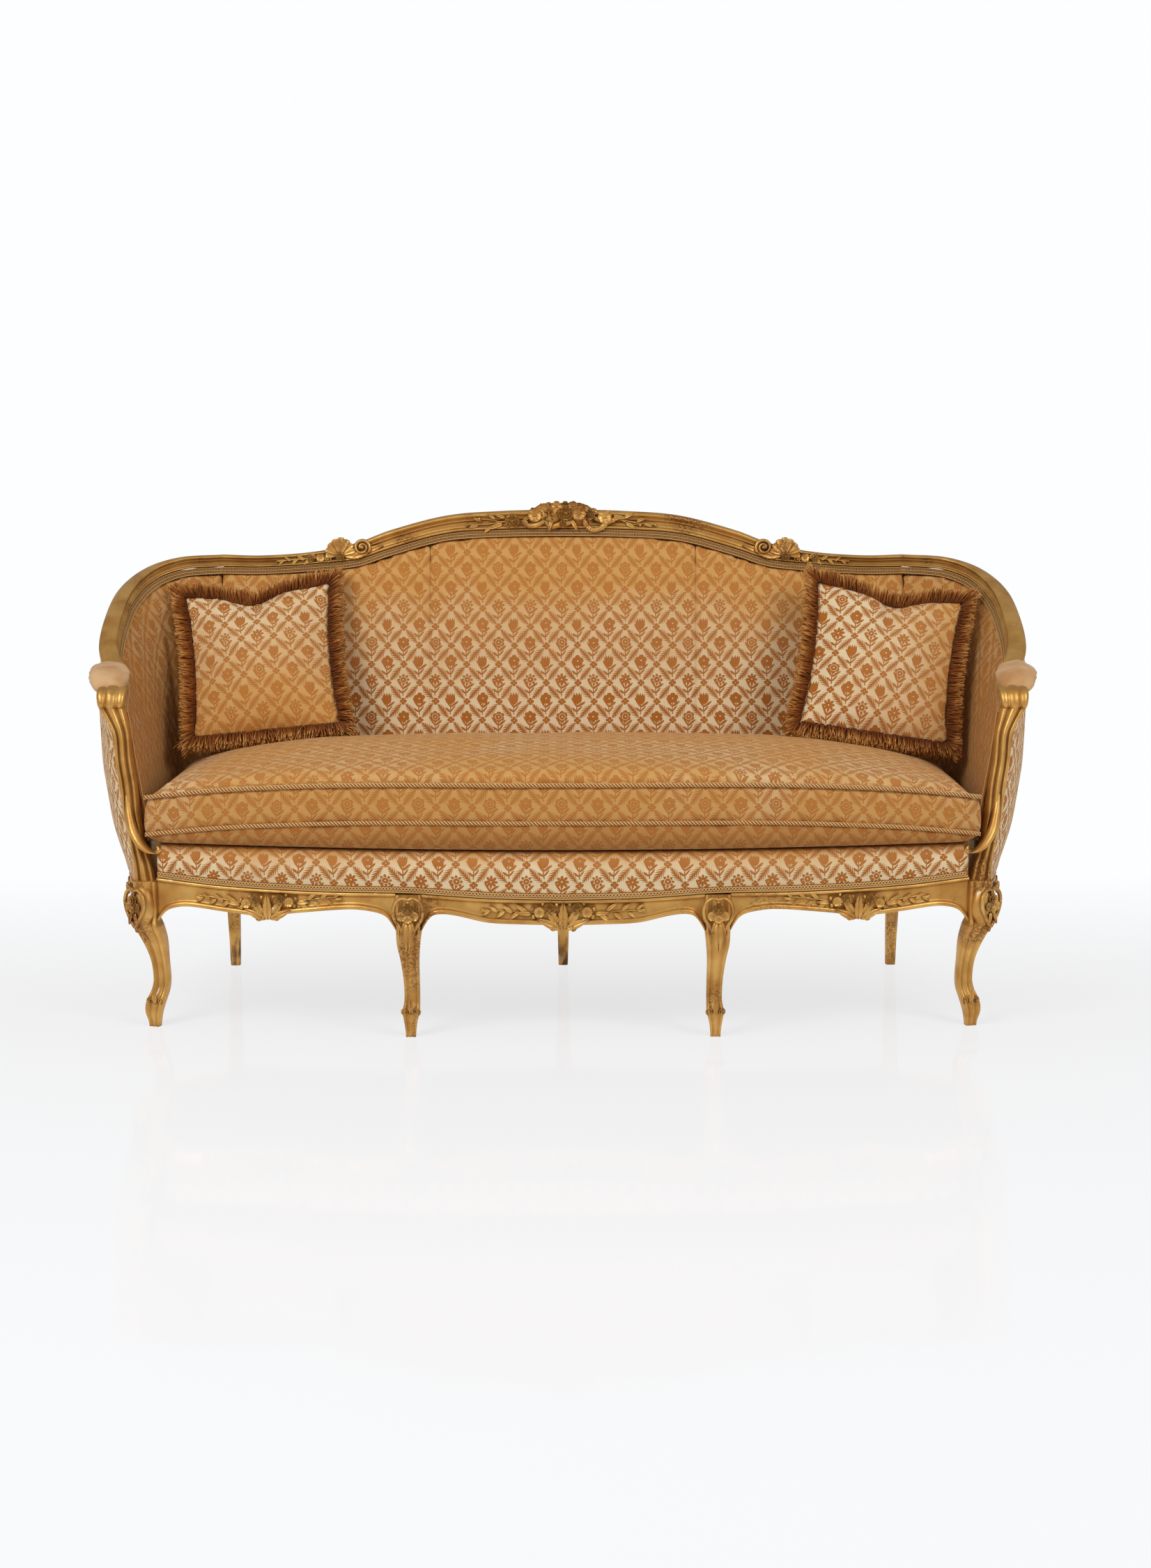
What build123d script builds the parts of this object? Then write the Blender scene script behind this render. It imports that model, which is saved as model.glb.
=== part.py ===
from build123d import *
import os
from dataclasses import dataclass
from math import cos, radians, sin

# A gilt-wood cabriole sofa: a bowed seat frame on four cabriole legs in front and three
# plain legs behind, a raked back that turns round into low padded arms, a loose squab
# cushion and two loose pillows.
# Millimetres. X runs along the sofa, the front faces -Y, Z is up and the floor is Z = 0.
# Every left-hand piece is drawn on the -X side and mirrored for its right-hand twin.

# ---- seat frame ----
CUSHION_HALF = 839.0       # half the length of the squab cushion, which the arms stand clear of
LEG_IN = 1.0               # middle of the outer leg inside the cushion's end
OUTER_LEG_X = CUSHION_HALF - LEG_IN
REAR_LEG_IN = 98.0         # middle of the rear corner leg inside the outer leg
REAR_LEG_X = OUTER_LEG_X - REAR_LEG_IN
CORNER_IN = 80.0           # where the straight back ends, inside the outer leg
CREST_HALF = OUTER_LEG_X - CORNER_IN
LEDGE_Z = 275.0            # top of the rails inside, where the webbing is tacked
RAIL_IN = 18.0             # the rail's inner face behind its middle line
RAIL_OUT = 18.0            # the rail's lower bead in front of its middle line
LIP_IN = 2.0               # inner face of the lip that stands above the ledge
FRONT_Y = -369.0           # middle line of the front rail at the centre
BOW = 105.0                # how far the rail falls back at the outer legs
OUTER_LEG_Y = -269.5
OUTER_BLOCK = 48.0         # outer leg block across
OUTER_BLOCK_DEPTH = 53.0
INNER_LEG_X = 305.0
INNER_BLOCK = 52.0
INNER_BLOCK_DEPTH = 46.0
BLOCK_BOTTOM_Z = 212.0     # where the square block turns into the leg below
SUPPORT_FOOT_Z = 300.0     # top of the outer leg block
SIDE_RAIL_IN = 12.0
SIDE_RAIL_OUT = 24.0
SIDE_RAIL_BOTTOM_Z = 246.0
REAR_RAIL_BOTTOM_Z = 236.0
REAR_BLOCK = 34.0
REAR_BLOCK_FRONT_Y = 254.0
REAR_BLOCK_REAR_Y = 302.0
REAR_RAIL_THICK = 32.0
REAR_RAIL_IN = 2.0         # front of the rear rail behind the front of its leg
REAR_RAIL_ARCH = 10.0

# ---- back and arm wall ----
BACK_Y = 270.0             # front of the back frame at the seat
BACK_Z = 300.0
BACK_SLOPE = 0.13          # how far the back leans for each millimetre of height
STILE_THICK = 30.0
TOP_RAIL_DEPTH = 39.5
LOWER_RAIL_Z = 385.0       # top of the tacking rail across the lower back
LOWER_RAIL_TALL = 45.0
LOWER_RAIL_THICK = 22.0
COVER_THICK = 4.0          # outside back cover with its lining
ARM_REST_Z = 640.0         # flat underside of the arm rail over its support
SUPPORT_DEPTH = 39.0
HOOK_SIZE = 20.0

# ---- joints of the frame ----
TENON_THICK = 12.0
TENON_LONG = 16.0
TENON_TALL = 26.0
PIN_SIZE = 8.0             # loose tenon across a joint of the top rail
FIT = 0.2                  # clearance of a tenon or a peg in its hole
BRACE_THICK = 24.0
BRACE_TALL = 34.0

# ---- upholstery ----
WEB_WIDTH = 58.0
WEB_THICK = 2.0
WEB_STEP = 92.0            # spacing of the front-to-back straps
LONG_WEBS = 5
LONG_WEB_Y = -208.0        # middle of the foremost strap along the seat
WEB_CLEAR = 60.0           # between the last cross strap and the outer leg
DECK_TOP_Z = 372.0
BORDER_DEPTH = 38.0        # stuffed roll along the front edge
BORDER_TOP_Z = 374.0
BORDER_PROUD = 12.0
BORDER_BULGE = 5.0
BORDER_FULL = 0.55         # where it is fullest, as a share of its height
DECK_CLEAR = 3.0           # between the deck and the foot of the wall
GIMP_WIDTH = 12.0
GIMP_THICK = 3.0
GIMP_BACK = 0.14           # width of the braid behind the arm support, as a share of the last arm section
BACK_PAD_THICK = 48.0
PAD_EDGE = 12.0            # pad thickness along its edges
SEAM_X = 295.0             # seams between the three widths of cloth on the back
ARMREST_WIDTH = 88.0
ARMREST_TALL = 40.0
GAP = 0.4                  # between curved faces that lie against each other
CLOTH_CLEAR = 0.9          # between the braid beside an arm support and the cloth under it
CUSHION_BOTTOM_Z = DECK_TOP_Z + GAP
FLATNESS = 1e-5            # a side further than this from flat is cut into triangles

# ---- how finely the curves are drawn ----
LEG_STEPS = 12
RAIL_STEPS = 16
CREST_STEPS = 36
BORDER_STEPS = 24
SUPPORT_STEPS = 14
ARMREST_STEPS = 6
PILLOW_STEPS = 12
PILLOW_SIDE_STEPS = 10
LOBE_STEPS = 3
FLUTE_STEPS = 6

# ---- squab cushion ----
CUSHION_FRONT = 24.0       # its front face ahead of the rail's middle line
CUSHION_REAR_Y = 234.0
BAND_BULGE = 4.0           # how far the boxed band swells out
CUSHION_CROWN = 38.0       # rise of the top above its seam
CUSHION_NOSE = 14.0        # how far the corners are drawn in
BAND_TALL = 75.0
PIPING_DIAMETER = 7.0

# ---- pillows ----
PILLOW_SIZE = 330.0
PILLOW_THICK = 112.0
PILLOW_WAIST = 12.0        # how far each side is drawn in at its middle
PILLOW_EDGE = 10.0
PILLOW_LEAN = 27.0         # degrees back from upright
# Side of the sofa, gap from the pillow's side to the outer leg, how far its top stands ahead of the back
# frame, height of its lowest corner above the cushion's crown and its roll in its own plane, in degrees.
PILLOW_PLACES = {"left": (-1, 18.0, 30.8, -6.8, 6.0), "right": (1, -14.0, 87.0, -14.5, -9.0)}
FRINGE_WIDTH = 34.0
FRINGE_THICK = 20.0

# Heights along the sofa, as (share of the way from the middle to the end, height).
CREST_UNDERSIDE = [(0, 978), (0.181, 976), (0.344, 967), (0.508, 934), (0.602, 911), (0.726, 901),
                   (0.883, 894), (1, 895)]
CREST_TALL = [(0, 43), (0.344, 40), (0.554, 40), (0.726, 27), (0.883, 25), (1, 26)]
RAIL_TOP = [(0, 280), (0.184, 283), (0.375, 291), (0.553, 291), (0.719, 293), (0.86, 298), (1, 308)]
CENTRE_RAIL_UNDERSIDE = [(0, 229), (0.323, 231), (0.538, 234), (0.735, 246), (0.853, 250), (0.939, 244),
                         (1, 216)]
PIPING_TOP_Z = [(0, 510), (0.475, 507), (0.772, 493), (0.95, 476), (1, 469)]
CUSHION_SHARES = [0, 0.17, 0.33, 0.5, 0.665, 0.81, 0.9, 0.962, 0.99, 1]
# How far forward the cushion's rear edge comes towards its ends.
CUSHION_REAR = [(0, 0), (0.831, 0), (0.926, -14), (0.976, -44), (1, -84)]
# Underside of a side rail, as (share of the way from the inner to the outer leg, height).
SIDE_RAIL_UNDERSIDE = [(0, 216), (0.035, 242), (0.1, 253), (0.195, 256), (0.39, 247), (0.557, 238),
                       (0.7, 243), (0.863, 251), (0.93, 247), (0.967, 238), (1, 216)]

# The wall's sections round the corner and along the arm, forwards from where the straight back
# ends: foot on the seat rail (outward from the outer leg, y), head under the top rail (outward, y,
# z), outward direction (x, y), how tall the rail above is there, how thick the padding is inside
# and how far the cloth bulges outside.
ARM_SECTIONS = [
    ((-33, 262), (7, 331, 889), (-0.42, 0.91), 27, 46, 50),
    ((26, 226), (65, 288, 868), (-0.74, 0.67), 28, 50, 50),
    ((58, 152), (99, 207, 829), (-0.96, 0.28), 29, 56, 50),
    ((66, 60), (108, 110, 778), (-1, 0.04), 29, 60, 50),
    ((59, -20), (105, 30, 727), (-0.99, -0.12), 28, 56, 50),
    ((43, -90), (80, -45, 684), (-0.97, -0.22), 26, 41, 47),
    ((24, -160), (70, -115, 655), (-0.97, -0.26), 24, 27, 40),
    ((-2, -242), (59, -183, ARM_REST_Z), (-1, 0), 24, 12, 24),
]
ARM_END = len(ARM_SECTIONS)
ARMREST_FROM = 5           # the armrest pad starts at this section
# Size of the armrest pad, as a share of its full size, along these sections.
ARMREST_SWELL = [(0, 0.5), (0.5, 0.85), (1.3, 1.0), (2.3, 0.88), (3, 0.6)]

# Profile of the armrest pad: outward and up, as shares of its half width and height.
ARMREST_PROFILE = [(-0.4, 0), (0.4, 0), (0.85, 0.1), (1, 0.5), (0.7, 0.9), (0, 1.05), (-0.7, 0.9), (-1, 0.5),
                   (-0.85, 0.1)]

# Profile of the top rail: outward and up, as shares of its depth and height, seen on its
# inner side: a bead, a cove and a roll, then the rounded back.
TOP_RAIL_PROFILE = [(-0.08, 0.0), (-0.25, 0.14), (-0.17, 0.34), (-0.02, 0.52), (-0.15, 0.78), (-0.02, 1.0),
                    (0.55, 1.0), (0.95, 0.75), (1.0, 0.35), (0.92, 0.0)]

# Legs, as (height, shift towards the middle, shift towards the back, width) from the leg's block.
OUTER_LEG = [(0, 12, 1.5, 22), (10, 12, 1.5, 24), (31, 11, 0.5, 33), (52, 15, 4.5, 37), (73, 23, 12.5, 34),
             (94, 26, 15.5, 32), (136, 23, 12.5, 34), (178, 15, 4.5, 46), (BLOCK_BOTTOM_Z, 3, -3.5, 56)]
INNER_LEG = [(0, 2, -2, 20), (10, 2, -2, 21), (30, 2, -3, 26), (51, 3, -3, 34), (72, 5, 3, 31),
             (113, 4, 7, 32), (154, 1, 4, 37), (188, -1, -2, 46), (BLOCK_BOTTOM_Z, 0, -6, 50)]
REAR_LEG = [(0, 300, 21), (60, 297, 24), (140, 285, 28), (REAR_RAIL_BOTTOM_Z, 272, 34)]

# Arm support, as (height, sideways shift from the wall's web, width), and its lower hook.
SUPPORT = [(SUPPORT_FOOT_Z, 1, 44), (335, 1, 37), (371, 4, 32), (427, 7, 33), (484, 4, 34), (536, 4, 34),
           (590, 0, 35), (615, 4, 38), (ARM_REST_Z, 14, 44)]
# The hook, as (outward from the outer leg, forward of its middle, height, width).
HOOK = [(32, -17.5, 424, 12), (25, -5.5, 393, 17), (9, 7.5, 370, HOOK_SIZE), (-12, 12.5, 357, 17)]
ARM_NOSE = 24.0            # how far the arm rail runs on over its support
SCROLL_RADIUS = 20.0
SCROLL_WIDE = 46.0
SCROLL_SHIFT = (-14.0, -22.0, 19.0)  # middle of the scroll from the head of the wall's last section

# ---- carving ----
# Outlines of carved motifs, as (across, up, rise): a lobe of that rise runs on to the next point.
BOUQUET = [(-66, 6, 0), (66, 6, 8), (60, 30, 8), (40, 46, 7), (14, 55, 7), (-14, 55, 7), (-40, 46, 8),
           (-60, 30, 8)]
PENDANT = [(-66, 33, 6), (-44, 11, 6), (-20, -1, 8), (20, -1, 6), (44, 11, 6), (66, 33, 4), (40, 47, 3),
           (-40, 47, 4)]
CARTOUCHE = [(0, 0, 3), (24, 40, 3), (20, 68, 7), (0, 78, 7), (-20, 68, 3), (-24, 40, 3)]
RAIL_LEAF = [(-24, 4, 5), (-6, -8, 6), (14, -4, 5), (26, 12, 4), (12, 24, 4), (-14, 22, 4)]
SPRIG_LEAVES = [(0, 1), (0.28, 0.8), (0.54, 0.6), (0.78, 0.4), (1, 0)]
RELIEF = 12.0              # how far a motif stands ahead of the wood behind it
BOUQUET_RELIEF = 22.0
ROSETTE_RADIUS = 14.0
ROSETTES = [(-32, 28), (2, 38), (34, 26)]
SHELL_SHARE = 0.653        # place of the shells between the middle and the end of the crest
SHELL_X = SHELL_SHARE * CREST_HALF
SHELL_RADIUS = 36.0
SHELL_UP = 18.0            # middle of the shell's fan above the crest's underside
SHELL_SPREAD = 220.0       # degrees that the fan goes round
BOSS_RADIUS = 12.0         # eye of the scroll beside the shell
CREST_SPRIG = (132.0, 11.0)  # length and half height
SHELL_SPRIG = (112.0, 8.0)
RAIL_SPRIG = (92.0, 9.0)
SIDE_MOTIF_SHARE = 0.525   # place of the side rail's motif between the inner and the outer leg
CARTOUCHE_RECESS = 4.0
CARTOUCHE_DROP = 9.0       # how far it hangs below the leg's block
CARTOUCHE_SUNK = 20.0      # how far the one across a corner reaches into the block
RAIL_LEAF_SECTION = 6


def smooth(points, t):
    """Value at t of a smooth curve through (t, value) points."""
    t = abs(t)
    k = 0
    while k < len(points) - 2 and t > points[k + 1][0]:
        k += 1

    def slope(i):
        low = max(i - 1, 0)
        high = min(i + 1, len(points) - 1)
        return (points[high][1] - points[low][1]) / (points[high][0] - points[low][0])

    span = points[k + 1][0] - points[k][0]
    u = (t - points[k][0]) / span
    start = points[k][1] * (2 * u**3 - 3 * u**2 + 1) + slope(k) * span * (u**3 - 2 * u**2 + u)
    end = points[k + 1][1] * (3 * u**2 - 2 * u**3) + slope(k + 1) * span * (u**3 - u**2)
    return start + end


def smooth_row(rows, t):
    """Every value after the first of a table of rows, at the place t between its rows."""
    return [smooth([(row[0], row[k]) for row in rows], t) for k in range(1, len(rows[0]))]


def spread(first, last, steps):
    """Evenly spaced values from first to last."""
    return [first + (last - first) * k / steps for k in range(steps + 1)]


def flat_face(*points):
    return Face(Wire.make_polygon(points, close=True))


def loft_outlines(outlines):
    """Solid through closed flat outlines; a side that would be twisted is cut into two triangles."""
    rings = [[Vector(*point) for point in outline] for outline in outlines]
    faces = [flat_face(*rings[0]), flat_face(*rings[-1])]
    for low, high in zip(rings, rings[1:]):
        for k in range(len(low)):
            a, b, c, d = low[k - 1], low[k], high[k], high[k - 1]
            normal = (b - a).cross(d - a)
            if abs(normal.dot(c - a)) < FLATNESS * normal.length:
                faces.append(flat_face(a, b, c, d))
            else:
                faces += [flat_face(a, b, c), flat_face(a, c, d)]
    return Solid(Shell(faces))


def bow(start, peak, end, steps):
    """Points of an even curve from start up to its end, that passes peak half way; the end is left out."""
    lift = peak - (start + end) / 2
    return [start + (end - start) * t + lift * (4 * t * (1 - t)) for t in spread(0, 1, steps)[:-1]]


def lobed_face(outline):
    """Face with a lobe of the given rise from each (across, up, rise) point to the next."""
    points = []
    for (x0, z0, rise), (x1, z1, _) in zip(outline, outline[1:] + outline[:1]):
        start = Vector(x0, z0)
        end = Vector(x1, z1)
        outward = Vector(z1 - z0, x0 - x1).normalized()
        points += bow(start, (start + end) / 2 + outward * rise, end, LOBE_STEPS if rise else 1)
    return flat_face(*points)


def carved(outline, plane, ahead, behind):
    """Carved motif with an outline, from behind a plane to ahead of it."""
    return extrude(plane.offset(-behind) * lobed_face(outline), ahead + behind)


def fan(radius, up, flutes):
    """Outline of a shell: a fan with a lobe over each flute."""
    angles = [radians(a) for a in spread(90 - SHELL_SPREAD / 2, 90 + SHELL_SPREAD / 2, flutes)]
    points = [(radius * cos(a), up + radius * sin(a), radius / flutes * 0.6) for a in angles]
    points[-1] = (*points[-1][:2], 0)
    return points


def rosette(across, up, radius):
    """Outline of a five-petalled flower."""
    angles = [radians(90 + 72 * k) for k in range(5)]
    return [(across + radius * cos(a), up + radius * sin(a), radius * 0.3) for a in angles]


def sprig(length, half):
    """Outline of a tapering chain of leaves that starts at 0."""
    low = [(length * s, -half * h, half * 0.4) for s, h in SPRIG_LEAVES[:-1]]
    high = [(length * s, half * h, half * 0.4) for s, h in reversed(SPRIG_LEAVES)]
    high[-1] = (*high[-1][:2], 0)
    return low + high


def octagon(x, y, z, width, depth, cut=0.28):
    """Flat outline at one height: a rectangle with its corners cut."""
    a = width / 2
    b = depth / 2
    c = a - width * cut
    d = b - depth * cut
    corners = [(-c, -b), (c, -b), (a, -d), (a, d), (c, b), (-c, b), (-a, d), (-a, -d)]
    return [(x + p, y + q, z) for p, q in corners]


def block(x0, x1, y0, y1, z0, z1):
    """Box between two corners."""
    return Pos((x0 + x1) / 2, (y0 + y1) / 2, (z0 + z1) / 2) * Box(x1 - x0, y1 - y0, z1 - z0)


def right_of(piece):
    """The right-hand twin of a left-hand piece, or of each solid in a list."""
    if isinstance(piece, list):
        return [right_of(solid) for solid in piece]
    return piece.mirror(Plane.YZ)


def front_line(x):
    """Middle line of the bowed front rail."""
    return FRONT_Y + BOW * (x / OUTER_LEG_X) ** 2


def back_line(z):
    """Front of the raked back frame."""
    return BACK_Y + BACK_SLOPE * (z - BACK_Z)


def crest_underside(x):
    return smooth(CREST_UNDERSIDE, x / CREST_HALF)


def rail_top(x):
    return smooth(RAIL_TOP, x / (OUTER_LEG_X - OUTER_BLOCK / 2))


def centre_rail_underside(x):
    return smooth(CENTRE_RAIL_UNDERSIDE, x / (INNER_LEG_X - INNER_BLOCK / 2))


def side_rail_underside(x):
    start = INNER_LEG_X + INNER_BLOCK / 2
    end = OUTER_LEG_X - OUTER_BLOCK / 2
    return smooth(SIDE_RAIL_UNDERSIDE, (abs(x) - start) / (end - start))


@dataclass
class Section:
    """One upright section of the wall: a runs outward from the web, s from foot to head."""

    foot: Vector
    head: Vector
    out: Vector
    rail_tall: float
    pad_thick: float
    bulge: float = 0.0

    def at(self, a, s):
        return self.foot + (self.head - self.foot) * s + self.out * a

    def share_at(self, z):
        return (z - self.foot.Z) / (self.head.Z - self.foot.Z)

    def share_below(self, drop):
        return 1 - drop / (self.head - self.foot).length


def back_section(x):
    """Section of the straight part of the back at x."""
    top = crest_underside(x)
    foot_z = LEDGE_Z + 2 * WEB_THICK
    return Section(Vector(x, back_line(foot_z), foot_z), Vector(x, back_line(top), top), Vector(0, 1, 0),
                   smooth(CREST_TALL, x / CREST_HALF), BACK_PAD_THICK)


def crest_stations(first=-CREST_HALF, last=CREST_HALF):
    """Sections of the straight back between two places, spaced evenly between its corner joints."""
    inner = [x for x in spread(-CREST_HALF, CREST_HALF, CREST_STEPS) if first + 1 < x < last - 1]
    return [back_section(x) for x in [first, *inner, last]]


def arm_section(k):
    """Section k of the corner and the arm, left side; k may lie between two of the listed ones."""
    start = back_section(-CREST_HALF)
    rows = [(0, -CORNER_IN, start.foot.Y, -CORNER_IN, start.head.Y, start.head.Z, start.out.X, start.out.Y,
             start.rail_tall, start.pad_thick, ARM_SECTIONS[0][-1])]
    rows += [(n + 1, *foot, *head, *out, *rest) for n, (foot, head, out, *rest) in enumerate(ARM_SECTIONS)]
    foot_out, foot_y, head_out, head_y, head_z, out_x, out_y, tall, thick, bulge = smooth_row(rows, k)
    foot = Vector(-OUTER_LEG_X - foot_out, foot_y, LEDGE_Z + 2 * WEB_THICK)
    head = Vector(-OUTER_LEG_X - head_out, head_y, head_z)
    return Section(foot, head, Vector(out_x, out_y, 0).normalized(), tall, thick, bulge)


def arm_sections(first=0, last=ARM_END, share=2):
    """Sections from the back corner (0) round to the arm support, left side."""
    return [arm_section(k) for k in spread(first, last, round((last - first) * share))]


def wall_loft(sections, outline):
    """Solid through the sections; outline gives (a, s) points for one section."""
    return loft_outlines([[section.at(a, s) for a, s in outline(section)] for section in sections])


# ---- frame ----
def mortise(x, y, z, along_x=True, grow=0.0):
    """Tenon block centred on a shoulder; grown, the hole that takes it."""
    long = 2 * (TENON_LONG + grow)
    thick = TENON_THICK + 2 * grow
    tall = TENON_TALL + 2 * grow
    return Pos(x, y, z) * (Box(long, thick, tall) if along_x else Box(thick, long, tall))


def rail_outline(x, underside):
    """Front rail section at x, moulded on its face, with a lip above the webbing ledge."""
    y = front_line(x)
    low = underside(x)
    top = rail_top(x)
    points = [(-RAIL_IN, low + 3), (RAIL_OUT - 5, low), (RAIL_OUT, low + 6), (RAIL_OUT - 5, low + 13),
              (RAIL_OUT - 8, top - 14), (RAIL_OUT - 2, top - 5), (RAIL_OUT - 6, top), (-LIP_IN, top),
              (-LIP_IN, LEDGE_Z), (-RAIL_IN, LEDGE_Z)]
    return [(x, y - out, z) for out, z in points]


def front_rail(stations, underside):
    return loft_outlines([rail_outline(x, underside) for x in stations])


def tenon_z():
    """Height of the tenons in the seat frame."""
    return LEDGE_Z - TENON_TALL / 2 - 4


def leg_foot(stations, x, y):
    """Cabriole leg below its block at x and y, left side, with the section's corners cut."""
    outlines = []
    for z in [0] + spread(stations[1][0], BLOCK_BOTTOM_Z, LEG_STEPS):
        inward, back, width = smooth_row(stations, z)
        outlines.append(octagon(x + inward, y + back, z, width, width))
    return loft_outlines(outlines)


def cartouche(plane, ahead, sunk):
    """Raised heart-shaped frame on the top of a leg, hollowed inside its rim."""
    frame = carved(CARTOUCHE, plane, ahead, sunk)
    middle = sum(up for _, up, _ in CARTOUCHE) / len(CARTOUCHE)
    inside = [(x * 0.7, middle + (up - middle) * 0.76, rise * 0.7) for x, up, rise in CARTOUCHE]
    return frame - carved(inside, plane, ahead + 1, CARTOUCHE_RECESS - ahead)


def outer_leg():
    x0 = -OUTER_LEG_X - OUTER_BLOCK / 2
    x1 = -OUTER_LEG_X + OUTER_BLOCK / 2
    y0 = OUTER_LEG_Y - OUTER_BLOCK_DEPTH / 2
    y1 = OUTER_LEG_Y + OUTER_BLOCK_DEPTH / 2
    leg = leg_foot(OUTER_LEG, -OUTER_LEG_X, OUTER_LEG_Y)
    leg += block(x0, x1, y0, y1, BLOCK_BOTTOM_Z, SUPPORT_FOOT_Z)
    corner = Plane(origin=(x0, y0, BLOCK_BOTTOM_Z - CARTOUCHE_DROP), x_dir=(1, -1, 0), z_dir=(-1, -1, 0))
    leg += cartouche(corner, CARTOUCHE_RECESS, CARTOUCHE_SUNK)
    leg -= mortise(x1, front_line(OUTER_LEG_X), tenon_z(), True, FIT)
    leg -= mortise(-OUTER_LEG_X, y1, tenon_z(), False, FIT)
    return leg - support_tenon(FIT)


def inner_leg():
    half = INNER_BLOCK / 2
    y = front_line(INNER_LEG_X)
    front = y - INNER_BLOCK_DEPTH / 2
    top = rail_top(INNER_LEG_X - half) - 3 * GAP
    x0 = -INNER_LEG_X - half
    x1 = -INNER_LEG_X + half
    leg = leg_foot(INNER_LEG, -INNER_LEG_X, y)
    lip = front_line(INNER_LEG_X - half) + LIP_IN
    leg += block(x0, x1, front, lip, BLOCK_BOTTOM_Z, top)
    leg += block(x0, x1, lip, y + INNER_BLOCK_DEPTH / 2, BLOCK_BOTTOM_Z, LEDGE_Z)
    foot = Vector(-INNER_LEG_X, front, BLOCK_BOTTOM_Z - CARTOUCHE_DROP)
    leg += cartouche(Plane(origin=foot, x_dir=(1, 0, 0), z_dir=(0, -1, 0)), RELIEF - 2, LIP_IN)
    for side in (-half, half):
        leg -= mortise(-INNER_LEG_X + side, y, tenon_z(), True, FIT)
    return leg - brace_tenon(front=True, grow=FIT)


def rail_plane(x, z):
    """Plane at the front rail's middle line that faces outward from the bow."""
    slope = 2 * BOW * x / OUTER_LEG_X**2
    return Plane(origin=(x, front_line(x), z), x_dir=(1, slope, 0), z_dir=(slope, -1, 0))


def rail_carving(x, underside):
    """Pendant of flowers on the front rail at x, with a sprig of leaves to each side."""
    start = PENDANT[5][0] - RELIEF
    behind = -RAIL_OUT / 4
    motif = carved(PENDANT, rail_plane(x, underside(x)), RAIL_OUT + RELIEF / 2, behind)
    for side in (1, -1):
        root = x + side * start
        up = (underside(root) + rail_top(root)) / 2 - 2
        plane = rail_plane(root, up)
        if side < 0:
            plane = Plane(origin=plane.origin, x_dir=-plane.x_dir, z_dir=plane.z_dir)
        motif += carved(sprig(*RAIL_SPRIG), plane, RAIL_OUT - 3, behind)
    return motif


def front_rails():
    """The three bowed rails with their tenons, left, centre and right."""
    inner = INNER_LEG_X + INNER_BLOCK / 2
    outer = OUTER_LEG_X - OUTER_BLOCK / 2
    side = front_rail(spread(-outer, -inner, RAIL_STEPS), side_rail_underside)
    side += rail_carving(-inner + (inner - outer) * SIDE_MOTIF_SHARE, side_rail_underside)
    side += mortise(-inner, front_line(INNER_LEG_X), tenon_z())
    side += mortise(-outer, front_line(OUTER_LEG_X), tenon_z())
    reach = INNER_LEG_X - INNER_BLOCK / 2
    centre = front_rail(spread(-reach, reach, RAIL_STEPS), centre_rail_underside)
    centre += rail_carving(0, centre_rail_underside)
    for x in (-reach, reach):
        centre += mortise(x, front_line(INNER_LEG_X), tenon_z())
    return side, centre, right_of(side)


def side_start_x():
    """Where the side rail leaves the outer leg block."""
    return -OUTER_LEG_X + (SIDE_RAIL_OUT - SIDE_RAIL_IN) / 2


def side_rail():
    """Seat rail that runs from the outer leg round to the back corner."""
    start_y = OUTER_LEG_Y + OUTER_BLOCK_DEPTH / 2
    ends = [(Vector(side_start_x(), start_y, 0), Vector(-1, 0, 0))]
    feet = [(section.foot, section.out) for section in arm_sections()[:-1]]
    feet[0] = (Vector(-REAR_LEG_X - REAR_BLOCK / 2, feet[0][0].Y, 0), feet[0][1])
    outlines = []
    for foot, out in feet + ends:
        corners = [(-SIDE_RAIL_IN, SIDE_RAIL_BOTTOM_Z), (SIDE_RAIL_OUT - 5, SIDE_RAIL_BOTTOM_Z),
                   (SIDE_RAIL_OUT, SIDE_RAIL_BOTTOM_Z + 8), (SIDE_RAIL_OUT - 6, SIDE_RAIL_BOTTOM_Z + 16),
                   (SIDE_RAIL_OUT - 4, LEDGE_Z), (-SIDE_RAIL_IN, LEDGE_Z)]
        outlines.append([(foot.X + out.X * a, foot.Y + out.Y * a, z) for a, z in corners])
    leaf_at = arm_section(RAIL_LEAF_SECTION)
    across = Vector(0, 0, 1).cross(leaf_at.out)
    face = Plane(origin=(leaf_at.foot.X, leaf_at.foot.Y, SIDE_RAIL_BOTTOM_Z), x_dir=across, z_dir=leaf_at.out)
    rail = loft_outlines(outlines) + carved(RAIL_LEAF, face, SIDE_RAIL_OUT + RELIEF / 2, -SIDE_RAIL_OUT / 2)
    rail += mortise(-REAR_LEG_X - REAR_BLOCK / 2, feet[0][0].Y + TENON_THICK / 2, tenon_z())
    return rail + mortise(-OUTER_LEG_X, start_y, tenon_z(), False)


def rear_leg_below(x):
    """Rear leg up to the seat, tapered and leaning back to its foot."""
    return loft_outlines([octagon(x, y, z, w, w * 1.1, 0.18) for z, y, w in REAR_LEG])


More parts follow.
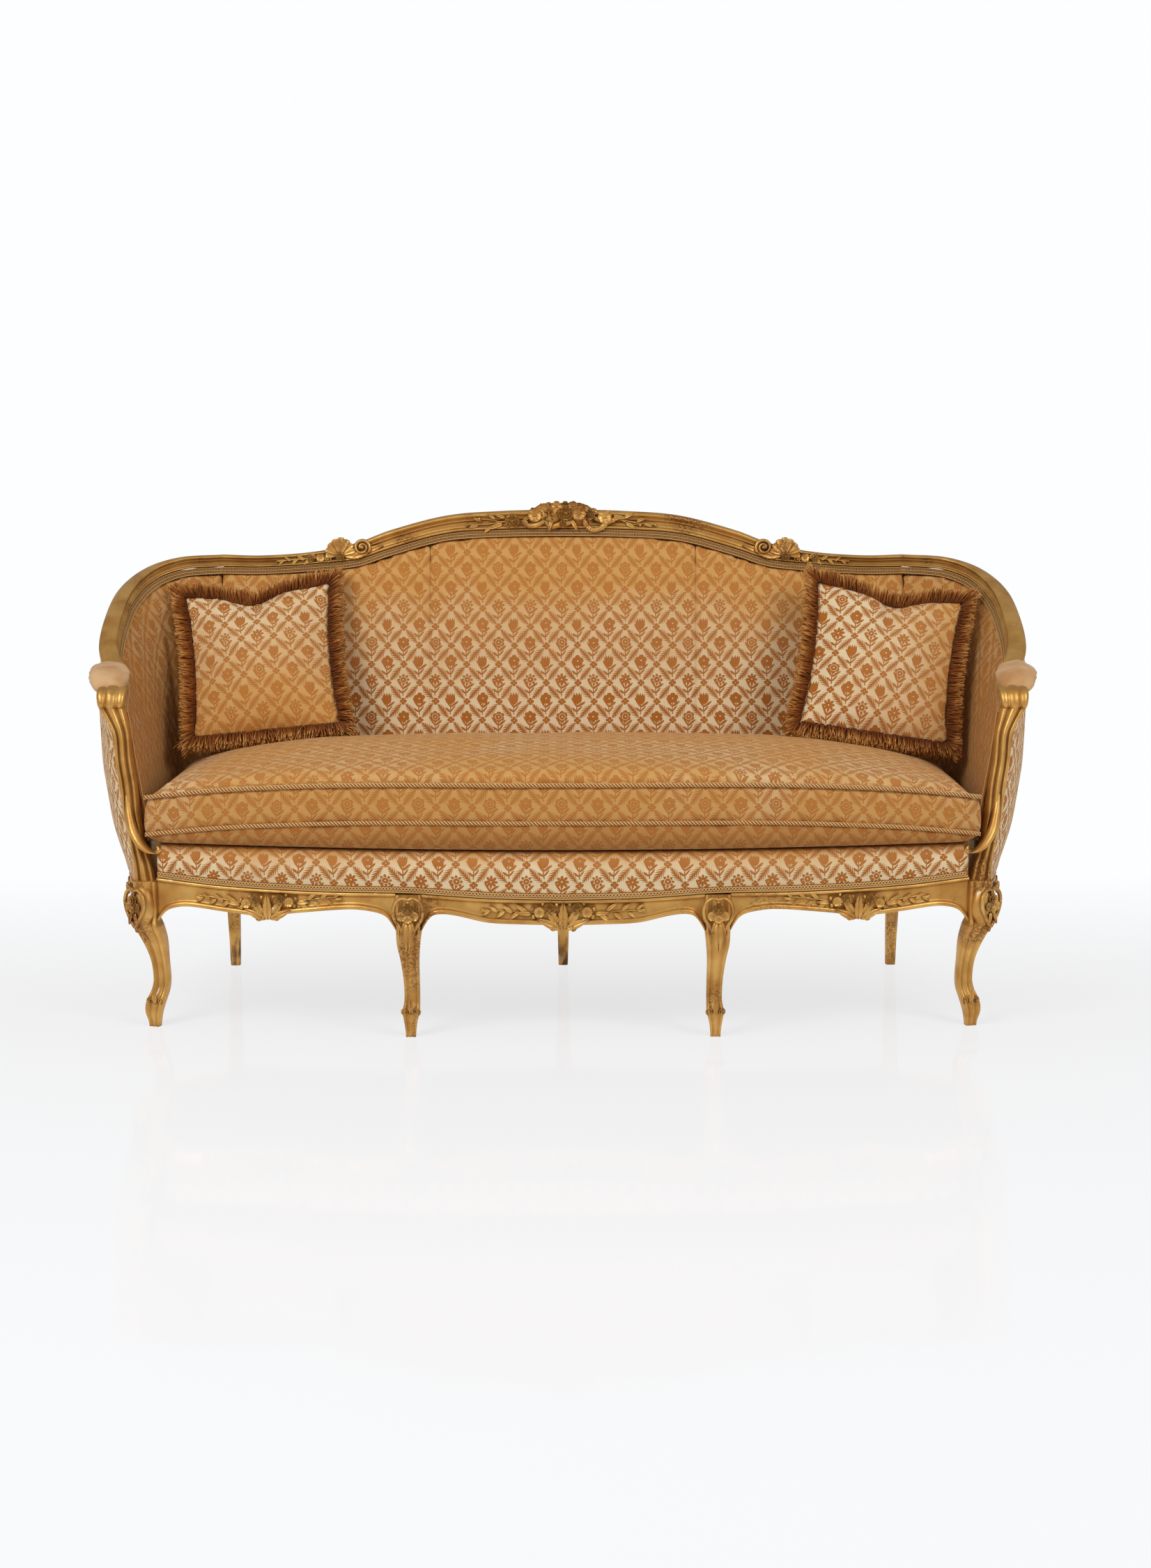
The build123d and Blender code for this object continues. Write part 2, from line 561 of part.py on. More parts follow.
def rear_leg(x):
    """Rear leg, its block and the stile above it, in one length of wood."""
    half = REAR_BLOCK / 2
    top = crest_underside(x) - 2 * GAP
    leg = rear_leg_below(x) + block(x - half, x + half, REAR_BLOCK_FRONT_Y, REAR_BLOCK_REAR_Y,
                                    REAR_RAIL_BOTTOM_Z, LEDGE_Z)
    stile = [(x - half, back_line(z) + y, z) for y, z in
             ((0, LEDGE_Z), (STILE_THICK, LEDGE_Z), (STILE_THICK, top), (0, top))]
    leg += loft_outlines([stile, [(px + REAR_BLOCK, py, pz) for px, py, pz in stile]])
    leg += stile_tenon(x)
    for side, rail_y in ((-half, rear_rail_y(x, -1)), (half, rear_rail_y(x, 1))):
        leg -= mortise(x + side, rail_y, tenon_z(), True, FIT)
    for side in (-half, half):
        leg -= lower_rail_tenon(x + side, FIT)
    return leg


def rear_rail_y(x, side):
    """Middle line of the tenon that enters a rear leg on one side."""
    meets_side_rail = abs(x) > 1 and x * side > 0
    if meets_side_rail:
        return arm_section(0).foot.Y + TENON_THICK / 2
    return REAR_BLOCK_FRONT_Y + REAR_RAIL_IN + REAR_RAIL_THICK / 2


def stile_tenon(x, grow=0.0):
    """Tenon on top of a stile, into the crest rail."""
    top = crest_underside(x)
    y = back_line(top) + STILE_THICK / 2
    return Pos(x, y, top) * Box(REAR_BLOCK * 0.6 + 2 * grow, TENON_THICK + 2 * grow, TENON_LONG + 2 * grow)


def lower_rail_tenon(x, grow=0.0):
    """Tenon of the tacking rail across the lower back."""
    z = LOWER_RAIL_Z - LOWER_RAIL_TALL / 2
    y = back_line(z) + LOWER_RAIL_THICK / 2 + 2
    return Pos(x, y, z) * Box(2 * (TENON_LONG * 0.7 + grow), TENON_THICK + 2 * grow, TENON_TALL + 2 * grow)


def back_lower_rail():
    """Tacking rail between the corner stile and the middle stile."""
    half = REAR_BLOCK / 2
    z0 = LOWER_RAIL_Z - LOWER_RAIL_TALL
    outline = [(back_line(z) + y, z) for y, z in
               ((0, z0), (LOWER_RAIL_THICK, z0), (LOWER_RAIL_THICK, LOWER_RAIL_Z), (0, LOWER_RAIL_Z))]
    rail = loft_outlines([[(x, y, z) for y, z in outline] for x in (-REAR_LEG_X + half, -half)])
    for x in (-REAR_LEG_X + half, -half):
        rail += lower_rail_tenon(x)
    return rail


def rear_rail():
    """Seat rail between the corner leg and the middle leg, arched a little below."""
    half = REAR_BLOCK / 2
    x0 = -REAR_LEG_X + half
    y0 = REAR_BLOCK_FRONT_Y + REAR_RAIL_IN
    low = REAR_RAIL_BOTTOM_Z
    top = Polyline((x0, low), (x0, LEDGE_Z), (-half, LEDGE_Z), (-half, low))
    face = make_face(top + ThreePointArc((-half, low), ((x0 - half) / 2, low + REAR_RAIL_ARCH), (x0, low)))
    rail = Pos(0, y0 + REAR_RAIL_THICK, 0) * extrude(Plane.XZ * face, REAR_RAIL_THICK)
    for x in (x0, -half):
        rail += mortise(x, y0 + REAR_RAIL_THICK / 2, tenon_z())
    return rail - brace_tenon(front=False, grow=FIT)


def top_rail_outline(section):
    """Moulded top rail over one section of the wall."""
    up = (section.head - section.foot).normalized()
    return [section.head + section.out * (a * TOP_RAIL_DEPTH) + up * (r * section.rail_tall)
            for a, r in TOP_RAIL_PROFILE]


def joint_pin(section, grow=0.0):
    """Loose tenon across the joint of two lengths of the top rail."""
    middle = section.head + section.out * (TOP_RAIL_DEPTH / 2) + Vector(0, 0, section.rail_tall / 2)
    along = Vector(1, 0, 0) if abs(section.out.X) < 0.5 else Vector(0, -0.86, -0.5)
    plane = Plane(origin=middle, z_dir=along)
    size = PIN_SIZE + 2 * grow
    return plane.location * Box(size, size, 2 * (TENON_LONG + grow))


def crest_plane(x, up=0.0, toward=1.0):
    """Plane on the front of the crest at x, its first axis along the underside towards one side."""
    start = back_section(x).head + Vector(0, 0, up)
    along = back_section(x + toward).head - back_section(x).head
    return Plane(origin=start, x_dir=(along.X, 0, along.Z), z_dir=(0, -1, 0))


def crest_carving():
    """Bouquet with a sprig to each side, and a shell with a scroll's eye and a sprig on each shoulder."""
    middle = Plane(origin=back_section(0).head, x_dir=(1, 0, 0), z_dir=(0, -1, 0))
    motifs = [carved(BOUQUET, middle, BOUQUET_RELIEF, TOP_RAIL_DEPTH * 0.6)]
    for across, up in ROSETTES:
        motifs.append(carved(rosette(across, up, ROSETTE_RADIUS), middle, BOUQUET_RELIEF + RELIEF / 2, 0))
    root = BOUQUET[1][0] - RELIEF / 2
    spray_at = crest_plane(-root, CREST_TALL[0][1] / 2, -CREST_SPRIG[0])
    spray = carved(sprig(*CREST_SPRIG), spray_at, RELIEF, RELIEF / 2)
    base = Plane(origin=back_section(-SHELL_X).head, x_dir=(1, 0, 0), z_dir=(0, -1, 0))
    shell = carved(fan(SHELL_RADIUS, SHELL_UP, FLUTE_STEPS), base, RELIEF + 2, TOP_RAIL_DEPTH * 0.5)
    eye_at = Pos(SHELL_RADIUS + BOSS_RADIUS, SHELL_UP + BOSS_RADIUS / 2)
    eye = extrude(base * eye_at * RegularPolygon(BOSS_RADIUS, 12), RELIEF * 1.5)
    tail = -SHELL_X - SHELL_RADIUS + RELIEF / 2
    trail = carved(sprig(*SHELL_SPRIG), crest_plane(tail, SHELL_UP, -SHELL_SPRIG[0]), RELIEF, RELIEF / 2)
    for motif in (spray, shell, eye, trail):
        motifs += [motif, right_of(motif)]
    return motifs


def crest_rail():
    """Serpentine crest between the two corner joints, with its carved middle and shells."""
    rail = loft_outlines([top_rail_outline(section) for section in crest_stations()])
    rail = rail.fuse(*crest_carving())
    for x in (-REAR_LEG_X, 0, REAR_LEG_X):
        rail -= stile_tenon(x, FIT)
    end = joint_pin(arm_section(0), FIT)
    return rail - end - right_of(end)


def shoulder_rail():
    """Top rail round the corner, from the crest to the armrest."""
    sections = arm_sections(0, ARMREST_FROM)
    rail = loft_outlines([top_rail_outline(section) for section in sections])
    return rail - joint_pin(sections[0], FIT) - joint_pin(sections[-1], FIT)


def arm_rail():
    """Arm under its padded rest, ending in a scroll over the support."""
    sections = arm_sections(ARMREST_FROM)
    last = sections[-1]
    nose = Section(last.foot, last.head + Vector(0, -ARM_NOSE, 0), last.out, last.rail_tall, last.pad_thick)
    rail = loft_outlines([top_rail_outline(section) for section in sections + [nose]])
    x, y, z = last.head + Vector(*SCROLL_SHIFT)
    volute = Plane(origin=(x - SCROLL_WIDE / 2, y, z), z_dir=(1, 0, 0)) * RegularPolygon(SCROLL_RADIUS, 16)
    rail += extrude(volute, SCROLL_WIDE)
    aside = 2 * SCROLL_WIDE
    rail -= block(x - aside, x + aside, y - aside, sections[0].head.Y, ARM_REST_Z - aside, ARM_REST_Z)
    return rail - joint_pin(sections[0], FIT) - support_tenon(FIT, top=True)


def support_centre(z, shift):
    """Middle of the arm support at one height, just ahead of the arm's front section."""
    section = arm_section(ARM_END)
    web = section.at(0, section.share_at(z))
    return web.X - shift, web.Y - SUPPORT_DEPTH / 2 - GAP


def support_tenon(grow=0.0, top=False):
    """Tenon at the foot or the top of the arm support."""
    z = ARM_REST_Z if top else SUPPORT_FOOT_Z
    x, y = support_centre(z, SUPPORT[-1 if top else 0][1])
    tall = (TENON_LONG if top else TENON_TALL) + 2 * grow
    return Pos(x, y, z) * Box(TENON_LONG + 2 * grow, TENON_LONG + 2 * grow, tall)


def arm_support():
    """Scrolled upright between the outer leg and the arm."""
    outlines = []
    for z in spread(SUPPORT_FOOT_Z, ARM_REST_Z, SUPPORT_STEPS):
        shift, width = smooth_row(SUPPORT, z)
        x, y = support_centre(z, shift)
        outlines.append(octagon(x, y, z, width, SUPPORT_DEPTH, 0.24))
    hook = []
    for out, ahead, z, width in reversed(HOOK):
        hook.append(octagon(-OUTER_LEG_X - out, OUTER_LEG_Y - ahead, z, width, width))
    return loft_outlines(outlines) + loft_outlines(hook) + support_tenon() + support_tenon(top=True)


def brace_tenon(front, grow=0.0):
    """Tenon of the seat brace into the inner leg or the rear rail."""
    y = front_line(INNER_LEG_X) + INNER_BLOCK_DEPTH / 2 if front else REAR_BLOCK_FRONT_Y + REAR_RAIL_IN
    z = LEDGE_Z - 6 - BRACE_TALL / 2
    size = (TENON_THICK + 2 * grow, 2 * (TENON_LONG * 0.6 + grow), TENON_TALL + 2 * grow)
    return Pos(-INNER_LEG_X, y, z) * Box(*size)


def seat_brace():
    """Rail under the webbing from the inner leg to the rear rail."""
    y0 = front_line(INNER_LEG_X) + INNER_BLOCK_DEPTH / 2
    y1 = REAR_BLOCK_FRONT_Y + REAR_RAIL_IN
    z1 = LEDGE_Z - 6
    brace = block(-INNER_LEG_X - BRACE_THICK / 2, -INNER_LEG_X + BRACE_THICK / 2, y0, y1, z1 - BRACE_TALL, z1)
    return brace + brace_tenon(True) + brace_tenon(False)


def loose_tenons():
    """The loose tenons that join the lengths of the top rail."""
    pins = []
    for section in (arm_section(0), arm_section(ARMREST_FROM)):
        pins += [joint_pin(section), right_of(joint_pin(section))]
    return pins


# ---- upholstery ----
def webbing():
    """Straps tacked on the ledges, a row front to back and a row along over them."""
    straps = []
    count = int(2 * (OUTER_LEG_X - WEB_CLEAR) // WEB_STEP)
    for k in range(count):
        x = (k - (count - 1) / 2) * WEB_STEP
        y0 = front_line(abs(x) + WEB_WIDTH / 2) + LIP_IN + 1
        y1 = REAR_BLOCK_FRONT_Y + REAR_RAIL_IN + REAR_RAIL_THICK / 3
        straps.append(block(x - WEB_WIDTH / 2, x + WEB_WIDTH / 2, y0, y1, LEDGE_Z, LEDGE_Z + WEB_THICK))
    return straps


def long_webbing():
    """The straps that run along the seat over the others."""
    straps = []
    for k in range(LONG_WEBS):
        y = LONG_WEB_Y + k * WEB_STEP
        straps.append(block(-OUTER_LEG_X, OUTER_LEG_X, y - WEB_WIDTH / 2, y + WEB_WIDTH / 2,
                            LEDGE_Z + WEB_THICK, LEDGE_Z + 2 * WEB_THICK))
    return straps


def border_stations():
    """Places along the front where the border is drawn, clear of the outer legs."""
    reach = OUTER_LEG_X - OUTER_BLOCK / 2 - GAP
    return spread(-reach, reach, BORDER_STEPS)


def seat_deck():
    """Stuffed platform over the webbing, inside the foot of the wall and behind the border."""
    low = LEDGE_Z + 2 * WEB_THICK
    front = [(x, front_line(x) + BORDER_DEPTH - BORDER_PROUD) for x in border_stations()]
    sections = arm_sections()
    corner = sections[-1]
    corner_y = corner.at(0, corner.share_at(DECK_TOP_Z)).Y + DECK_CLEAR
    right = [(front[-1][0], corner_y), (-corner.foot.X - DECK_CLEAR, corner_y)]
    for section in reversed(sections[:-1]):
        foot = section.at(-DECK_CLEAR, 0)
        right.append((-foot.X, foot.Y))
    left = [(-x, y) for x, y in reversed(right)]
    outline = Polyline(*front, *right, *left, close=True)
    return Pos(0, 0, low) * extrude(make_face(outline), DECK_TOP_Z - low)


def front_border():
    """Stuffed roll that shows above the front rail."""
    outlines = []
    for x in border_stations():
        y = front_line(x)
        low = rail_top(x) + 2 * GAP
        back = y + BORDER_DEPTH - BORDER_PROUD
        face = y - BORDER_PROUD
        full = low + BORDER_FULL * (BORDER_TOP_Z - low)
        inner = y + LIP_IN + GAP
        bottom = LEDGE_Z + 2 * WEB_THICK
        points = [(face, low), (face - BORDER_BULGE, full), (face + 2, BORDER_TOP_Z - 10),
                  (y + 2, BORDER_TOP_Z), (back, DECK_TOP_Z), (back, bottom), (inner, bottom), (inner, low)]
        outlines.append([(x, py, pz) for py, pz in points])
    return loft_outlines(outlines)


def pad_outline(section):
    """Stuffed inside of the wall: thin at its edges and full in the middle."""
    s0 = section.share_at(DECK_TOP_Z + GAP)
    s1 = section.share_below(GIMP_WIDTH + 3 * GAP)
    span = s1 - s0
    thick = section.pad_thick
    return [(0, s0), (-thick * 0.75, s0), (-thick, s0 + 0.3 * span), (-thick * 0.8, s0 + 0.65 * span),
            (-max(thick * 0.45, PAD_EDGE), s0 + 0.9 * span), (-PAD_EDGE, s1), (0, s1)]


def back_pad(first, last):
    """One width of the padded back, between two stations of the crest."""
    return wall_loft(crest_stations(first, last), pad_outline)


def arm_pad():
    """Padded inside of the corner and the arm."""
    return wall_loft(arm_sections(), pad_outline)


def cover_face(section):
    """Line of the cloth outside the arm, from its foot to the rail."""
    s0 = section.share_at(LEDGE_Z + 2 * WEB_THICK + 1)
    s1 = section.share_below(GAP)
    full = section.bulge
    return [(SIDE_RAIL_OUT - 5, s0), (full * 0.84, 0.22), (full, 0.5), (full * 0.9, 0.82),
            (min(full, TOP_RAIL_DEPTH * 0.8), s1)]


def arm_cover():
    """Stuffed outside of the corner and the arm."""
    def outline(section):
        face = cover_face(section)
        pad = pad_outline(section)
        return [(GAP, face[0][1]), *face, (GAP, face[-1][1]), (GAP, pad[-1][1]), (GAP, pad[0][1])]
    return wall_loft(arm_sections(), outline)


def back_cover():
    """Cloth over the outside of the back."""
    def outline(section):
        s1 = section.share_below(GAP)
        inner = STILE_THICK + GAP
        return [(inner, 0), (inner + COVER_THICK, 0), (inner + COVER_THICK, s1), (inner, s1)]
    return wall_loft(crest_stations(), outline)


def gimp_strip(sections):
    """Braid that covers the tacks between the pads and the rail above."""
    def outline(section):
        s0 = section.share_below(GIMP_WIDTH + GAP)
        s1 = section.share_below(GAP)
        return [(0, s0), (-PAD_EDGE - GIMP_THICK, s0), (-PAD_EDGE * 0.4 - GIMP_THICK, s1), (0, s1)]
    return wall_loft(sections, outline)


def gimp_back():
    """The braid in three lengths: along the back and down to each armrest."""
    middle = gimp_strip(crest_stations())
    side = gimp_strip(arm_sections())
    return [middle, side, right_of(side)]


def gimp_front():
    """Braid along the foot of the stuffed border, over the tacks on the front rail."""
    outlines = []
    for x in border_stations():
        low = rail_top(x) + 2 * GAP
        high = low + GIMP_WIDTH
        foot = front_line(x) - BORDER_PROUD - GAP
        head = foot - BORDER_BULGE * GIMP_WIDTH / (BORDER_FULL * (BORDER_TOP_Z - low))
        corners = [(foot, low), (head, high), (head - GIMP_THICK, high), (foot - GIMP_THICK, low)]
        outlines.append([(x, y, z) for y, z in corners])
    return loft_outlines(outlines)


def gimp_support():
    """Braid down both sides of the arm support, on the cloth inside and outside the arm."""
    sections = [arm_section(ARM_END - GIMP_BACK), arm_section(ARM_END)]

    def outline(line, sign):
        near = [(a + sign * CLOTH_CLEAR, s) for a, s in line]
        far = [(a + sign * (CLOTH_CLEAR + GIMP_THICK), s) for a, s in reversed(line)]
        return near + far
    inside = wall_loft(sections, lambda section: outline(pad_outline(section)[1:-1], -1))
    outside = wall_loft(sections, lambda section: outline(cover_face(section)[:-1], 1))
    return [inside, outside]


def armrest_pad():
    """Padded rest on the arm, drawn in at both ends."""
    outlines = []
    for k in spread(ARMREST_FROM, ARM_END, ARMREST_STEPS):
        section = arm_section(k)
        share = smooth(ARMREST_SWELL, k - ARMREST_FROM)
        up = (section.head - section.foot).normalized()
        base = section.head + up * (section.rail_tall + GAP) + section.out * (TOP_RAIL_DEPTH / 2 - 1)
        half = ARMREST_WIDTH / 2 * share
        tall = ARMREST_TALL * share
        outlines.append([base + section.out * (half * a) + up * (tall * r) for a, r in ARMREST_PROFILE])
    return loft_outlines(outlines)


# ---- loose pieces ----
def cushion_sections():
    """Places along the cushion where its section is drawn."""
    right = [CUSHION_HALF * share for share in CUSHION_SHARES]
    return [-x for x in reversed(right[1:])] + right


def cushion_corners(x):
    """Front and rear face and lower and upper seam of the cushion at x."""
    share = abs(x) / CUSHION_HALF
    front = front_line(x) - CUSHION_FRONT + CUSHION_NOSE * share**60
    rear = CUSHION_REAR_Y + smooth(CUSHION_REAR, share)
    upper = smooth(PIPING_TOP_Z, share)
    return front, rear, upper - BAND_TALL, upper


def seat_cushion():
    """Squab with a boxed band, a crowned top and a full underside."""
    outlines = []
    for x in cushion_sections():
        front, rear, low, high = cushion_corners(x)
        fall = (abs(x) / CUSHION_HALF) ** 4
        crown = high + CUSHION_CROWN * (1 - fall) + BAND_BULGE
        belly = low - (low - CUSHION_BOTTOM_Z) * (1 - fall) - BAND_BULGE * fall
        middle = (front + rear) / 2
        half_way = (low + high) / 2
        corners = [Vector(x, front, low), Vector(x, front, high), Vector(x, rear, high), Vector(x, rear, low)]
        peaks = [Vector(x, front - BAND_BULGE, half_way), Vector(x, middle, crown),
                 Vector(x, rear + BAND_BULGE, half_way), Vector(x, middle, belly)]
        outline = []
        for k, steps in enumerate((4, 10, 2, 6)):
            outline += bow(corners[k], peaks[k], corners[(k + 1) % 4], steps)
        outlines.append(outline)
    return loft_outlines(outlines)


def piping(height_share):
    """Twisted cord along the front of the cushion, at its lower or upper seam."""
    outlines = []
    for x in cushion_sections()[1:-1]:
        front, _, low, high = cushion_corners(x)
        y = front - PIPING_DIAMETER / 2 - GAP
        z = low + (high - low) * height_share
        outlines.append([(x, py, pz) for py, pz, _ in octagon(y, z, x, PIPING_DIAMETER, PIPING_DIAMETER)])
    return loft_outlines(outlines)


def pillow_place(side):
    """Place of a pillow: its lowest corner by the cushion's end, leaning back and rolled a little."""
    sign, aside, ahead, rise, roll = PILLOW_PLACES[side]
    reach = PILLOW_SIZE / 2 + FRINGE_WIDTH
    lean = radians(PILLOW_LEAN)
    drop = reach * (cos(radians(roll)) + sin(radians(abs(roll))))
    x = sign * (OUTER_LEG_X - PILLOW_SIZE / 2 - aside)
    z = PIPING_TOP_Z[-1][1] + CUSHION_CROWN + rise + drop * cos(lean)
    y = back_line(z) - ahead - reach * sin(lean)
    upright = Plane(origin=(x, y, z), x_dir=(1, 0, 0), z_dir=(0, -1, 0)).location
    return upright * Rot(-PILLOW_LEAN, 0, 0) * Rot(0, 0, roll)


def pillow_half_width(v):
    """Half the pillow's width at one height in its own plane, drawn in at the middle."""
    return PILLOW_SIZE / 2 - PILLOW_WAIST * (1 - (2 * v / PILLOW_SIZE) ** 2)


def pillow(side):
    """Stuffed square with a pinched edge."""
    outlines = []
    for share in spread(-1, 1, PILLOW_STEPS):
        v = PILLOW_SIZE / 2 * share
        half = pillow_half_width(v)
        swell = PILLOW_EDGE / 2 + (PILLOW_THICK - PILLOW_EDGE) / 2 * (1 - share**2) ** 0.6
        left = Vector(-half, v, 0)
        right = Vector(half, v, 0)
        outlines.append(bow(left, Vector(0, v, swell), right, PILLOW_SIDE_STEPS)
                        + bow(right, Vector(0, v, -swell), left, PILLOW_SIDE_STEPS))
    return pillow_place(side) * loft_outlines(outlines)


def pillow_fringe(side):
    """Thick brush fringe round the pillow's edge."""
    half = PILLOW_SIZE / 2
    stations = spread(-half, half, PILLOW_STEPS)

    def ring(grow):
        right = [(pillow_half_width(v) + grow, v * (half + grow) / half) for v in stations]
        left = [(-x, y) for x, y in reversed(right)]
        return make_face(Polyline(*right, *left, close=True))

    band = extrude(ring(FRINGE_WIDTH) - ring(GAP), FRINGE_THICK)
    return pillow_place(side) * Pos(0, 0, -FRINGE_THICK / 2) * band


def pieces():
    """Every node by name, as one solid or a list of solids."""
    rail_left, rail_centre, rail_right = front_rails()
    made = {
        "crest_rail": crest_rail(),
        "front_rail_left": rail_left,
        "front_rail_center": rail_centre,
        "front_rail_right": rail_right,
        "rear_leg_center": rear_leg(0),
        "loose_tenons": loose_tenons(),
        "seat_webbing_cross": webbing(),
        "seat_webbing_long": long_webbing(),
        "seat_deck": seat_deck(),
        "front_border": front_border(),
        "back_pad_center": back_pad(-SEAM_X, SEAM_X),
        "back_cover": back_cover(),
        "gimp_back": gimp_back(),
        "gimp_front": gimp_front(),
        "seat_cushion": seat_cushion(),
        "cushion_piping_upper": piping(1),
        "cushion_piping_lower": piping(0),
    }
    pairs = {"shoulder_rail": shoulder_rail(), "arm_rail": arm_rail(), "arm_support": arm_support(),
             "side_rail": side_rail(), "front_leg_outer": outer_leg(), "front_leg_inner": inner_leg(),
             "rear_leg": rear_leg(-REAR_LEG_X), "rear_rail": rear_rail(), "back_lower_rail": back_lower_rail(),
             "seat_brace": seat_brace(), "back_pad": back_pad(-CREST_HALF, -SEAM_X), "arm_pad": arm_pad(),
             "arm_cover": arm_cover(), "gimp_support": gimp_support(), "armrest_pad": armrest_pad()}
    for name, left in pairs.items():
        made[name + "_left"] = left
        made[name + "_right"] = right_of(left)
    for side in PILLOW_PLACES:
        made["pillow_" + side] = pillow(side)
        made["pillow_fringe_" + side] = pillow_fringe(side)
    return made


def main():
    os.makedirs("parts", exist_ok=True)
    for name, piece in pieces().items():
        shape = Compound(children=list(piece)) if isinstance(piece, list) else piece
        export_step(shape, f"parts/{name}.step")
        box = shape.bounding_box()
        print(f"{name:24s} {box.size.X:8.1f} {box.size.Y:8.1f} {box.size.Z:8.1f}")


main()
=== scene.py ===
import logging
import math
import random
from dataclasses import dataclass
from enum import Enum
from typing import Any, Callable, Iterable, Optional, Sequence, Union

import bmesh
import bpy
import numpy as np
from mathutils import Matrix, Vector, noise


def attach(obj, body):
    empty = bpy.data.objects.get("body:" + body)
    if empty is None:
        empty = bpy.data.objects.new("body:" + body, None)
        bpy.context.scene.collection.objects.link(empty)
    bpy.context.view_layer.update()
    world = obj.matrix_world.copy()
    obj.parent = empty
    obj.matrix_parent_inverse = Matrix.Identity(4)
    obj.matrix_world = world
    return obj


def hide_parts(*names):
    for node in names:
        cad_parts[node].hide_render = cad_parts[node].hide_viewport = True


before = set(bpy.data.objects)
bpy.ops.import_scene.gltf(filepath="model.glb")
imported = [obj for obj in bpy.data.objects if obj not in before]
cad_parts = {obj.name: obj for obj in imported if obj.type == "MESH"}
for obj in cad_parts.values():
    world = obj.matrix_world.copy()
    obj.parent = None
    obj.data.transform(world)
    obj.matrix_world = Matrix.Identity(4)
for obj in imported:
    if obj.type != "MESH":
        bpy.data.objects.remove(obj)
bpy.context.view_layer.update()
log = logging.getLogger("sofa")

MM = 0.001
SAME_PLACE = 0.00002  # points nearer than this, in metres, are one
DECK_Z = 0.3724  # top of the stuffed deck, in metres
WALL_FOOT_Z = 0.279  # foot of the wall, in metres
CLOTH_ANGLE = 80  # edges sharper than these, in degrees, stay sharp
FLAT_CLOTH_ANGLE = 40
BRAID_ANGLE = 70
CARVED_ANGLE = 60
Point = tuple[float, float, float]
Table = Sequence[tuple[float, float]]
Piece = bpy.types.Object


class Side(Enum):
    """The two sides of the sofa, as the sign of their X."""

    LEFT = -1
    RIGHT = 1

    @property
    def word(self) -> str:
        """The ending of the names of this side's pieces."""
        return self.name.lower()


class Body(Enum):
    """The rigid bodies that pieces ride on."""

    FRAME = "frame"
    CUSHION = "seat_cushion"
    PILLOW_LEFT = "pillow_left"
    PILLOW_RIGHT = "pillow_right"


class Slot(Enum):
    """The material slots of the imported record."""

    GILT = "gilt_wood"
    FIGURED = "figured_velvet"
    PLAIN = "plain_velvet"
    BRAID = "gimp_braid"
    CORD = "twisted_cord"
    YARN = "fringe_yarn"


# ---------------------------------------------------------------- shader maths
def dye(red: int, green: int, blue: int) -> tuple[float, float, float, float]:
    """A colour as the eye reads it, turned to the linear values that shaders take.

    Args:
        red: red from 0 to 255.
        green: green from 0 to 255.
        blue: blue from 0 to 255.

    Returns:
        Linear red, green, blue and an alpha of 1.
    """
    shares = [channel / 255 for channel in (red, green, blue)]
    linear = [s / 12.92 if s <= 0.04045 else ((s + 0.055) / 1.055) ** 2.4 for s in shares]
    return (linear[0], linear[1], linear[2], 1.0)


class Signal:
    """A shader socket that ordinary Python sums can be done on."""

    def __init__(self, recipe: "Recipe", socket: bpy.types.NodeSocket) -> None:
        """Keep the socket and the recipe whose tree it is in.

        Args:
            recipe: the recipe that owns the node tree.
            socket: an output socket of that tree.
        """
        self.recipe = recipe
        self.socket = socket

    def maths(self, operation: str, *others: "Number", clamp: bool = False,
              first: Optional["Number"] = None) -> "Signal":
        """Add one Math node.

        Args:
            operation: the node's operation.
            others: the values that follow this one.
            clamp: whether the result is kept between 0 and 1.
            first: a value that stands before this one.

        Returns:
            The node's result.
        """
        values = [self, *others] if first is None else [first, self, *others]
        node = self.recipe.node("ShaderNodeMath", {"operation": operation, "use_clamp": clamp},
                                dict(enumerate(values)))
        return Signal(self.recipe, node.outputs[0])

    def __add__(self, other: "Number") -> "Signal":
        """Sum."""
        return self.maths("ADD", other)

    __radd__ = __add__

    def __mul__(self, other: "Number") -> "Signal":
        """Product."""
        return self.maths("MULTIPLY", other)

    __rmul__ = __mul__

    def __sub__(self, other: "Number") -> "Signal":
        """Difference."""
        return self.maths("SUBTRACT", other)

    def __rsub__(self, other: "Number") -> "Signal":
        """Difference from a number."""
        return self.maths("SUBTRACT", first=other)

    def __truediv__(self, other: "Number") -> "Signal":
        """Quotient."""
        return self.maths("DIVIDE", other)

    def __pow__(self, other: "Number") -> "Signal":
        """Power."""
        return self.maths("POWER", other)

    def __abs__(self) -> "Signal":
        """Size without its sign."""
        return self.maths("ABSOLUTE")

    def below(self, other: "Number") -> "Signal":
        """1 where this is less than the other value, else 0."""
        return self.maths("LESS_THAN", other)

    def least(self, other: "Number") -> "Signal":
        """The smaller of the two."""
        return self.maths("MINIMUM", other)

    def most(self, other: "Number") -> "Signal":
        """The larger of the two."""
        return self.maths("MAXIMUM", other)

    def part(self) -> "Signal":
        """What is left over after the whole number."""
        return self.maths("FRACT")

    def floor(self) -> "Signal":
        """The whole number below."""
        return self.maths("FLOOR")

    def rise(self, start: float, end: float) -> "Signal":
        """0 at start, 1 at end and straight between.

        Args:
            start: where the result is 0.
            end: where the result is 1.

        Returns:
            The clamped ramp.
        """
        slope = 1 / (end - start)
        return self.maths("MULTIPLY_ADD", slope, -start * slope, clamp=True)


Number = Union[Signal, float]


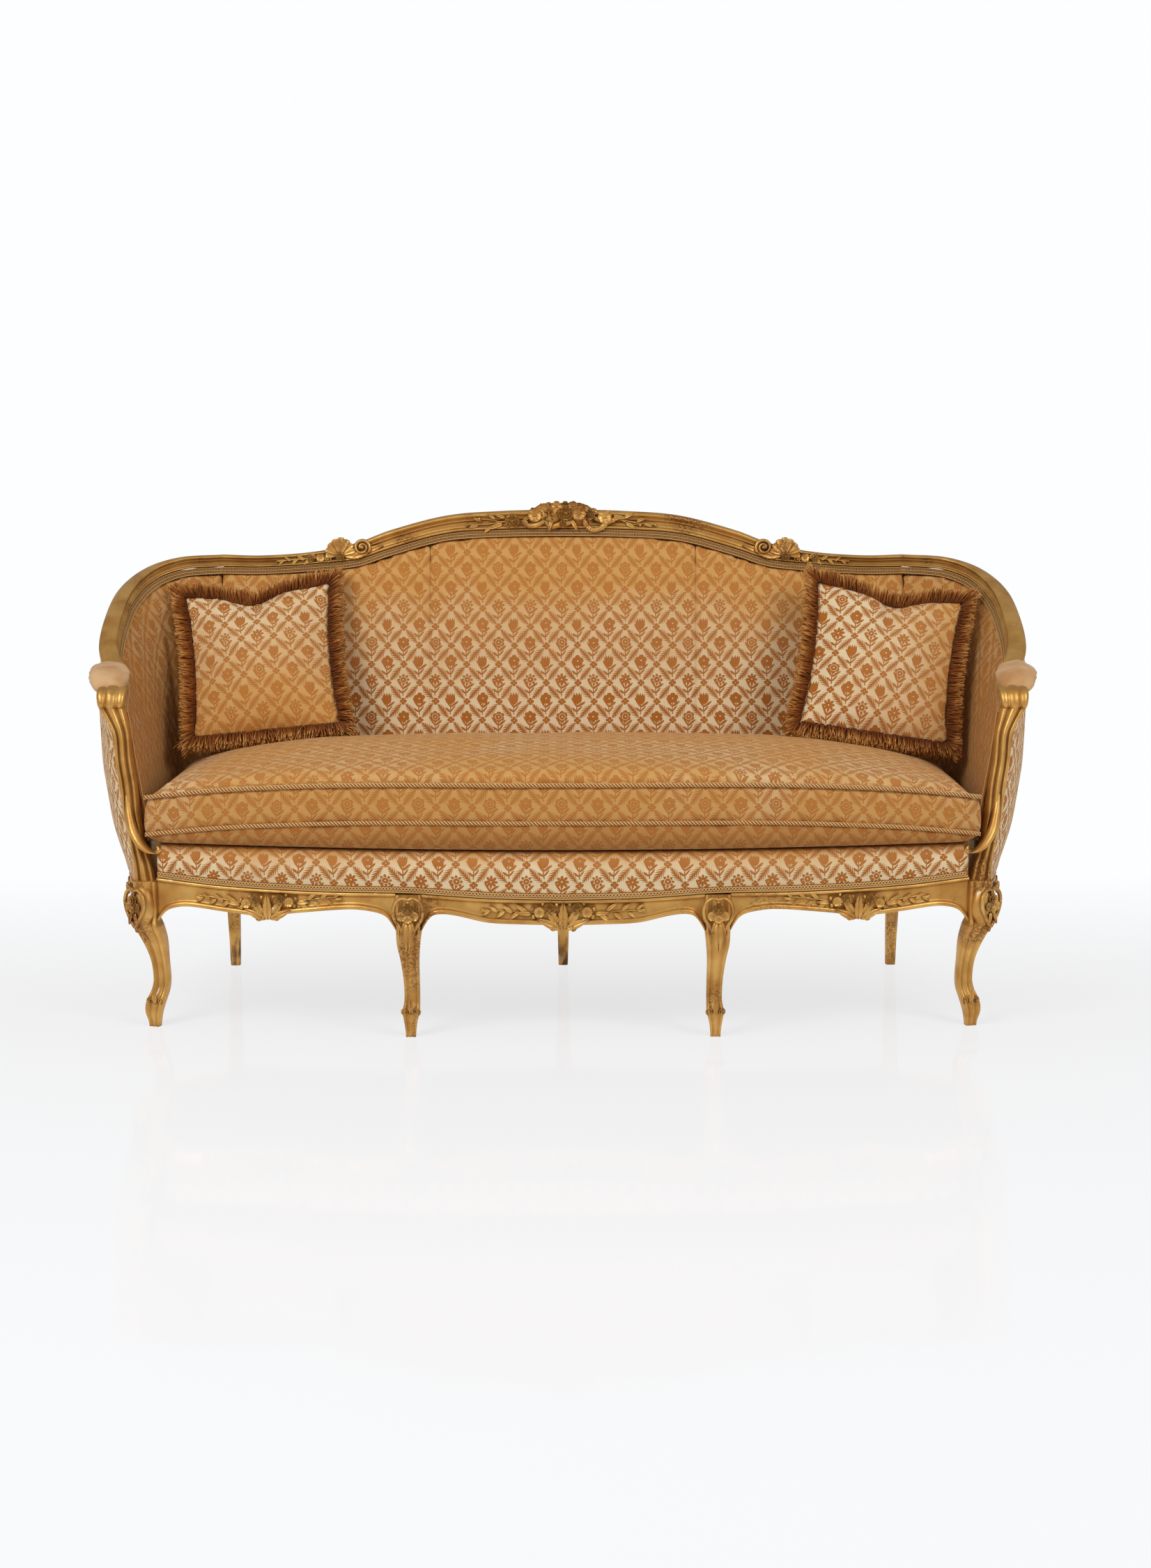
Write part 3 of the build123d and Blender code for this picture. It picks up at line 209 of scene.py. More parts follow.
class Recipe:
    """The node tree of one finish."""

    def __init__(self, name: str, world: Optional[bpy.types.World] = None) -> None:
        """Start an empty tree.

        Args:
            name: the name of the material.
            world: the world that takes the tree in place of a new material.
        """
        self.material = bpy.data.materials.new(name) if world is None else world
        self.material.use_nodes = True
        self.tree = self.material.node_tree
        self.tree.nodes.clear()

    def node(self, kind: str, settings: Optional[dict[str, Any]] = None,
             sockets: Optional[dict[Any, Any]] = None) -> bpy.types.Node:
        """Add one node.

        Args:
            kind: the node's type.
            settings: its settings, set first; "stops" are the stops of a colour ramp.
            sockets: a value or a Signal for each input socket.

        Returns:
            The node.
        """
        node = self.tree.nodes.new(kind)
        for key, value in (settings or {}).items():
            if key == "stops":
                ramp = node.color_ramp
                while len(ramp.elements) < len(value):
                    ramp.elements.new(0.5)
                for element, (place, colour) in zip(ramp.elements, value):
                    element.position = place
                    element.color = colour
            else:
                setattr(node, key, value)
        for key, value in (sockets or {}).items():
            if isinstance(value, Signal):
                self.tree.links.new(value.socket, node.inputs[key])
            else:
                node.inputs[key].default_value = value
        return node

    def signal(self, kind: str, settings: Optional[dict[str, Any]] = None,
               sockets: Optional[dict[Any, Any]] = None, output: Union[int, str] = 0) -> Signal:
        """Add one node and take one of its outputs.

        Args:
            kind: the node's type.
            settings: its settings.
            sockets: a value or a Signal for each input socket.
            output: the output that is wanted.

        Returns:
            That output.
        """
        return Signal(self, self.node(kind, settings, sockets).outputs[output])

    def mixed(self, share: Number, first: Any, second: Any, mode: str = "MIX") -> Signal:
        """Mix two colours.

        Args:
            share: how much of the second colour there is.
            first: the first colour.
            second: the second colour.
            mode: the way of mixing.

        Returns:
            The mixed colour.
        """
        settings = {"data_type": "RGBA", "blend_type": mode}
        return self.signal("ShaderNodeMix", settings, {0: share, 6: first, 7: second}, 2)

    def place(self) -> Signal:
        """Place on the object, in metres."""
        return self.signal("ShaderNodeTexCoord", output="Object")

    def attribute(self, name: str) -> Signal:
        """One of the piece's own attributes.

        Args:
            name: the attribute's name.

        Returns:
            Its value.
        """
        return self.signal("ShaderNodeAttribute", {"attribute_name": name}, None, "Fac")

    def hollow(self, distance: float) -> Signal:
        """How open a place is, from 0 in a hollow to 1.

        Args:
            distance: how far away other faces still count, in metres.

        Returns:
            The openness.
        """
        return self.signal("ShaderNodeAmbientOcclusion", {"samples": 6}, {"Distance": distance}, "AO")

    def grain(self, scale: float, detail: float = 3.0, where: Optional[Signal] = None,
              stretch: Optional[Point] = None) -> Signal:
        """Cloudy noise from 0 to 1.

        Args:
            scale: how many clouds a metre.
            detail: how many finer layers it has.
            where: the place that it reads; the object's own if left out.
            stretch: a scale for each axis.

        Returns:
            The noise.
        """
        vector = self.place() if where is None else where
        if stretch is not None:
            vector = self.signal("ShaderNodeVectorMath", {"operation": "MULTIPLY"}, {0: vector, 1: stretch})
        return self.signal("ShaderNodeTexNoise", None, {"Vector": vector, "Scale": scale, "Detail": detail})

    def raised(self, height: Signal, distance: float, strength: float = 1.0) -> Signal:
        """Surface normal over a height.

        Args:
            height: the height, from 0 to 1.
            distance: what a height of 1 stands for, in metres.
            strength: how strongly it shows.

        Returns:
            The normal.
        """
        return self.signal("ShaderNodeBump", None,
                           {"Height": height, "Distance": distance, "Strength": strength})

    def coated(self, **sockets: Any) -> bpy.types.Material:
        """Close the recipe with its shader.

        Args:
            sockets: values of the shader, with underscores for the spaces in their names.

        Returns:
            The finished material.
        """
        values = {name.replace("_", " "): value for name, value in sockets.items()}
        shader = self.signal("ShaderNodeBsdfPrincipled", None, values)
        self.node("ShaderNodeOutputMaterial", None, {"Surface": shader})
        return self.material


# ---------------------------------------------------------------- finishes
class Finish:
    """A finish that is mixed once and then shared."""

    made: dict[str, bpy.types.Material] = {}

    def material(self) -> bpy.types.Material:
        """The finish's material, mixed on first use."""
        name = type(self).__name__
        if name not in Finish.made:
            Finish.made[name] = self.mix(Recipe(name))
        return Finish.made[name]

    def mix(self, recipe: Recipe) -> bpy.types.Material:
        """Fill the recipe; each finish has its own way."""
        raise NotImplementedError


@dataclass(frozen=True)
class WornGilding(Finish):
    """Old water gilding: bright on the high places, brown in the hollows from dirt and painted shade, red
    clay where it is rubbed.
    """

    leaf: tuple = dye(218, 170, 94)
    deep_leaf: tuple = dye(190, 136, 66)
    clay: tuple = dye(116, 62, 34)
    dirt: tuple = dye(74, 46, 20)
    chalk: tuple = dye(226, 212, 188)

    def mix(self, recipe: Recipe) -> bpy.types.Material:
        """Mix leaf, clay and chalk chips, with dirt and painted shade in the hollows."""
        edge = recipe.signal("ShaderNodeNewGeometry", output="Pointiness")
        hollow = recipe.hollow(0.007)
        cloud = recipe.grain(22.0, 5.0)
        fine = recipe.grain(240.0, 4.0)
        streak = recipe.grain(60.0, 4.0, stretch=(1.0, 1.0, 0.35))
        colour = recipe.mixed(cloud.rise(0.35, 0.68), self.leaf, self.deep_leaf)
        rubbed = edge.rise(0.53, 0.60) * streak.rise(0.50, 0.62)
        patch = recipe.grain(9.0, 6.0).rise(0.54, 0.64) * fine.rise(0.42, 0.6)
        colour = recipe.mixed(rubbed.most(patch * 0.75), colour, self.clay)
        # painted shade: hollows found by ambient occlusion and inside corners found by pointiness are
        # darkened towards the dirt colour, partly dirt and partly painted shade
        shade = (1.0 - hollow.rise(0.1, 0.85)).most(1.0 - edge.rise(0.40, 0.495))
        colour = recipe.mixed(shade * 0.70, colour, self.dirt)
        chips = recipe.grain(34.0, 2.0).rise(0.735, 0.75) * edge.rise(0.50, 0.54)
        colour = recipe.mixed(chips, colour, self.chalk)
        metal = 0.82 - 0.75 * rubbed.most(chips).most(shade * 0.7)
        rough = 0.30 + 0.25 * cloud + 0.25 * shade
        height = fine * 0.35 + streak * 0.65
        return recipe.coated(Base_Color=colour, Metallic=metal, Roughness=rough,
                             Normal=recipe.raised(height, 0.0012, 0.6))


@dataclass(frozen=True)
class FiguredVelvet(Finish):
    """Cut velvet: a lattice of ferns with a flower in each diamond, on an amber satin ground with a painted
    pale cream sheen.
    """

    pile: tuple = dye(172, 99, 32)
    pile_light: tuple = dye(188, 118, 48)
    ground_cream: tuple = dye(236, 212, 170)
    ground_amber: tuple = dye(216, 162, 92)
    root: tuple = dye(120, 74, 30)
    shaded_pile: tuple = dye(132, 72, 20)
    wide: float = 0.070
    tall: float = 0.083

    def mix(self, recipe: Recipe) -> bpy.types.Material:
        """Draw the figure on the cloth map and colour it, with painted sheen on the ground and painted shade
        where a piece asks for it.
        """
        cloth = recipe.signal("ShaderNodeUVMap", {"uv_map": "cloth"})
        wobble = recipe.signal("ShaderNodeTexNoise", {"noise_dimensions": "2D"},
                               {"Vector": cloth, "Scale": 26.0, "Detail": 1.0}, "Color")
        bent = recipe.signal("ShaderNodeVectorMath", {"operation": "MULTIPLY_ADD"},
                             {0: wobble, 1: (0.005, 0.005, 0.0), 2: cloth})
        split = recipe.node("ShaderNodeSeparateXYZ", None, {0: bent})
        across = Signal(recipe, split.outputs[0]) / self.wide
        along = Signal(recipe, split.outputs[1]) / self.tall
        figure = self.figure(across + along, across - along)
        # painted sheen: where the piece's sheen mark is low the ground is painted pale cream; where it is
        # high the pile is painted lighter and the figure fades into the ground; crushed-pile noise is mixed
        # in
        nap = recipe.attribute("nap")
        cloud = recipe.grain(7.0, 3.0)
        fibre = recipe.grain(1400.0, 2.0)
        brushed = recipe.grain(26.0, 4.0)
        sheen_fade_and_crush = (nap + (cloud - 0.5) * 0.7 + (brushed - 0.5) * 0.35).rise(0.1, 0.9)
        ground = recipe.mixed(sheen_fade_and_crush, self.ground_cream, self.ground_amber)
        pile = recipe.mixed((sheen_fade_and_crush * 0.6 + brushed * 0.4), self.pile, self.pile_light)
        soft = figure * (1.0 - sheen_fade_and_crush * 0.18)
        colour = recipe.mixed(soft, ground, pile)
        colour = recipe.mixed(fibre.rise(0.35, 0.75) * 0.18, colour, self.root)
        # painted shade: the piece's deep mark darkens the cloth towards the shaded pile colour where shade
        # falls on it
        deep = recipe.attribute("deep")
        colour = recipe.mixed(deep * (0.42 + 0.3 * brushed), colour, self.shaded_pile)
        weave = recipe.signal("ShaderNodeTexWave", {"wave_type": "BANDS", "bands_direction": "X"},
                              {"Vector": cloth, "Scale": 260.0, "Distortion": 1.0})
        height = figure * 0.8 + fibre * 0.2 + weave * (1.0 - figure) * 0.12
        return recipe.coated(Base_Color=colour, Roughness=0.62 + 0.25 * figure, Sheen_Weight=0.22,
                             Sheen_Roughness=0.45, Sheen_Tint=(1.0, 0.78, 0.50, 1.0), Specular_IOR_Level=0.2,
                             Normal=recipe.raised(height, 0.0016, 0.8))

    def figure(self, rising: Signal, falling: Signal) -> Signal:
        """The figure as 1 on pile and 0 on ground.

        Args:
            rising: the lattice's first coordinate, whole on its falling lines.
            falling: the lattice's second coordinate, whole on its rising lines.

        Returns:
            The figure's mask.
        """
        diagonal = math.hypot(self.wide, self.tall)
        square_on = self.wide * self.tall / diagonal
        row, column = rising.floor(), falling.floor()
        first, second = rising - row, falling - column
        x = (first + second - 1.0) * (self.wide / 2)
        y = (first - second) * (self.tall / 2)
        half = diagonal / 2
        ferns = self.fern(first, second, square_on, half).most(self.fern(second, first, square_on, half))
        drawn_on = ferns.most(self.crossing(first, second)).most(self.bloom(x, y, row, column))
        return drawn_on.most(self.stalk(x, y))

    def fern(self, over: Signal, run: Signal, square_on: float, length: float) -> Signal:
        """One serrated leaf along each side of every diamond.

        Args:
            over: the coordinate across the side, from 0 to 1.
            run: the coordinate along the side, from 0 to 1.
            square_on: metres for one step across.
            length: length of the side in metres.

        Returns:
            The leaf's mask.
        """
        off = over.least(1.0 - over) * square_on
        envelope = (1.0 - ((run - 0.5) * 2.55) ** 2.0).most(0.0)
        tooth = (run * (length / 0.0066) + off * 190.0).part()
        leaflet = off.below(envelope * (0.0008 + 0.0088 * (1.0 - tooth)))
        return leaflet.maths("MULTIPLY", envelope.rise(0.0, 0.02))

    def crossing(self, first: Signal, second: Signal) -> Signal:
        """The small four-petalled flower where the leaves cross.

        Args:
            first: the lattice's first coordinate in its cell.
            second: the lattice's second coordinate in its cell.

        Returns:
            The flower's mask.
        """
        a = (first + 0.5).part() - 0.5
        b = (second + 0.5).part() - 0.5
        x = (a + b) * (self.wide / 2)
        y = (a - b) * (self.tall / 2)
        reach, lobes = self.polar(x, y, 4.0)
        return reach.below(0.0046 + 0.0034 * lobes) - reach.below(0.0010)

    def polar(self, x: Signal, y: Signal, petals: Number) -> tuple[Signal, Signal]:
        """Distance from the middle, and how near a petal's middle line a place is.

        Args:
            x: place across, in metres.
            y: place along, in metres.
            petals: how many petals there are.

        Returns:
            The distance in metres, and 1 on a petal's middle falling to 0 between petals.
        """
        reach = (x * x + y * y).maths("SQRT")
        turn = x.maths("ARCTAN2", y)
        return reach, abs((turn * petals * 0.5).maths("COSINE"))

    def bloom(self, x: Signal, y: Signal, row: Signal, column: Signal) -> Signal:
        """The large flower of each diamond: tulip, daisy, star or rose by turns.

        Args:
            x: place across the diamond, in metres.
            y: place up the diamond, in metres.
            row: the diamond's row number.
            column: the diamond's column number.

        Returns:
            The flower's mask.
        """
        odd_row = ((row - column) * 0.5).part() * 2.0
        odd = (row * 0.5).part() * 2.0
        upper = ((row - column) * 0.25).part().below(0.5)
        lifted = y - 0.0075
        petals = 5.0 + odd_row + 2.0 * odd_row * upper
        reach, lobes = self.polar(x, lifted, petals)
        deep = 0.0032 + 0.0040 * odd_row * upper
        rosette = reach.below(0.0128 - deep * (1.0 - lobes) ** 1.4) - reach.below(0.0017)
        rings = reach.maths("COMPARE", 0.0068, 0.0006) * odd_row * odd
        crown = 0.0125 - abs(x * 3.2 + 0.006).maths("PINGPONG", 0.0085) * 0.8
        cup = (abs(x + 0.0015) / 0.0098) ** 2.0 + ((lifted + 0.001).least(0.0) / 0.0125) ** 2.0
        tulip = cup.below(1.0) * lifted.below(crown)
        is_tulip = (1.0 - odd_row) * (1.0 - odd)
        return (rosette - rings) * (1.0 - is_tulip) + tulip * is_tulip

    def stalk(self, x: Signal, y: Signal) -> Signal:
        """The stem under each flower and its pair of curled leaves.

        Args:
            x: place across the diamond, in metres.
            y: place up the diamond, in metres.

        Returns:
            The stem's mask.
        """
        curve = x - (y * 90.0).maths("SINE") * 0.0014
        stem = abs(curve).below(0.0011) * (y + 0.016).maths("COMPARE", 0.0, 0.013)
        side = abs(curve)
        lift = y + 0.0125 - side * 1.05 + x * 0.30
        leaf = ((side - 0.0080) / 0.0075) ** 2.0 + (lift / 0.0036) ** 2.0
        low = y + 0.0225 - side * 0.9 - x * 0.2
        small = ((side - 0.0055) / 0.0055) ** 2.0 + (low / 0.0028) ** 2.0
        return stem.most(leaf.below(1.0)).most(small.below(1.0))


@dataclass(frozen=True)
class PlainVelvet(Finish):
    """Rubbed plain velvet of the armrests, pale where the pile lies flat."""

    pile: tuple = dye(190, 136, 80)
    flat: tuple = dye(216, 176, 128)

    def mix(self, recipe: Recipe) -> bpy.types.Material:
        """Mix the pile with its rubbed places."""
        cloud = recipe.grain(16.0, 5.0)
        fibre = recipe.grain(1200.0, 2.0)
        crease = recipe.grain(70.0, 3.0, stretch=(1.0, 0.25, 1.0))
        colour = recipe.mixed(cloud.rise(0.35, 0.65), self.pile, self.flat)
        colour = recipe.mixed(fibre.rise(0.4, 0.8) * 0.2, colour, dye(128, 84, 44))
        height = fibre * 0.4 + crease * 0.6
        return recipe.coated(Base_Color=colour, Roughness=0.8, Sheen_Weight=0.4, Sheen_Roughness=0.4,
                             Sheen_Tint=(1.0, 0.9, 0.76, 1.0), Specular_IOR_Level=0.2,
                             Normal=recipe.raised(height, 0.0012, 0.6))


@dataclass(frozen=True)
class Braid(Finish):
    """Faded braid of golden brown thread over a darker tape."""

    thread: tuple = dye(232, 186, 120)
    faded: tuple = dye(208, 158, 102)
    tape: tuple = dye(158, 104, 50)
    shadow: tuple = dye(96, 58, 26)

    def mix(self, recipe: Recipe) -> bpy.types.Material:
        """Mix bright threads over their dark gaps."""
        thread = recipe.grain(900.0, 3.0)
        cloud = recipe.grain(30.0, 3.0)
        hollow = recipe.hollow(0.004)
        thread_here = recipe.attribute("thread")
        colour = recipe.mixed(cloud.rise(0.3, 0.7) * 0.4, self.thread, self.faded)
        colour = recipe.mixed(1.0 - thread_here, colour, self.tape)
        colour = recipe.mixed((1.0 - hollow.rise(0.3, 0.9)) * 0.9, colour, self.shadow)
        return recipe.coated(Base_Color=colour, Roughness=0.85, Specular_IOR_Level=0.2,
                             Normal=recipe.raised(thread, 0.0005, 0.7))


@dataclass(frozen=True)
class CordThread(Finish):
    """Twisted silk cord along the seams of the cushion."""

    bright: tuple = dye(230, 176, 104)
    dull: tuple = dye(102, 54, 18)

    def mix(self, recipe: Recipe) -> bpy.types.Material:
        """Mix bright plies with painted shade in the grooves between them, and darker thread flecks."""
        ply = recipe.attribute("ply")
        thread = recipe.grain(900.0, 3.0)
        # painted shade: where the ply mark is low, in the grooves between plies, the cord is darkened
        colour = recipe.mixed(ply.rise(0.15, 0.75), self.dull, self.bright)
        colour = recipe.mixed(thread.rise(0.4, 0.8) * 0.25, colour, self.dull)
        return recipe.coated(Base_Color=colour, Roughness=0.6, Sheen_Weight=0.2, Specular_IOR_Level=0.3,
                             Normal=recipe.raised(thread, 0.0004, 0.6))


@dataclass(frozen=True)
class FringeYarn(Finish):
    """Thick brush fringe: dark at the root, gold at the tip."""

    root: tuple = dye(104, 48, 14)
    middle: tuple = dye(160, 94, 36)
    tip: tuple = dye(226, 172, 98)

    def mix(self, recipe: Recipe) -> bpy.types.Material:
        """Mix the yarn along each strand."""
        along = recipe.attribute("tip")
        cloud = recipe.grain(30.0, 2.0)
        shade = (along + (cloud - 0.5) * 0.9).rise(0.0, 1.0)
        stops = [(0.0, self.root), (0.55, self.middle), (1.0, self.tip)]
        colour = recipe.signal("ShaderNodeValToRGB", {"stops": stops}, {0: shade})
        return recipe.coated(Base_Color=colour, Roughness=0.75, Sheen_Weight=0.15,
                             Sheen_Tint=(1.0, 0.7, 0.4, 1.0), Specular_IOR_Level=0.2)


@dataclass(frozen=True)
class BareBeech(Finish):
    """Unfinished beech of the hidden rails."""

    pale: tuple = dye(196, 158, 112)
    dark: tuple = dye(150, 108, 68)

    def mix(self, recipe: Recipe) -> bpy.types.Material:
        """Mix the long grain and its flecks."""
        grain = recipe.grain(18.0, 6.0, stretch=(0.12, 3.0, 3.0))
        fleck = recipe.grain(160.0, 2.0, stretch=(0.2, 1.0, 1.0))
        colour = recipe.mixed(grain.rise(0.35, 0.65), self.pale, self.dark)
        colour = recipe.mixed(fleck.rise(0.58, 0.7) * 0.4, colour, self.dark)
        return recipe.coated(Base_Color=colour, Roughness=0.75, Normal=recipe.raised(grain, 0.0006, 0.5))


@dataclass(frozen=True)
class JuteWebbing(Finish):
    """Coarse woven jute strap."""

    jute: tuple = dye(176, 146, 104)
    gap: tuple = dye(108, 82, 52)

    def mix(self, recipe: Recipe) -> bpy.types.Material:
        """Mix a plain weave."""
        warp = recipe.signal("ShaderNodeTexWave", {"bands_direction": "X"},
                             {"Vector": recipe.place(), "Scale": 120.0})
        weft = recipe.signal("ShaderNodeTexWave", {"bands_direction": "Y"},
                             {"Vector": recipe.place(), "Scale": 120.0})
        weave = warp * 0.5 + weft * 0.5
        colour = recipe.mixed(weave.rise(0.1, 0.6), self.gap, self.jute)
        return recipe.coated(Base_Color=colour, Roughness=0.95, Normal=recipe.raised(weave, 0.0012, 0.7))


@dataclass(frozen=True)
class DeckCloth(Finish):
    """Plain linen over the seat's stuffing."""

    linen: tuple = dye(206, 178, 138)
    slub: tuple = dye(168, 134, 94)

    def mix(self, recipe: Recipe) -> bpy.types.Material:
        """Mix a fine weave with slubs."""
        warp = recipe.grain(500.0, 2.0, stretch=(1.0, 1.0, 0.08))
        weft = recipe.grain(500.0, 2.0, stretch=(0.08, 1.0, 1.0))
        weave = warp * 0.5 + weft * 0.5
        colour = recipe.mixed(weave.rise(0.42, 0.6), self.linen, self.slub)
        return recipe.coated(Base_Color=colour, Roughness=0.9, Normal=recipe.raised(weave, 0.0008, 0.6))


# ---------------------------------------------------------------- the bench
def clear_bench() -> None:
    """Deselect everything, because an operator acts on all that is selected."""
    if bpy.context.object is not None and bpy.context.object.mode != "OBJECT":
        bpy.ops.object.mode_set(mode="OBJECT")
    bpy.ops.object.select_all(action="DESELECT")


def take(piece: Piece) -> Piece:
    """Deselect everything, then select one piece and make it active.

    Args:
        piece: the piece.

    Returns:
        The same piece.
    """
    clear_bench()
    piece.select_set(True)
    bpy.context.view_layer.objects.active = piece
    return piece


def in_scene(name: str, data: bpy.types.ID) -> Piece:
    """Put a new object in the scene.

    Args:
        name: its name.
        data: its mesh, camera or lamp.

    Returns:
        The object.
    """
    thing = bpy.data.objects.new(name, data)
    bpy.context.scene.collection.objects.link(thing)
    return thing


def opened(piece: Piece) -> None:
    """Take the piece to edit mode with all of it selected."""
    take(piece)
    bpy.ops.object.mode_set(mode="EDIT")
    bpy.ops.mesh.select_all(action="SELECT")


def face_outwards() -> None:
    """Turn every face of the piece in edit mode outwards, then leave edit mode."""
    bpy.ops.mesh.select_all(action="SELECT")
    bpy.ops.mesh.normals_make_consistent(inside=False)
    bpy.ops.object.mode_set(mode="OBJECT")


def primitive(kind: str, name: str, **settings: Any) -> Piece:
    """Add a primitive at its size and place and name it.

    Args:
        kind: the primitive's name, such as "circle".
        name: the piece's name.
        settings: what the operator takes.

    Returns:
        The new object, in edit mode with all of it selected.
    """
    clear_bench()
    getattr(bpy.ops.mesh, f"primitive_{kind}_add")(**settings)
    piece = bpy.context.object
    piece.name = name
    piece.data.name = name
    bpy.ops.object.mode_set(mode="EDIT")
    return piece


def modifier(piece: Piece, kind: str, **settings: Any) -> None:
    """Add one modifier with its settings and apply it.

    Args:
        piece: the piece.
        kind: the modifier's type.
        settings: its settings.
    """
    take(piece)
    made = piece.modifiers.new(kind.lower(), kind)
    for key, value in settings.items():
        setattr(made, key, value)
    bpy.ops.object.modifier_apply(modifier=made.name)


def refined(piece: Piece, levels: int = 1) -> Piece:
    """Round the piece off with a subdivision surface."""
    modifier(piece, "SUBSURF", levels=levels, render_levels=levels)
    return piece


def moulded(name: str, rings: Sequence[Sequence[Vector]]) -> Piece:
    """Run a moulding, round it off and then close its ends, which so stay where they are.

    Args:
        name: the piece's name.
        rings: its section at each station.

    Returns:
        The moulding, shaded.
    """
    piece = refined(drawn(name, rings, False))
    opened(piece)
    bpy.ops.mesh.fill_holes(sides=0)
    face_outwards()
    return shaded(piece)


def shaded(piece: Piece, degrees: float = 50.0) -> Piece:
    """Shade the piece smoothly except over its sharp edges."""
    take(piece)
    bpy.ops.object.shade_smooth_by_angle(angle=math.radians(degrees))
    return piece


def set_newest(piece: Piece, ring: Sequence[Vector]) -> None:
    """Put the ring of vertices that was drawn last in its place.

    Args:
        piece: the piece in edit mode, whose vertices carry their number in the ring.
        ring: the places.
    """
    mesh = bmesh.from_edit_mesh(piece.data)
    mesh.verts.ensure_lookup_table()
    number = mesh.verts.layers.int["number"]
    for k in range(len(mesh.verts) - len(ring), len(mesh.verts)):
        vertex = mesh.verts[k]
        vertex.co = ring[vertex[number]]


def drawn(name: str, rings: Sequence[Sequence[Vector]], capped: bool = True) -> Piece:
    """Run a closed ring of edges through the stations of a moulding or a limb.

    Args:
        name: the piece's name.
        rings: the ring's places at each station, all with as many points.
        capped: whether both ends are closed.

    Returns:
        The piece, in object mode.
    """
    count = len(rings[0])
    piece = primitive("circle", name, vertices=count, radius=MM)
    mesh = bmesh.from_edit_mesh(piece.data)
    number = mesh.verts.layers.int.new("number")
    for k, vertex in enumerate(mesh.verts):
        vertex[number] = k
    set_newest(piece, rings[0])
    for ring in rings[1:]:
        bpy.ops.mesh.extrude_edges_indiv()
        set_newest(piece, ring)
    if capped:
        for first in (0, count * (len(rings) - 1)):
            bpy.ops.mesh.select_all(action="DESELECT")
            mesh = bmesh.from_edit_mesh(piece.data)
            mesh.verts.ensure_lookup_table()
            for k in range(first, first + count):
                mesh.verts[k].select_set(True)
            mesh.select_flush_mode()
            bpy.ops.mesh.edge_face_add()
    face_outwards()
    return piece


def joined(name: str, parts: Sequence[Piece]) -> Piece:
    """Join several objects into one piece.

    Args:
        name: the piece's name.
        parts: the objects.

    Returns:
        The piece.
    """
    take(parts[0])
    for part in parts:
        part.select_set(True)
    if len(parts) > 1:
        bpy.ops.object.join()
    parts[0].name = name
    parts[0].data.name = name
    return parts[0]


def placed(template: Piece, name: str, places: Iterable[Matrix]) -> Piece:
    """Copy a template to many places, as one piece with its own mesh.

    Args:
        template: what is repeated.
        name: the piece's name.
        places: where each copy goes.

    Returns:
        The piece. The template stays.
    """
    mesh = bmesh.new()
    for place in places:
        copy = template.data.copy()
        copy.transform(place)
        if place.determinant() < 0:
            copy.flip_normals()
        mesh.from_mesh(copy)
        bpy.data.meshes.remove(copy)
    data = bpy.data.meshes.new(name)
    mesh.to_mesh(data)
    mesh.free()
    piece = in_scene(name, data)
    return piece


def discard(*templates: Piece) -> None:
    """Take templates off the bench once their copies are made."""
    for template in templates:
        bpy.data.objects.remove(template)


def mirrored(piece: Piece, name: str) -> Piece:
    """The twin of a piece on the other side of the sofa.

    Args:
        piece: a left-hand piece.
        name: the twin's name.

    Returns:
        The twin.
    """
    return placed(piece, name, [Matrix.Scale(-1, 4, (1, 0, 0))])


def dressed(piece: Piece, finish: Finish, body: Body = Body.FRAME,
            stands_for: Sequence[str] = ()) -> Piece:
    """Give a finished piece its finish, its body and the nodes that it stands for.

    Args:
        piece: the finished piece.
        finish: its finish.
        body: the body that it rides on.
        stands_for: the CAD nodes that it replaces.

    Returns:
        The piece.
    """
    piece.data.materials.clear()
    piece.data.materials.append(finish.material())
    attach(piece, body.value)
    if stands_for:
        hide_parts(*stands_for)
    log.info("%s: %d faces", piece.name, len(piece.data.polygons))
    return piece


def gild_pair(piece: Piece, twin_name: str, node: str) -> None:
    """Gild a left-hand piece and its twin on the right.

    Args:
        piece: the left-hand piece.
        twin_name: the twin's name.
        node: name of the CAD nodes that they replace, without its side.
    """
    twin = shaded(mirrored(piece, twin_name))
    dressed(piece, WornGilding(), stands_for=[f"{node}_left"])
    dressed(twin, WornGilding(), stands_for=[f"{node}_right"])


def covered(piece: Piece, node: str, body: Body = Body.FRAME, angle: float = CLOTH_ANGLE) -> Piece:
    """Cover a stuffed piece in the figured velvet.

    Args:
        piece: the piece, with its cloth's places and its painted sheen mark.
        node: the CAD node that it replaces.
        body: the body that it rides on.
        angle: edges sharper than this stay sharp.

    Returns:
        The same piece.
    """
    return dressed(shaded(piece, angle), FiguredVelvet(), body, [node])


def points_of(piece: Piece) -> np.ndarray:
    """The piece's vertices as rows of three numbers."""
    flat = np.empty(len(piece.data.vertices) * 3)
    piece.data.vertices.foreach_get("co", flat)
    return flat.reshape(-1, 3)


def normals_of(piece: Piece) -> np.ndarray:
    """The piece's vertex normals as rows of three numbers."""
    flat = np.empty(len(piece.data.vertices) * 3)
    piece.data.vertex_normals.foreach_get("vector", flat)
    return flat.reshape(-1, 3)


def set_points(piece: Piece, points: np.ndarray) -> None:
    """Move the piece's vertices to new places."""
    piece.data.vertices.foreach_set("co", points.astype(np.float32).ravel())
    piece.data.update()


def mark(piece: Piece, name: str, values: np.ndarray) -> Piece:
    """Write a value from 0 to 1 at each vertex, which a finish reads."""
    attribute = piece.data.attributes.new(name, "FLOAT", "POINT")
    attribute.data.foreach_set("value", np.clip(values, 0, 1).astype(np.float32))
    return piece


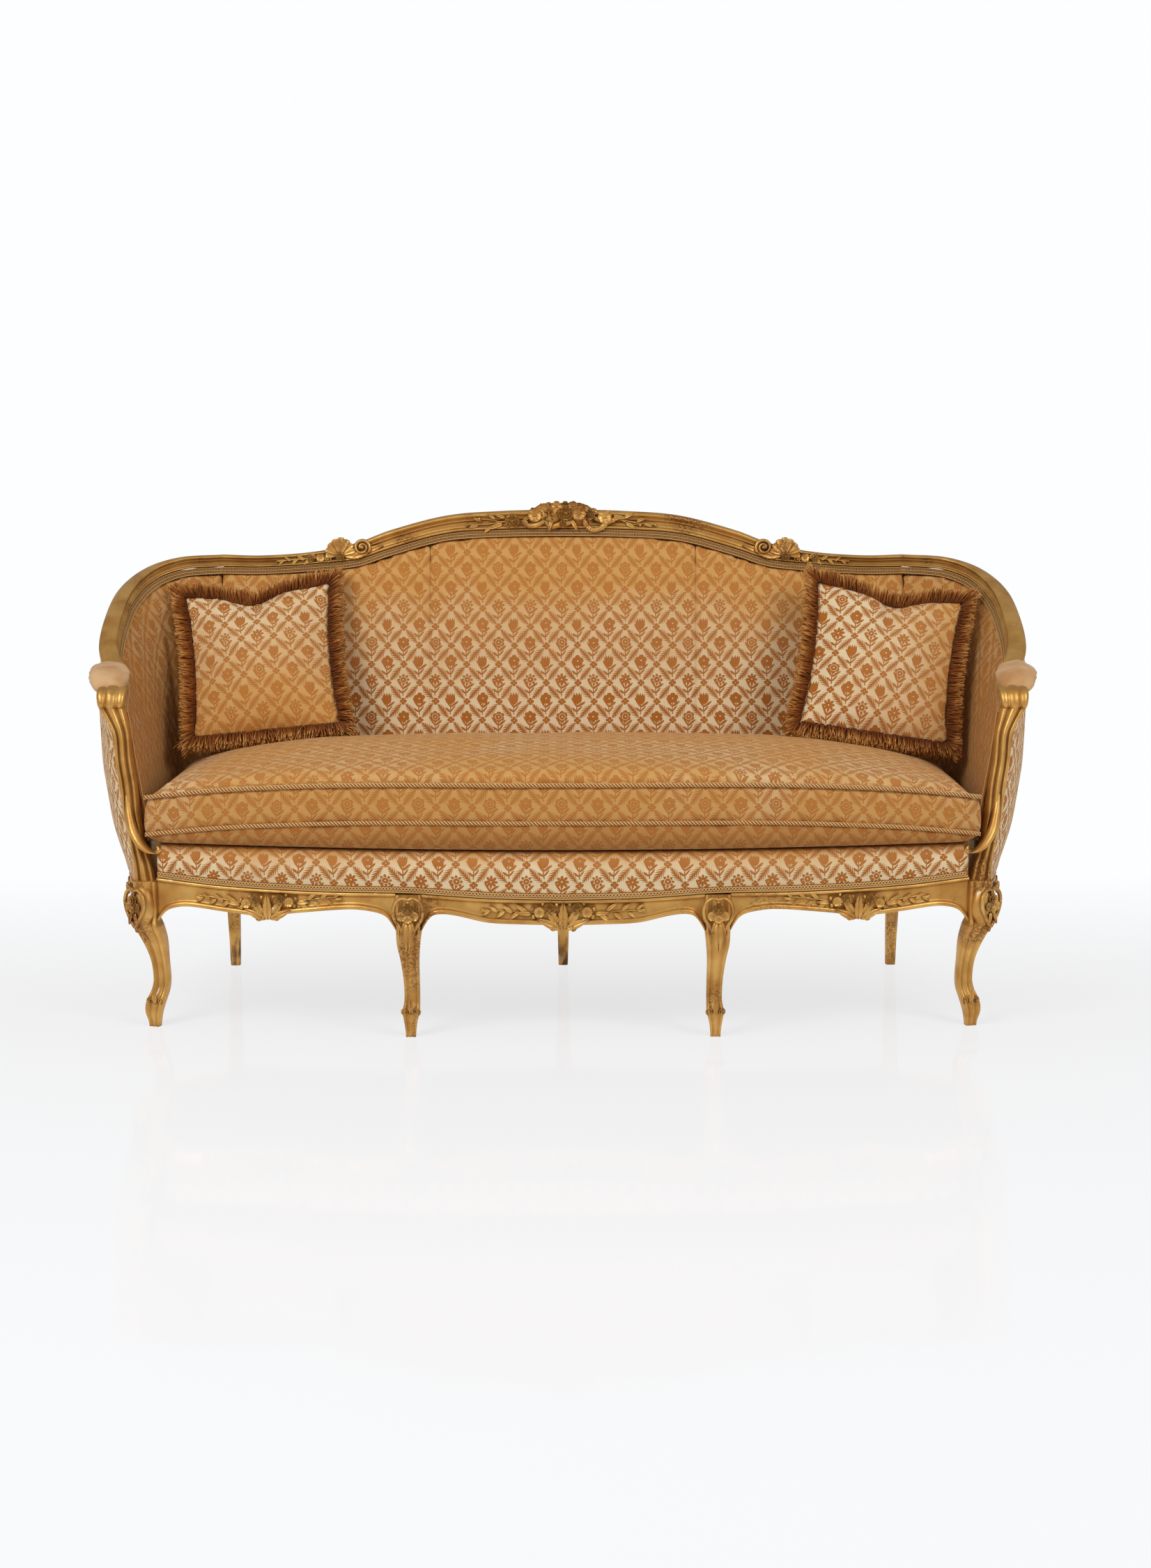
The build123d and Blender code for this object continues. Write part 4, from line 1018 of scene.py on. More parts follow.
def set_nap(piece: Piece, nap: np.ndarray) -> None:
    """Say at each vertex how much painted sheen the ground gets: 0 paints it pale cream, 1 leaves it amber.
    """
    mark(piece, "nap", nap)


def set_cloth(piece: Piece, across: np.ndarray, along: np.ndarray) -> None:
    """Lay the cloth map on the piece.

    Args:
        piece: the piece.
        across: metres across the cloth at each vertex.
        along: metres along the cloth at each vertex.
    """
    layer = piece.data.uv_layers.new(name="cloth")
    corners = np.empty(len(piece.data.loops), int)
    piece.data.loops.foreach_get("vertex_index", corners)
    layer.data.foreach_set("uv", np.stack([across[corners], along[corners]], 1).astype(np.float32).ravel())


# ---------------------------------------------------------------- soft goods
@dataclass(frozen=True)
class Stuffing:
    """How a padded piece is filled."""

    voxel: float = 0.005
    pressure: float = 4.0
    most_swell: float = 0.009
    frames: int = 20
    ease: int = 4
    fill: float = 0.6
    hold_edges: bool = False

    def fill_piece(self, node: str, name: str, held: Callable[[np.ndarray], np.ndarray]) -> Piece:
        """Copy a CAD solid, draw it as even cloth and blow it up a little.

        Args:
            node: the CAD node whose space the piece takes.
            name: the piece's name.
            held: says for rows of points how firmly each is held, from 0 to 1.

        Returns:
            The padded piece.
        """
        piece = in_scene(name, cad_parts[node].data.copy())
        opened(piece)
        bpy.ops.mesh.remove_doubles(threshold=SAME_PLACE)
        bpy.ops.object.mode_set(mode="OBJECT")
        return self.puff(piece, held)

    def puff(self, piece: Piece, held: Callable[[np.ndarray], np.ndarray]) -> Piece:
        """Turn a closed shape into even cloth and blow it up a little.

        Args:
            piece: the shape.
            held: says for rows of points how firmly each is held, from 0 to 1.

        Returns:
            The padded piece.
        """
        modifier(piece, "REMESH", mode="VOXEL", voxel_size=self.voxel, use_smooth_shade=True)
        modifier(piece, "SMOOTH", factor=0.5, iterations=self.ease)
        self.swell(piece, held)
        refined(piece)
        return piece

    def swell(self, piece: Piece, held: Callable[[np.ndarray], np.ndarray]) -> None:
        """Let cloth simulation press the stuffing out, no further than the cap.

        Args:
            piece: the even mesh.
            held: how firmly each point is held.
        """
        start = points_of(piece)
        firm = held(start)
        if self.hold_edges:
            firm = np.maximum(firm, np.abs(normals_of(piece)[:, 2]) > 0.6)
        group = piece.vertex_groups.new(name="held")
        for level in range(1, 5):
            chosen = np.nonzero(np.round(firm * 4) == level)[0]
            group.add([int(k) for k in chosen], level / 4, "REPLACE")
        take(piece)
        cloth = piece.modifiers.new("cloth", "CLOTH")
        cloth.settings.use_pressure = True
        cloth.settings.uniform_pressure_force = self.pressure
        cloth.settings.effector_weights.gravity = 0.0
        cloth.settings.vertex_group_mass = "held"
        cloth.settings.quality = 3
        cloth.collision_settings.use_collision = False
        cloth.point_cache.frame_end = self.frames
        scene = bpy.context.scene
        for number in range(1, self.frames + 1):
            scene.frame_set(number)
        evaluated = piece.evaluated_get(bpy.context.evaluated_depsgraph_get())
        end = points_of(evaluated)
        piece.modifiers.remove(cloth)
        scene.frame_set(1)
        step = end - start
        length = np.linalg.norm(step, axis=1, keepdims=True)
        allowed = self.most_swell * np.tanh(length / self.most_swell)
        set_points(piece, start + step * (allowed / np.maximum(length, 1e-9)))


def folds(points: np.ndarray, seed: float, scale: Point, octaves: int = 2) -> np.ndarray:
    """Gentle waves for creased cloth, the same on each run.

    Args:
        points: rows of places.
        seed: shifts the pattern.
        scale: waves a metre along each axis.
        octaves: how many finer layers there are.

    Returns:
        A value of about -1 to 1 at each place.
    """
    return np.array([noise.fractal(Vector((p[0] * scale[0] + seed, p[1] * scale[1], p[2] * scale[2])), 1.0,
                                   2.0, octaves)
                     for p in points])


# ---------------------------------------------------------------- the wall's measure
def smooth(points: Table, t: float) -> float:
    """Value at t of a smooth curve through (t, value) points, the same on both sides of 0.

    Args:
        points: the table that the curve goes through.
        t: the place.

    Returns:
        The value there.
    """
    t = abs(t)
    k = 0
    while k < len(points) - 2 and t > points[k + 1][0]:
        k += 1

    def slope(i: int) -> float:
        """Slope at one point of the table."""
        low, high = max(i - 1, 0), min(i + 1, len(points) - 1)
        return (points[high][1] - points[low][1]) / (points[high][0] - points[low][0])

    span = points[k + 1][0] - points[k][0]
    u = (t - points[k][0]) / span
    start = points[k][1] * (2 * u**3 - 3 * u**2 + 1) + slope(k) * span * (u**3 - 2 * u**2 + u)
    end = points[k + 1][1] * (3 * u**2 - 2 * u**3) + slope(k + 1) * span * (u**3 - u**2)
    return start + end


def spread(first: float, last: float, steps: int) -> list[float]:
    """Evenly spaced values from first to last."""
    return [first + (last - first) * k / steps for k in range(steps + 1)]


@dataclass(frozen=True)
class Rib:
    """One upright section of the wall, in metres: the rail's place over the seat and which way is out."""

    foot: Vector
    head: Vector
    out: Vector
    rail_tall: float
    pad_thick: float

    @property
    def up(self) -> Vector:
        """Direction from the foot to the head."""
        return (self.head - self.foot).normalized()

    def at(self, outward: float, share: float) -> Vector:
        """Place on the rib, outward metres from its web and a share of the way up."""
        return self.foot.lerp(self.head, share) + self.out * outward

    def below_head(self, drop: float, outward: float) -> Vector:
        """Place that many metres below the rail and outward from the web."""
        return self.head - self.up * drop + self.out * outward

    def share_at(self, z: float) -> float:
        """Share of the way up at a height."""
        return (z - self.foot.z) / (self.head.z - self.foot.z)


@dataclass(frozen=True)
class Wall:
    """The raked back that turns round into the arms. Tables are in millimetres, results in metres."""

    foot_z: float = 279.0
    back_y: float = 270.0
    back_z: float = 300.0
    back_slope: float = 0.13
    corner_x: float = 758.0
    arm_end: int = 8
    underside: Table = ((0, 978), (137, 976), (261, 967), (385, 934), (456, 911), (550, 901), (669, 894),
                        (758, 895))
    tall: Table = ((0, 43), (261, 40), (420, 40), (550, 27), (669, 25), (758, 26))
    # Round the corner and along the left arm: foot x y, head x y z, out x y, rail height, pad thickness.
    arm: tuple = (
        (-805, 262, -845, 331, 889, -0.42, 0.91, 27, 46),
        (-864, 226, -903, 288, 868, -0.74, 0.67, 28, 50),
        (-896, 152, -937, 207, 829, -0.96, 0.28, 29, 56),
        (-904, 60, -946, 110, 778, -1.0, 0.04, 29, 60),
        (-897, -20, -943, 30, 727, -0.99, -0.12, 28, 56),
        (-881, -90, -918, -45, 684, -0.97, -0.22, 26, 41),
        (-862, -160, -908, -115, 655, -0.97, -0.26, 24, 27),
        (-836, -242, -897, -183, 640, -1.0, 0.0, 24, 14),
    )

    def back_line(self, z: float) -> float:
        """Front of the raked back frame at a height."""
        return self.back_y + self.back_slope * (z - self.back_z)

    def back_rib(self, x: float) -> Rib:
        """Rib of the straight back at x millimetres.

        Args:
            x: the place along the sofa, in millimetres.

        Returns:
            The rib.
        """
        top = smooth(self.underside, x)
        foot = Vector((x, self.back_line(self.foot_z), self.foot_z)) * MM
        head = Vector((x, self.back_line(top), top)) * MM
        return Rib(foot, head, Vector((0, 1, 0)), smooth(self.tall, x) * MM, 48 * MM)

    def arm_rib(self, k: float) -> Rib:
        """Rib of the left corner and arm; k runs from 0 at the back to arm_end over the support.

        Args:
            k: the rib, which may lie between two.

        Returns:
            The rib.
        """
        start = self.back_rib(-self.corner_x)
        first = (start.foot.x / MM, start.foot.y / MM, start.head.x / MM, start.head.y / MM,
                 start.head.z / MM,
                 0.0, 1.0, start.rail_tall / MM, start.pad_thick / MM)
        rows = [first, *self.arm]
        fx, fy, hx, hy, hz, ox, oy, tall, thick = (
            smooth([(n, row[c]) for n, row in enumerate(rows)], k) for c in range(9))
        return Rib(Vector((fx, fy, self.foot_z)) * MM, Vector((hx, hy, hz)) * MM,
                   Vector((ox, oy, 0)).normalized(), tall * MM, thick * MM)

    def back_ribs(self, first: float, last: float, steps: int) -> list[Rib]:
        """Evenly spaced ribs of the back between two places in millimetres."""
        return [self.back_rib(x) for x in spread(first, last, steps)]

    def arm_ribs(self, first: float, last: float, steps: int) -> list[Rib]:
        """Evenly spaced ribs of the left corner and arm."""
        return [self.arm_rib(k) for k in spread(first, last, steps)]

    def cloth_at(self, points: np.ndarray) -> tuple[np.ndarray, np.ndarray]:
        """Where each point lies on cloth that follows the wall.

        Args:
            points: rows of places on the left side or the back.

        Returns:
            Metres along the wall from the middle of the back, and metres up from the seat.
        """
        ribs = self.back_ribs(0, -self.corner_x, 40) + self.arm_ribs(0, self.arm_end, 64)[1:]
        feet = np.array([rib.foot for rib in ribs])
        rises = np.array([(rib.head - rib.foot) / (rib.head.z - rib.foot.z) for rib in ribs])
        webs = feet[None, :, :2] + rises[None, :, :2] * (points[:, None, 2:] - feet[None, :, 2:])
        middle = np.array([rib.at(0, 0.5)[:2] for rib in ribs])
        run = np.concatenate([[0], np.cumsum(np.linalg.norm(np.diff(middle, axis=0), axis=1))])
        away = np.linalg.norm(webs - points[:, None, :2], axis=2)
        near = np.clip(away.argmin(1), 1, len(ribs) - 2)
        rows = np.arange(len(points))
        before, after = webs[rows, near - 1], webs[rows, near + 1]
        line = after - before
        share = ((points[:, :2] - before) * line).sum(1) / (line * line).sum(1)
        across = run[near - 1] + np.clip(share, -0.5, 1.5) * (run[near + 1] - run[near - 1])
        return -across, (points[:, 2] - self.foot_z * MM) * 1.01


def framed(spot: Vector, along: Vector, up: Vector) -> Matrix:
    """Frame at a spot with X along, Y up and Z out of the face.

    Args:
        spot: the origin.
        along: the first axis.
        up: about the second axis.

    Returns:
        The frame as a matrix.
    """
    first = along.normalized()
    third = first.cross(up).normalized()
    second = third.cross(first)
    frame_matrix = Matrix((first, second, third)).transposed().to_4x4()
    frame_matrix.translation = spot
    return frame_matrix


WALL = Wall()


# ---------------------------------------------------------------- sub-assemblies
@dataclass(frozen=True)
class TopRail:
    """The moulded rail over the back, round the corners and along the arms."""

    depth: float = 0.0395
    slimmer: float = 0.17
    crest_steps: int = 110
    shoulder_steps: int = 60
    arm_steps: int = 26
    armrest_from: int = 5
    # Outward and up as shares of depth and height: bead, hollow, ridge, hollow, roll and rounded back.
    profile: tuple = ((0.02, 0.0), (-0.14, 0.005), (-0.24, 0.05), (-0.27, 0.12), (-0.23, 0.19),
                      (-0.13, 0.215), (-0.13, 0.25), (-0.09, 0.33), (-0.01, 0.44), (0.0, 0.50),
                      (-0.06, 0.545), (-0.15, 0.56), (-0.18, 0.60), (-0.15, 0.64), (-0.07, 0.655),
                      (-0.06, 0.69), (-0.13, 0.74), (-0.20, 0.82), (-0.19, 0.91), (-0.10, 0.98),
                      (0.02, 1.01), (0.10, 0.975), (0.16, 0.985), (0.30, 1.02), (0.42, 1.0), (0.48, 0.955),
                      (0.55, 0.98), (0.75, 0.92), (0.93, 0.76), (1.0, 0.55), (1.0, 0.30), (0.93, 0.06),
                      (0.85, 0.0), (0.45, 0.0))

    def ring(self, rib: Rib) -> list[Vector]:
        """The profile set on one rib."""
        depth = self.depth * (1 - self.slimmer * abs(rib.out.x))
        return [rib.head + rib.out * (a * depth) + rib.up * (r * rib.rail_tall) for a, r in self.profile]

    def build(self) -> None:
        """Run the rail in its five lengths."""
        crest = moulded("crest", [self.ring(r)
                                  for r in WALL.back_ribs(-WALL.corner_x, WALL.corner_x, self.crest_steps)])
        dressed(crest, WornGilding(), stands_for=["crest_rail"])
        shoulder = moulded("shoulder_left",
                           [self.ring(r) for r in WALL.arm_ribs(0, self.armrest_from, self.shoulder_steps)])
        arm = self.arm()
        for piece, word in ((shoulder, "shoulder"), (arm, "arm")):
            gild_pair(piece, f"{word}_right", f"{word}_rail")

    def arm(self) -> Piece:
        """The arm under its padded rest, which runs out in the rolled knuckle over the support."""
        straight = moulded("arm_left", [self.ring(r) for r in WALL.arm_ribs(self.armrest_from, WALL.arm_end,
                                                                            self.arm_steps)])
        knuckle = moulded("knuckle", ArmSupport().knuckle_rings())
        return joined("arm_left", [straight, knuckle])


@dataclass(frozen=True)
class ArmSupport:
    """The fluted upright between the leg and the arm, with its hook at the seat."""

    foot_z: float = 300.0
    rest_z: float = 640.0
    depth: float = 39.0
    gap: float = 0.4
    steps: int = 44
    # Height, sideways shift from the wall's web and width, in millimetres.
    course: tuple = ((300, 1, 44), (335, 1, 37), (371, 4, 32), (427, 7, 33), (484, 4, 34), (536, 4, 34),
                     (590, 0, 35), (615, 5, 42), (640, 12, 52))
    hook: tuple = ((-876, -246, 470, 8), (-871, -254, 436, 15), (-862, -266, 402, 21), (-846, -278, 376, 24),
                   (-829, -284, 361, 22), (-816, -282, 357, 19), (-808, -277, 364, 14), (-812, -275, 371, 9))
    # Across and forward as shares: a broad bead each side and two ribs between three flutes.
    profile: tuple = ((-0.50, 0.20), (-0.505, -0.05), (-0.48, -0.26), (-0.41, -0.40), (-0.31, -0.42),
                      (-0.25, -0.33), (-0.23, -0.27), (-0.19, -0.30), (-0.15, -0.43), (-0.08, -0.52),
                      (0.0, -0.54), (0.08, -0.52), (0.15, -0.43), (0.19, -0.30), (0.23, -0.27),
                      (0.25, -0.33), (0.31, -0.42), (0.41, -0.40), (0.48, -0.26), (0.505, -0.05),
                      (0.50, 0.20), (0.46, 0.42), (0.36, 0.50), (0.0, 0.50), (-0.36, 0.50), (-0.46, 0.42))

    def place(self, z: float) -> tuple[Vector, float]:
        """Middle and width of the support at a height in millimetres.

        Args:
            z: the height.

        Returns:
            The middle in metres and the width in metres.
        """
        shift = smooth([(h, s) for h, s, _ in self.course], z)
        width = smooth([(h, w) for h, _, w in self.course], z)
        rib = WALL.arm_rib(WALL.arm_end)
        web = rib.at(0, rib.share_at(z * MM))
        return Vector((web.x - shift * MM, web.y - (self.depth / 2 + self.gap) * MM, z * MM)), width * MM

    def ring(self, z: float) -> list[Vector]:
        """The fluted section at a height in millimetres."""
        middle, width = self.place(z)
        return [middle + Vector((a * width, f * self.depth * MM, 0)) for a, f in self.profile]

    def knuckle_rings(self) -> list[list[Vector]]:
        """Sections that carry the flutes up, over and back under the armrest."""
        rings = [self.ring(self.rest_z)]
        middle, width = self.place(self.rest_z)
        radius, swell = 0.023, 0.8
        hub = middle + Vector((0, 0.016, 0.012))
        for k in range(1, 15):
            turn = math.radians(-20 + 150 * k / 14)
            reach = radius * (1.25 - 0.02 * k)
            centre = hub + Vector((0, -math.cos(turn) * reach, math.sin(turn) * reach))
            ahead = Vector((0, -math.cos(turn), math.sin(turn)))
            wide = width * (1.0 + swell * 0.18 * math.sin(math.radians(180 * k / 14)))
            thick = self.depth * MM * (0.62 - 0.018 * k)
            rings.append([centre + Vector((a * wide, 0, 0)) + ahead * (-f * thick) for a, f in self.profile])
        return rings

    def build(self) -> None:
        """Run the support and its hook."""
        upright = moulded("support_left",
                          [self.ring(z) for z in spread(self.foot_z, self.rest_z, self.steps)])
        rows = [(n, *row) for n, row in enumerate(self.hook)]
        rings = []
        for t in spread(0, len(rows) - 1, 24):
            x, y, z, w = (smooth([(row[0], row[c]) for row in rows], t) for c in range(1, 5))
            rings.append([Vector((x + w / 2 * math.cos(math.tau * k / 12),
                                  y + w / 2 * math.sin(math.tau * k / 12), z)) * MM
                          for k in range(12)])
        piece = joined("support_left", [upright, moulded("hook", rings)])
        gild_pair(piece, "support_right", "arm_support")


@dataclass(frozen=True)
class SeatFrame:
    """The bowed front rail in three lengths and the side rails."""

    front_y: float = -369.0
    bow: float = 105.0
    outer_x: float = 838.0
    outer_y: float = -269.5
    outer_block: float = 48.0
    outer_depth: float = 53.0
    inner_x: float = 305.0
    inner_block: float = 52.0
    inner_depth: float = 46.0
    ledge_z: float = 275.0
    rail_in: float = 18.0
    rail_out: float = 18.0
    lip: float = 2.0
    top: Table = ((0, 280), (150, 283), (305, 291), (450, 291), (585, 293), (700, 298), (814, 308))
    centre_low: Table = ((0, 229), (90, 231), (150, 234), (205, 246), (238, 250), (262, 244), (279, 216))
    side_low: Table = ((331, 216), (348, 242), (380, 253), (425, 256), (520, 247), (600, 238), (670, 243),
                       (748, 251), (780, 247), (798, 238), (814, 216))

    def front_line(self, x: float) -> float:
        """Middle line of the bowed front rail at x millimetres."""
        return self.front_y + self.bow * (x / self.outer_x) ** 2

    def ring(self, x: float, low_table: Table) -> list[Vector]:
        """Rail section at x: a rolled lower bead, a groove, a hollow face and a top fillet.

        Args:
            x: the place along the sofa, in millimetres.
            low_table: heights of the underside.

        Returns:
            The section in metres.
        """
        y, low, top = self.front_line(x), smooth(low_table, x), smooth(self.top, x)
        out = self.rail_out
        tall = top - low
        face = [(-self.rail_in, low + 3), (out - 10, low + 1), (out - 5, low), (out - 1, low + 2),
                (out + 0.5, low + 6), (out - 1.5, low + 10), (out - 5.5, low + 11.5), (out - 6.5, low + 13),
                (out - 7.5, low + tall * 0.42), (out - 8.5, low + tall * 0.6), (out - 8, top - 11),
                (out - 5.5, top - 8), (out - 2.5, top - 7), (out - 1, top - 4), (out - 3, top - 0.5),
                (out - 6, top), (-self.lip, top), (-self.lip, self.ledge_z), (-self.rail_in, self.ledge_z)]
        return [Vector((x, y - forward, z)) * MM for forward, z in face]

    def face_place(self, x: float, z: float, lift: float = 0.0) -> Matrix:
        """Frame on the rail's face: X along the rail, Y up and Z out of it.

        Args:
            x: place along the sofa in millimetres.
            z: height in millimetres.
            lift: how far in front of the face, in millimetres.

        Returns:
            The frame.
        """
        slope = 2 * self.bow * x / self.outer_x**2
        along = Vector((1, slope, 0)).normalized()
        up = Vector((0, 0, 1))
        out = along.cross(up)
        spot = Vector((x, self.front_line(x) - (self.rail_out - 8), z)) * MM + out * (lift * MM)
        return framed(spot, along, up)

    def side_ring(self, foot: Vector, out: Vector) -> list[Vector]:
        """Side rail section: a bead below and a hollow face.

        Args:
            foot: the foot of the wall there.
            out: which way is out.

        Returns:
            The section in metres.
        """
        low, high = 246.0, self.ledge_z
        face = [(-12, low), (18, low), (22, low + 1.5), (24, low + 5), (22.5, low + 9), (19, low + 11),
                (18, low + 14), (18.5, high - 7), (20, high - 5), (20, high), (-12, high)]
        return [Vector((foot.x + out.x * a * MM, foot.y + out.y * a * MM, z * MM)) for a, z in face]

    def build(self) -> None:
        """Run the five rails that show."""
        reach = self.inner_x - self.inner_block / 2
        centre = moulded("front_rail_middle",
                         [self.ring(x, self.centre_low) for x in spread(-reach, reach, 64)])
        dressed(centre, WornGilding(), stands_for=["front_rail_center"])
        outer, inner = self.outer_x - self.outer_block / 2, self.inner_x + self.inner_block / 2
        side = moulded("front_rail_left_run",
                       [self.ring(x, self.side_low) for x in spread(-outer, -inner, 60)])
        feet = [(rib.foot, rib.out) for rib in WALL.arm_ribs(0, 7.5, 40)]
        feet.append((Vector((-832, self.outer_y + self.outer_depth / 2, 0)) * MM, Vector((-1, 0, 0))))
        flank = moulded("side_rail_left_run", [self.side_ring(foot, out) for foot, out in feet])
        for piece, word in ((side, "front_rail"), (flank, "side_rail")):
            gild_pair(piece, f"{word}_right_run", word)


SEAT = SeatFrame()


@dataclass(frozen=True)
class CabrioleLegs:
    """The four carved front legs."""

    block_z: float = 212.0
    outer: tuple = ((0, -826, -268, 22), (10, -826, -268, 24), (31, -827, -269, 33), (52, -823, -265, 37),
                    (73, -815, -257, 34), (94, -812, -254, 32), (136, -815, -257, 34), (178, -823, -265, 46),
                    (212, -835, -273, 56))
    inner: tuple = ((0, -303, -357, 20), (10, -303, -357, 21), (30, -303, -358, 26), (51, -302, -358, 34),
                    (72, -300, -352, 31), (113, -301, -348, 32), (154, -304, -351, 37),
                    (188, -306, -357, 46), (212, -305, -361, 50))
    # Across and forward: a bead down each side and a channel with a low rib between them.
    profile: tuple = ((-0.50, 0.22), (-0.515, -0.10), (-0.49, -0.30), (-0.42, -0.42), (-0.33, -0.42),
                      (-0.28, -0.33), (-0.20, -0.31), (-0.10, -0.36), (0.0, -0.44), (0.10, -0.36),
                      (0.20, -0.31), (0.28, -0.33), (0.33, -0.42), (0.42, -0.42), (0.49, -0.30),
                      (0.515, -0.10), (0.50, 0.22), (0.44, 0.44), (0.22, 0.50), (-0.22, 0.50), (-0.44, 0.44))

    def ring(self, x: float, y: float, z: float, wide: float, deep: float, turn: float) -> list[Vector]:
        """The leg's section at one height, turned about its middle."""
        c, s = math.cos(turn), math.sin(turn)
        return [Vector((x + a * wide * c - f * deep * s, y + a * wide * s + f * deep * c, z)) * MM
                for a, f in self.profile]

    def rings(self, stations: tuple, turn: float) -> list[list[Vector]]:
        """Sections from the floor up to the block.

        Args:
            stations: height, place and width of the leg.
            turn: how far the leg is turned, in radians.

        Returns:
            The sections.
        """
        rings = []
        for z in spread(0, self.block_z, 44):
            x, y, w = (smooth([(row[0], row[c]) for row in stations], z) for c in range(1, 4))
            rings.append(self.ring(x, y, z, w, w, turn))
        return rings

    def build(self) -> None:
        """Run both left legs with their blocks and mirror them."""
        outer_rings = self.rings(self.outer, math.radians(-16))
        for z, grow in ((226, 0), (250, 1), (275, 1), (294, 0), (300, -1)):
            outer_rings.append(self.ring(-SEAT.outer_x, SEAT.outer_y, z, SEAT.outer_block + grow,
                                         SEAT.outer_depth + grow, 0))
        inner_rings = self.rings(self.inner, 0)
        block_y = SEAT.front_line(SEAT.inner_x)
        top = smooth(SEAT.top, SEAT.inner_x - SEAT.inner_block / 2) - 1.2
        for z, grow in ((226, 0), (245, 1), (265, 1), (top - 3, 0), (top, -1)):
            deep = SEAT.inner_depth / 2 + SEAT.lip + grow if z > SEAT.ledge_z else SEAT.inner_depth + grow
            middle = block_y if z <= SEAT.ledge_z else block_y - SEAT.inner_depth / 2 + deep / 2
            inner_rings.append(self.ring(-SEAT.inner_x, middle, z, SEAT.inner_block + grow, deep, 0))
        for rings, word in ((outer_rings, "outer"), (inner_rings, "inner")):
            piece = moulded(f"leg_{word}_left", rings)
            gild_pair(piece, f"leg_{word}_right", f"front_leg_{word}")


# ---------------------------------------------------------------- trimmings and carving
Face = Callable[[float, float, float], Matrix]


def limb(name: str, line: Sequence[Vector], widths: Sequence[float], over: Vector, sides: int = 8,
         flat: float = 1.0) -> Piece:
    """Run a rod of changing width along a line.

    Args:
        name: the piece's name.
        line: the points that it follows.
        widths: its width at each point.
        over: about the direction that its face looks in.
        sides: how many sides it has.
        flat: its thickness as a share of its width.

    Returns:
        The rod.
    """
    rings = []
    for k, (spot, width) in enumerate(zip(line, widths)):
        ahead = (line[min(k + 1, len(line) - 1)] - line[max(k - 1, 0)]).normalized()
        across = ahead.cross(over).normalized()
        top = across.cross(ahead)
        turns = [math.tau * n / sides for n in range(sides)]
        rings.append([spot + (across * math.cos(a) + top * (math.sin(a) * flat)) * (width / 2)
                      for a in turns])
    return drawn(name, rings)


def eased(points: Sequence[Sequence[float]], steps: int) -> list[list[float]]:
    """A smooth run of rows through the listed rows.

    Args:
        points: the rows, in order.
        steps: how many steps the whole run has.

    Returns:
        The rows of the run.
    """
    tables = [[(float(n), row[c]) for n, row in enumerate(points)] for c in range(len(points[0]))]
    return [[smooth(table, t) for table in tables] for t in spread(0, len(points) - 1, steps)]


def crest_face(x: float, up: float, lift: float) -> Matrix:
    """Frame on the crest's front.

    Args:
        x: place along the sofa in millimetres.
        up: millimetres above the rail's underside.
        lift: millimetres ahead of the moulding.

    Returns:
        The frame, with Z out of the face.
    """
    rib = WALL.back_rib(x)
    along = WALL.back_rib(x + 4).head - WALL.back_rib(x - 4).head
    return framed(rib.head + rib.up * (up * MM) - rib.out * ((5.0 + lift) * MM), along, rib.up)


def rail_face(x: float, up: float, lift: float) -> Matrix:
    """Frame on the front rail's face; up is counted from the rail's underside."""
    low = smooth(SEAT.centre_low if abs(x) < SEAT.inner_x else SEAT.side_low, x)
    return SEAT.face_place(x, low + up, lift)


def plane_face(origin: Point, turn: float) -> Face:
    """A flat face that stands upright.

    Args:
        origin: its foot in millimetres.
        turn: degrees that it is turned from the front, towards the left end.

    Returns:
        The function that gives frames on it.
    """
    def face(along: float, up: float, lift: float) -> Matrix:
        """Frame on the flat face."""
        angle = math.radians(turn)
        right = Vector((math.cos(angle), -math.sin(angle), 0))
        out = Vector((-math.sin(angle), -math.cos(angle), 0))
        spot = Vector(origin) + right * along + Vector((0, 0, up)) + out * lift
        return framed(spot * MM, right, Vector((0, 0, 1)))
    return face


class Motif(Enum):
    """The carver's stock."""

    LEAF = "leaf"
    ACANTHUS = "acanthus"
    FLOWER = "flower"
    ROSE = "rose"
    LILY = "lily"
    BERRY = "berry"
    FLUTE = "flute"
    VOLUTE = "volute"
    BOSS = "boss"


# A motif with its place along and up, its turn in degrees, its size and how far it stands out, all in
# millimetres.
Mark = tuple[Motif, float, float, float, float, float]


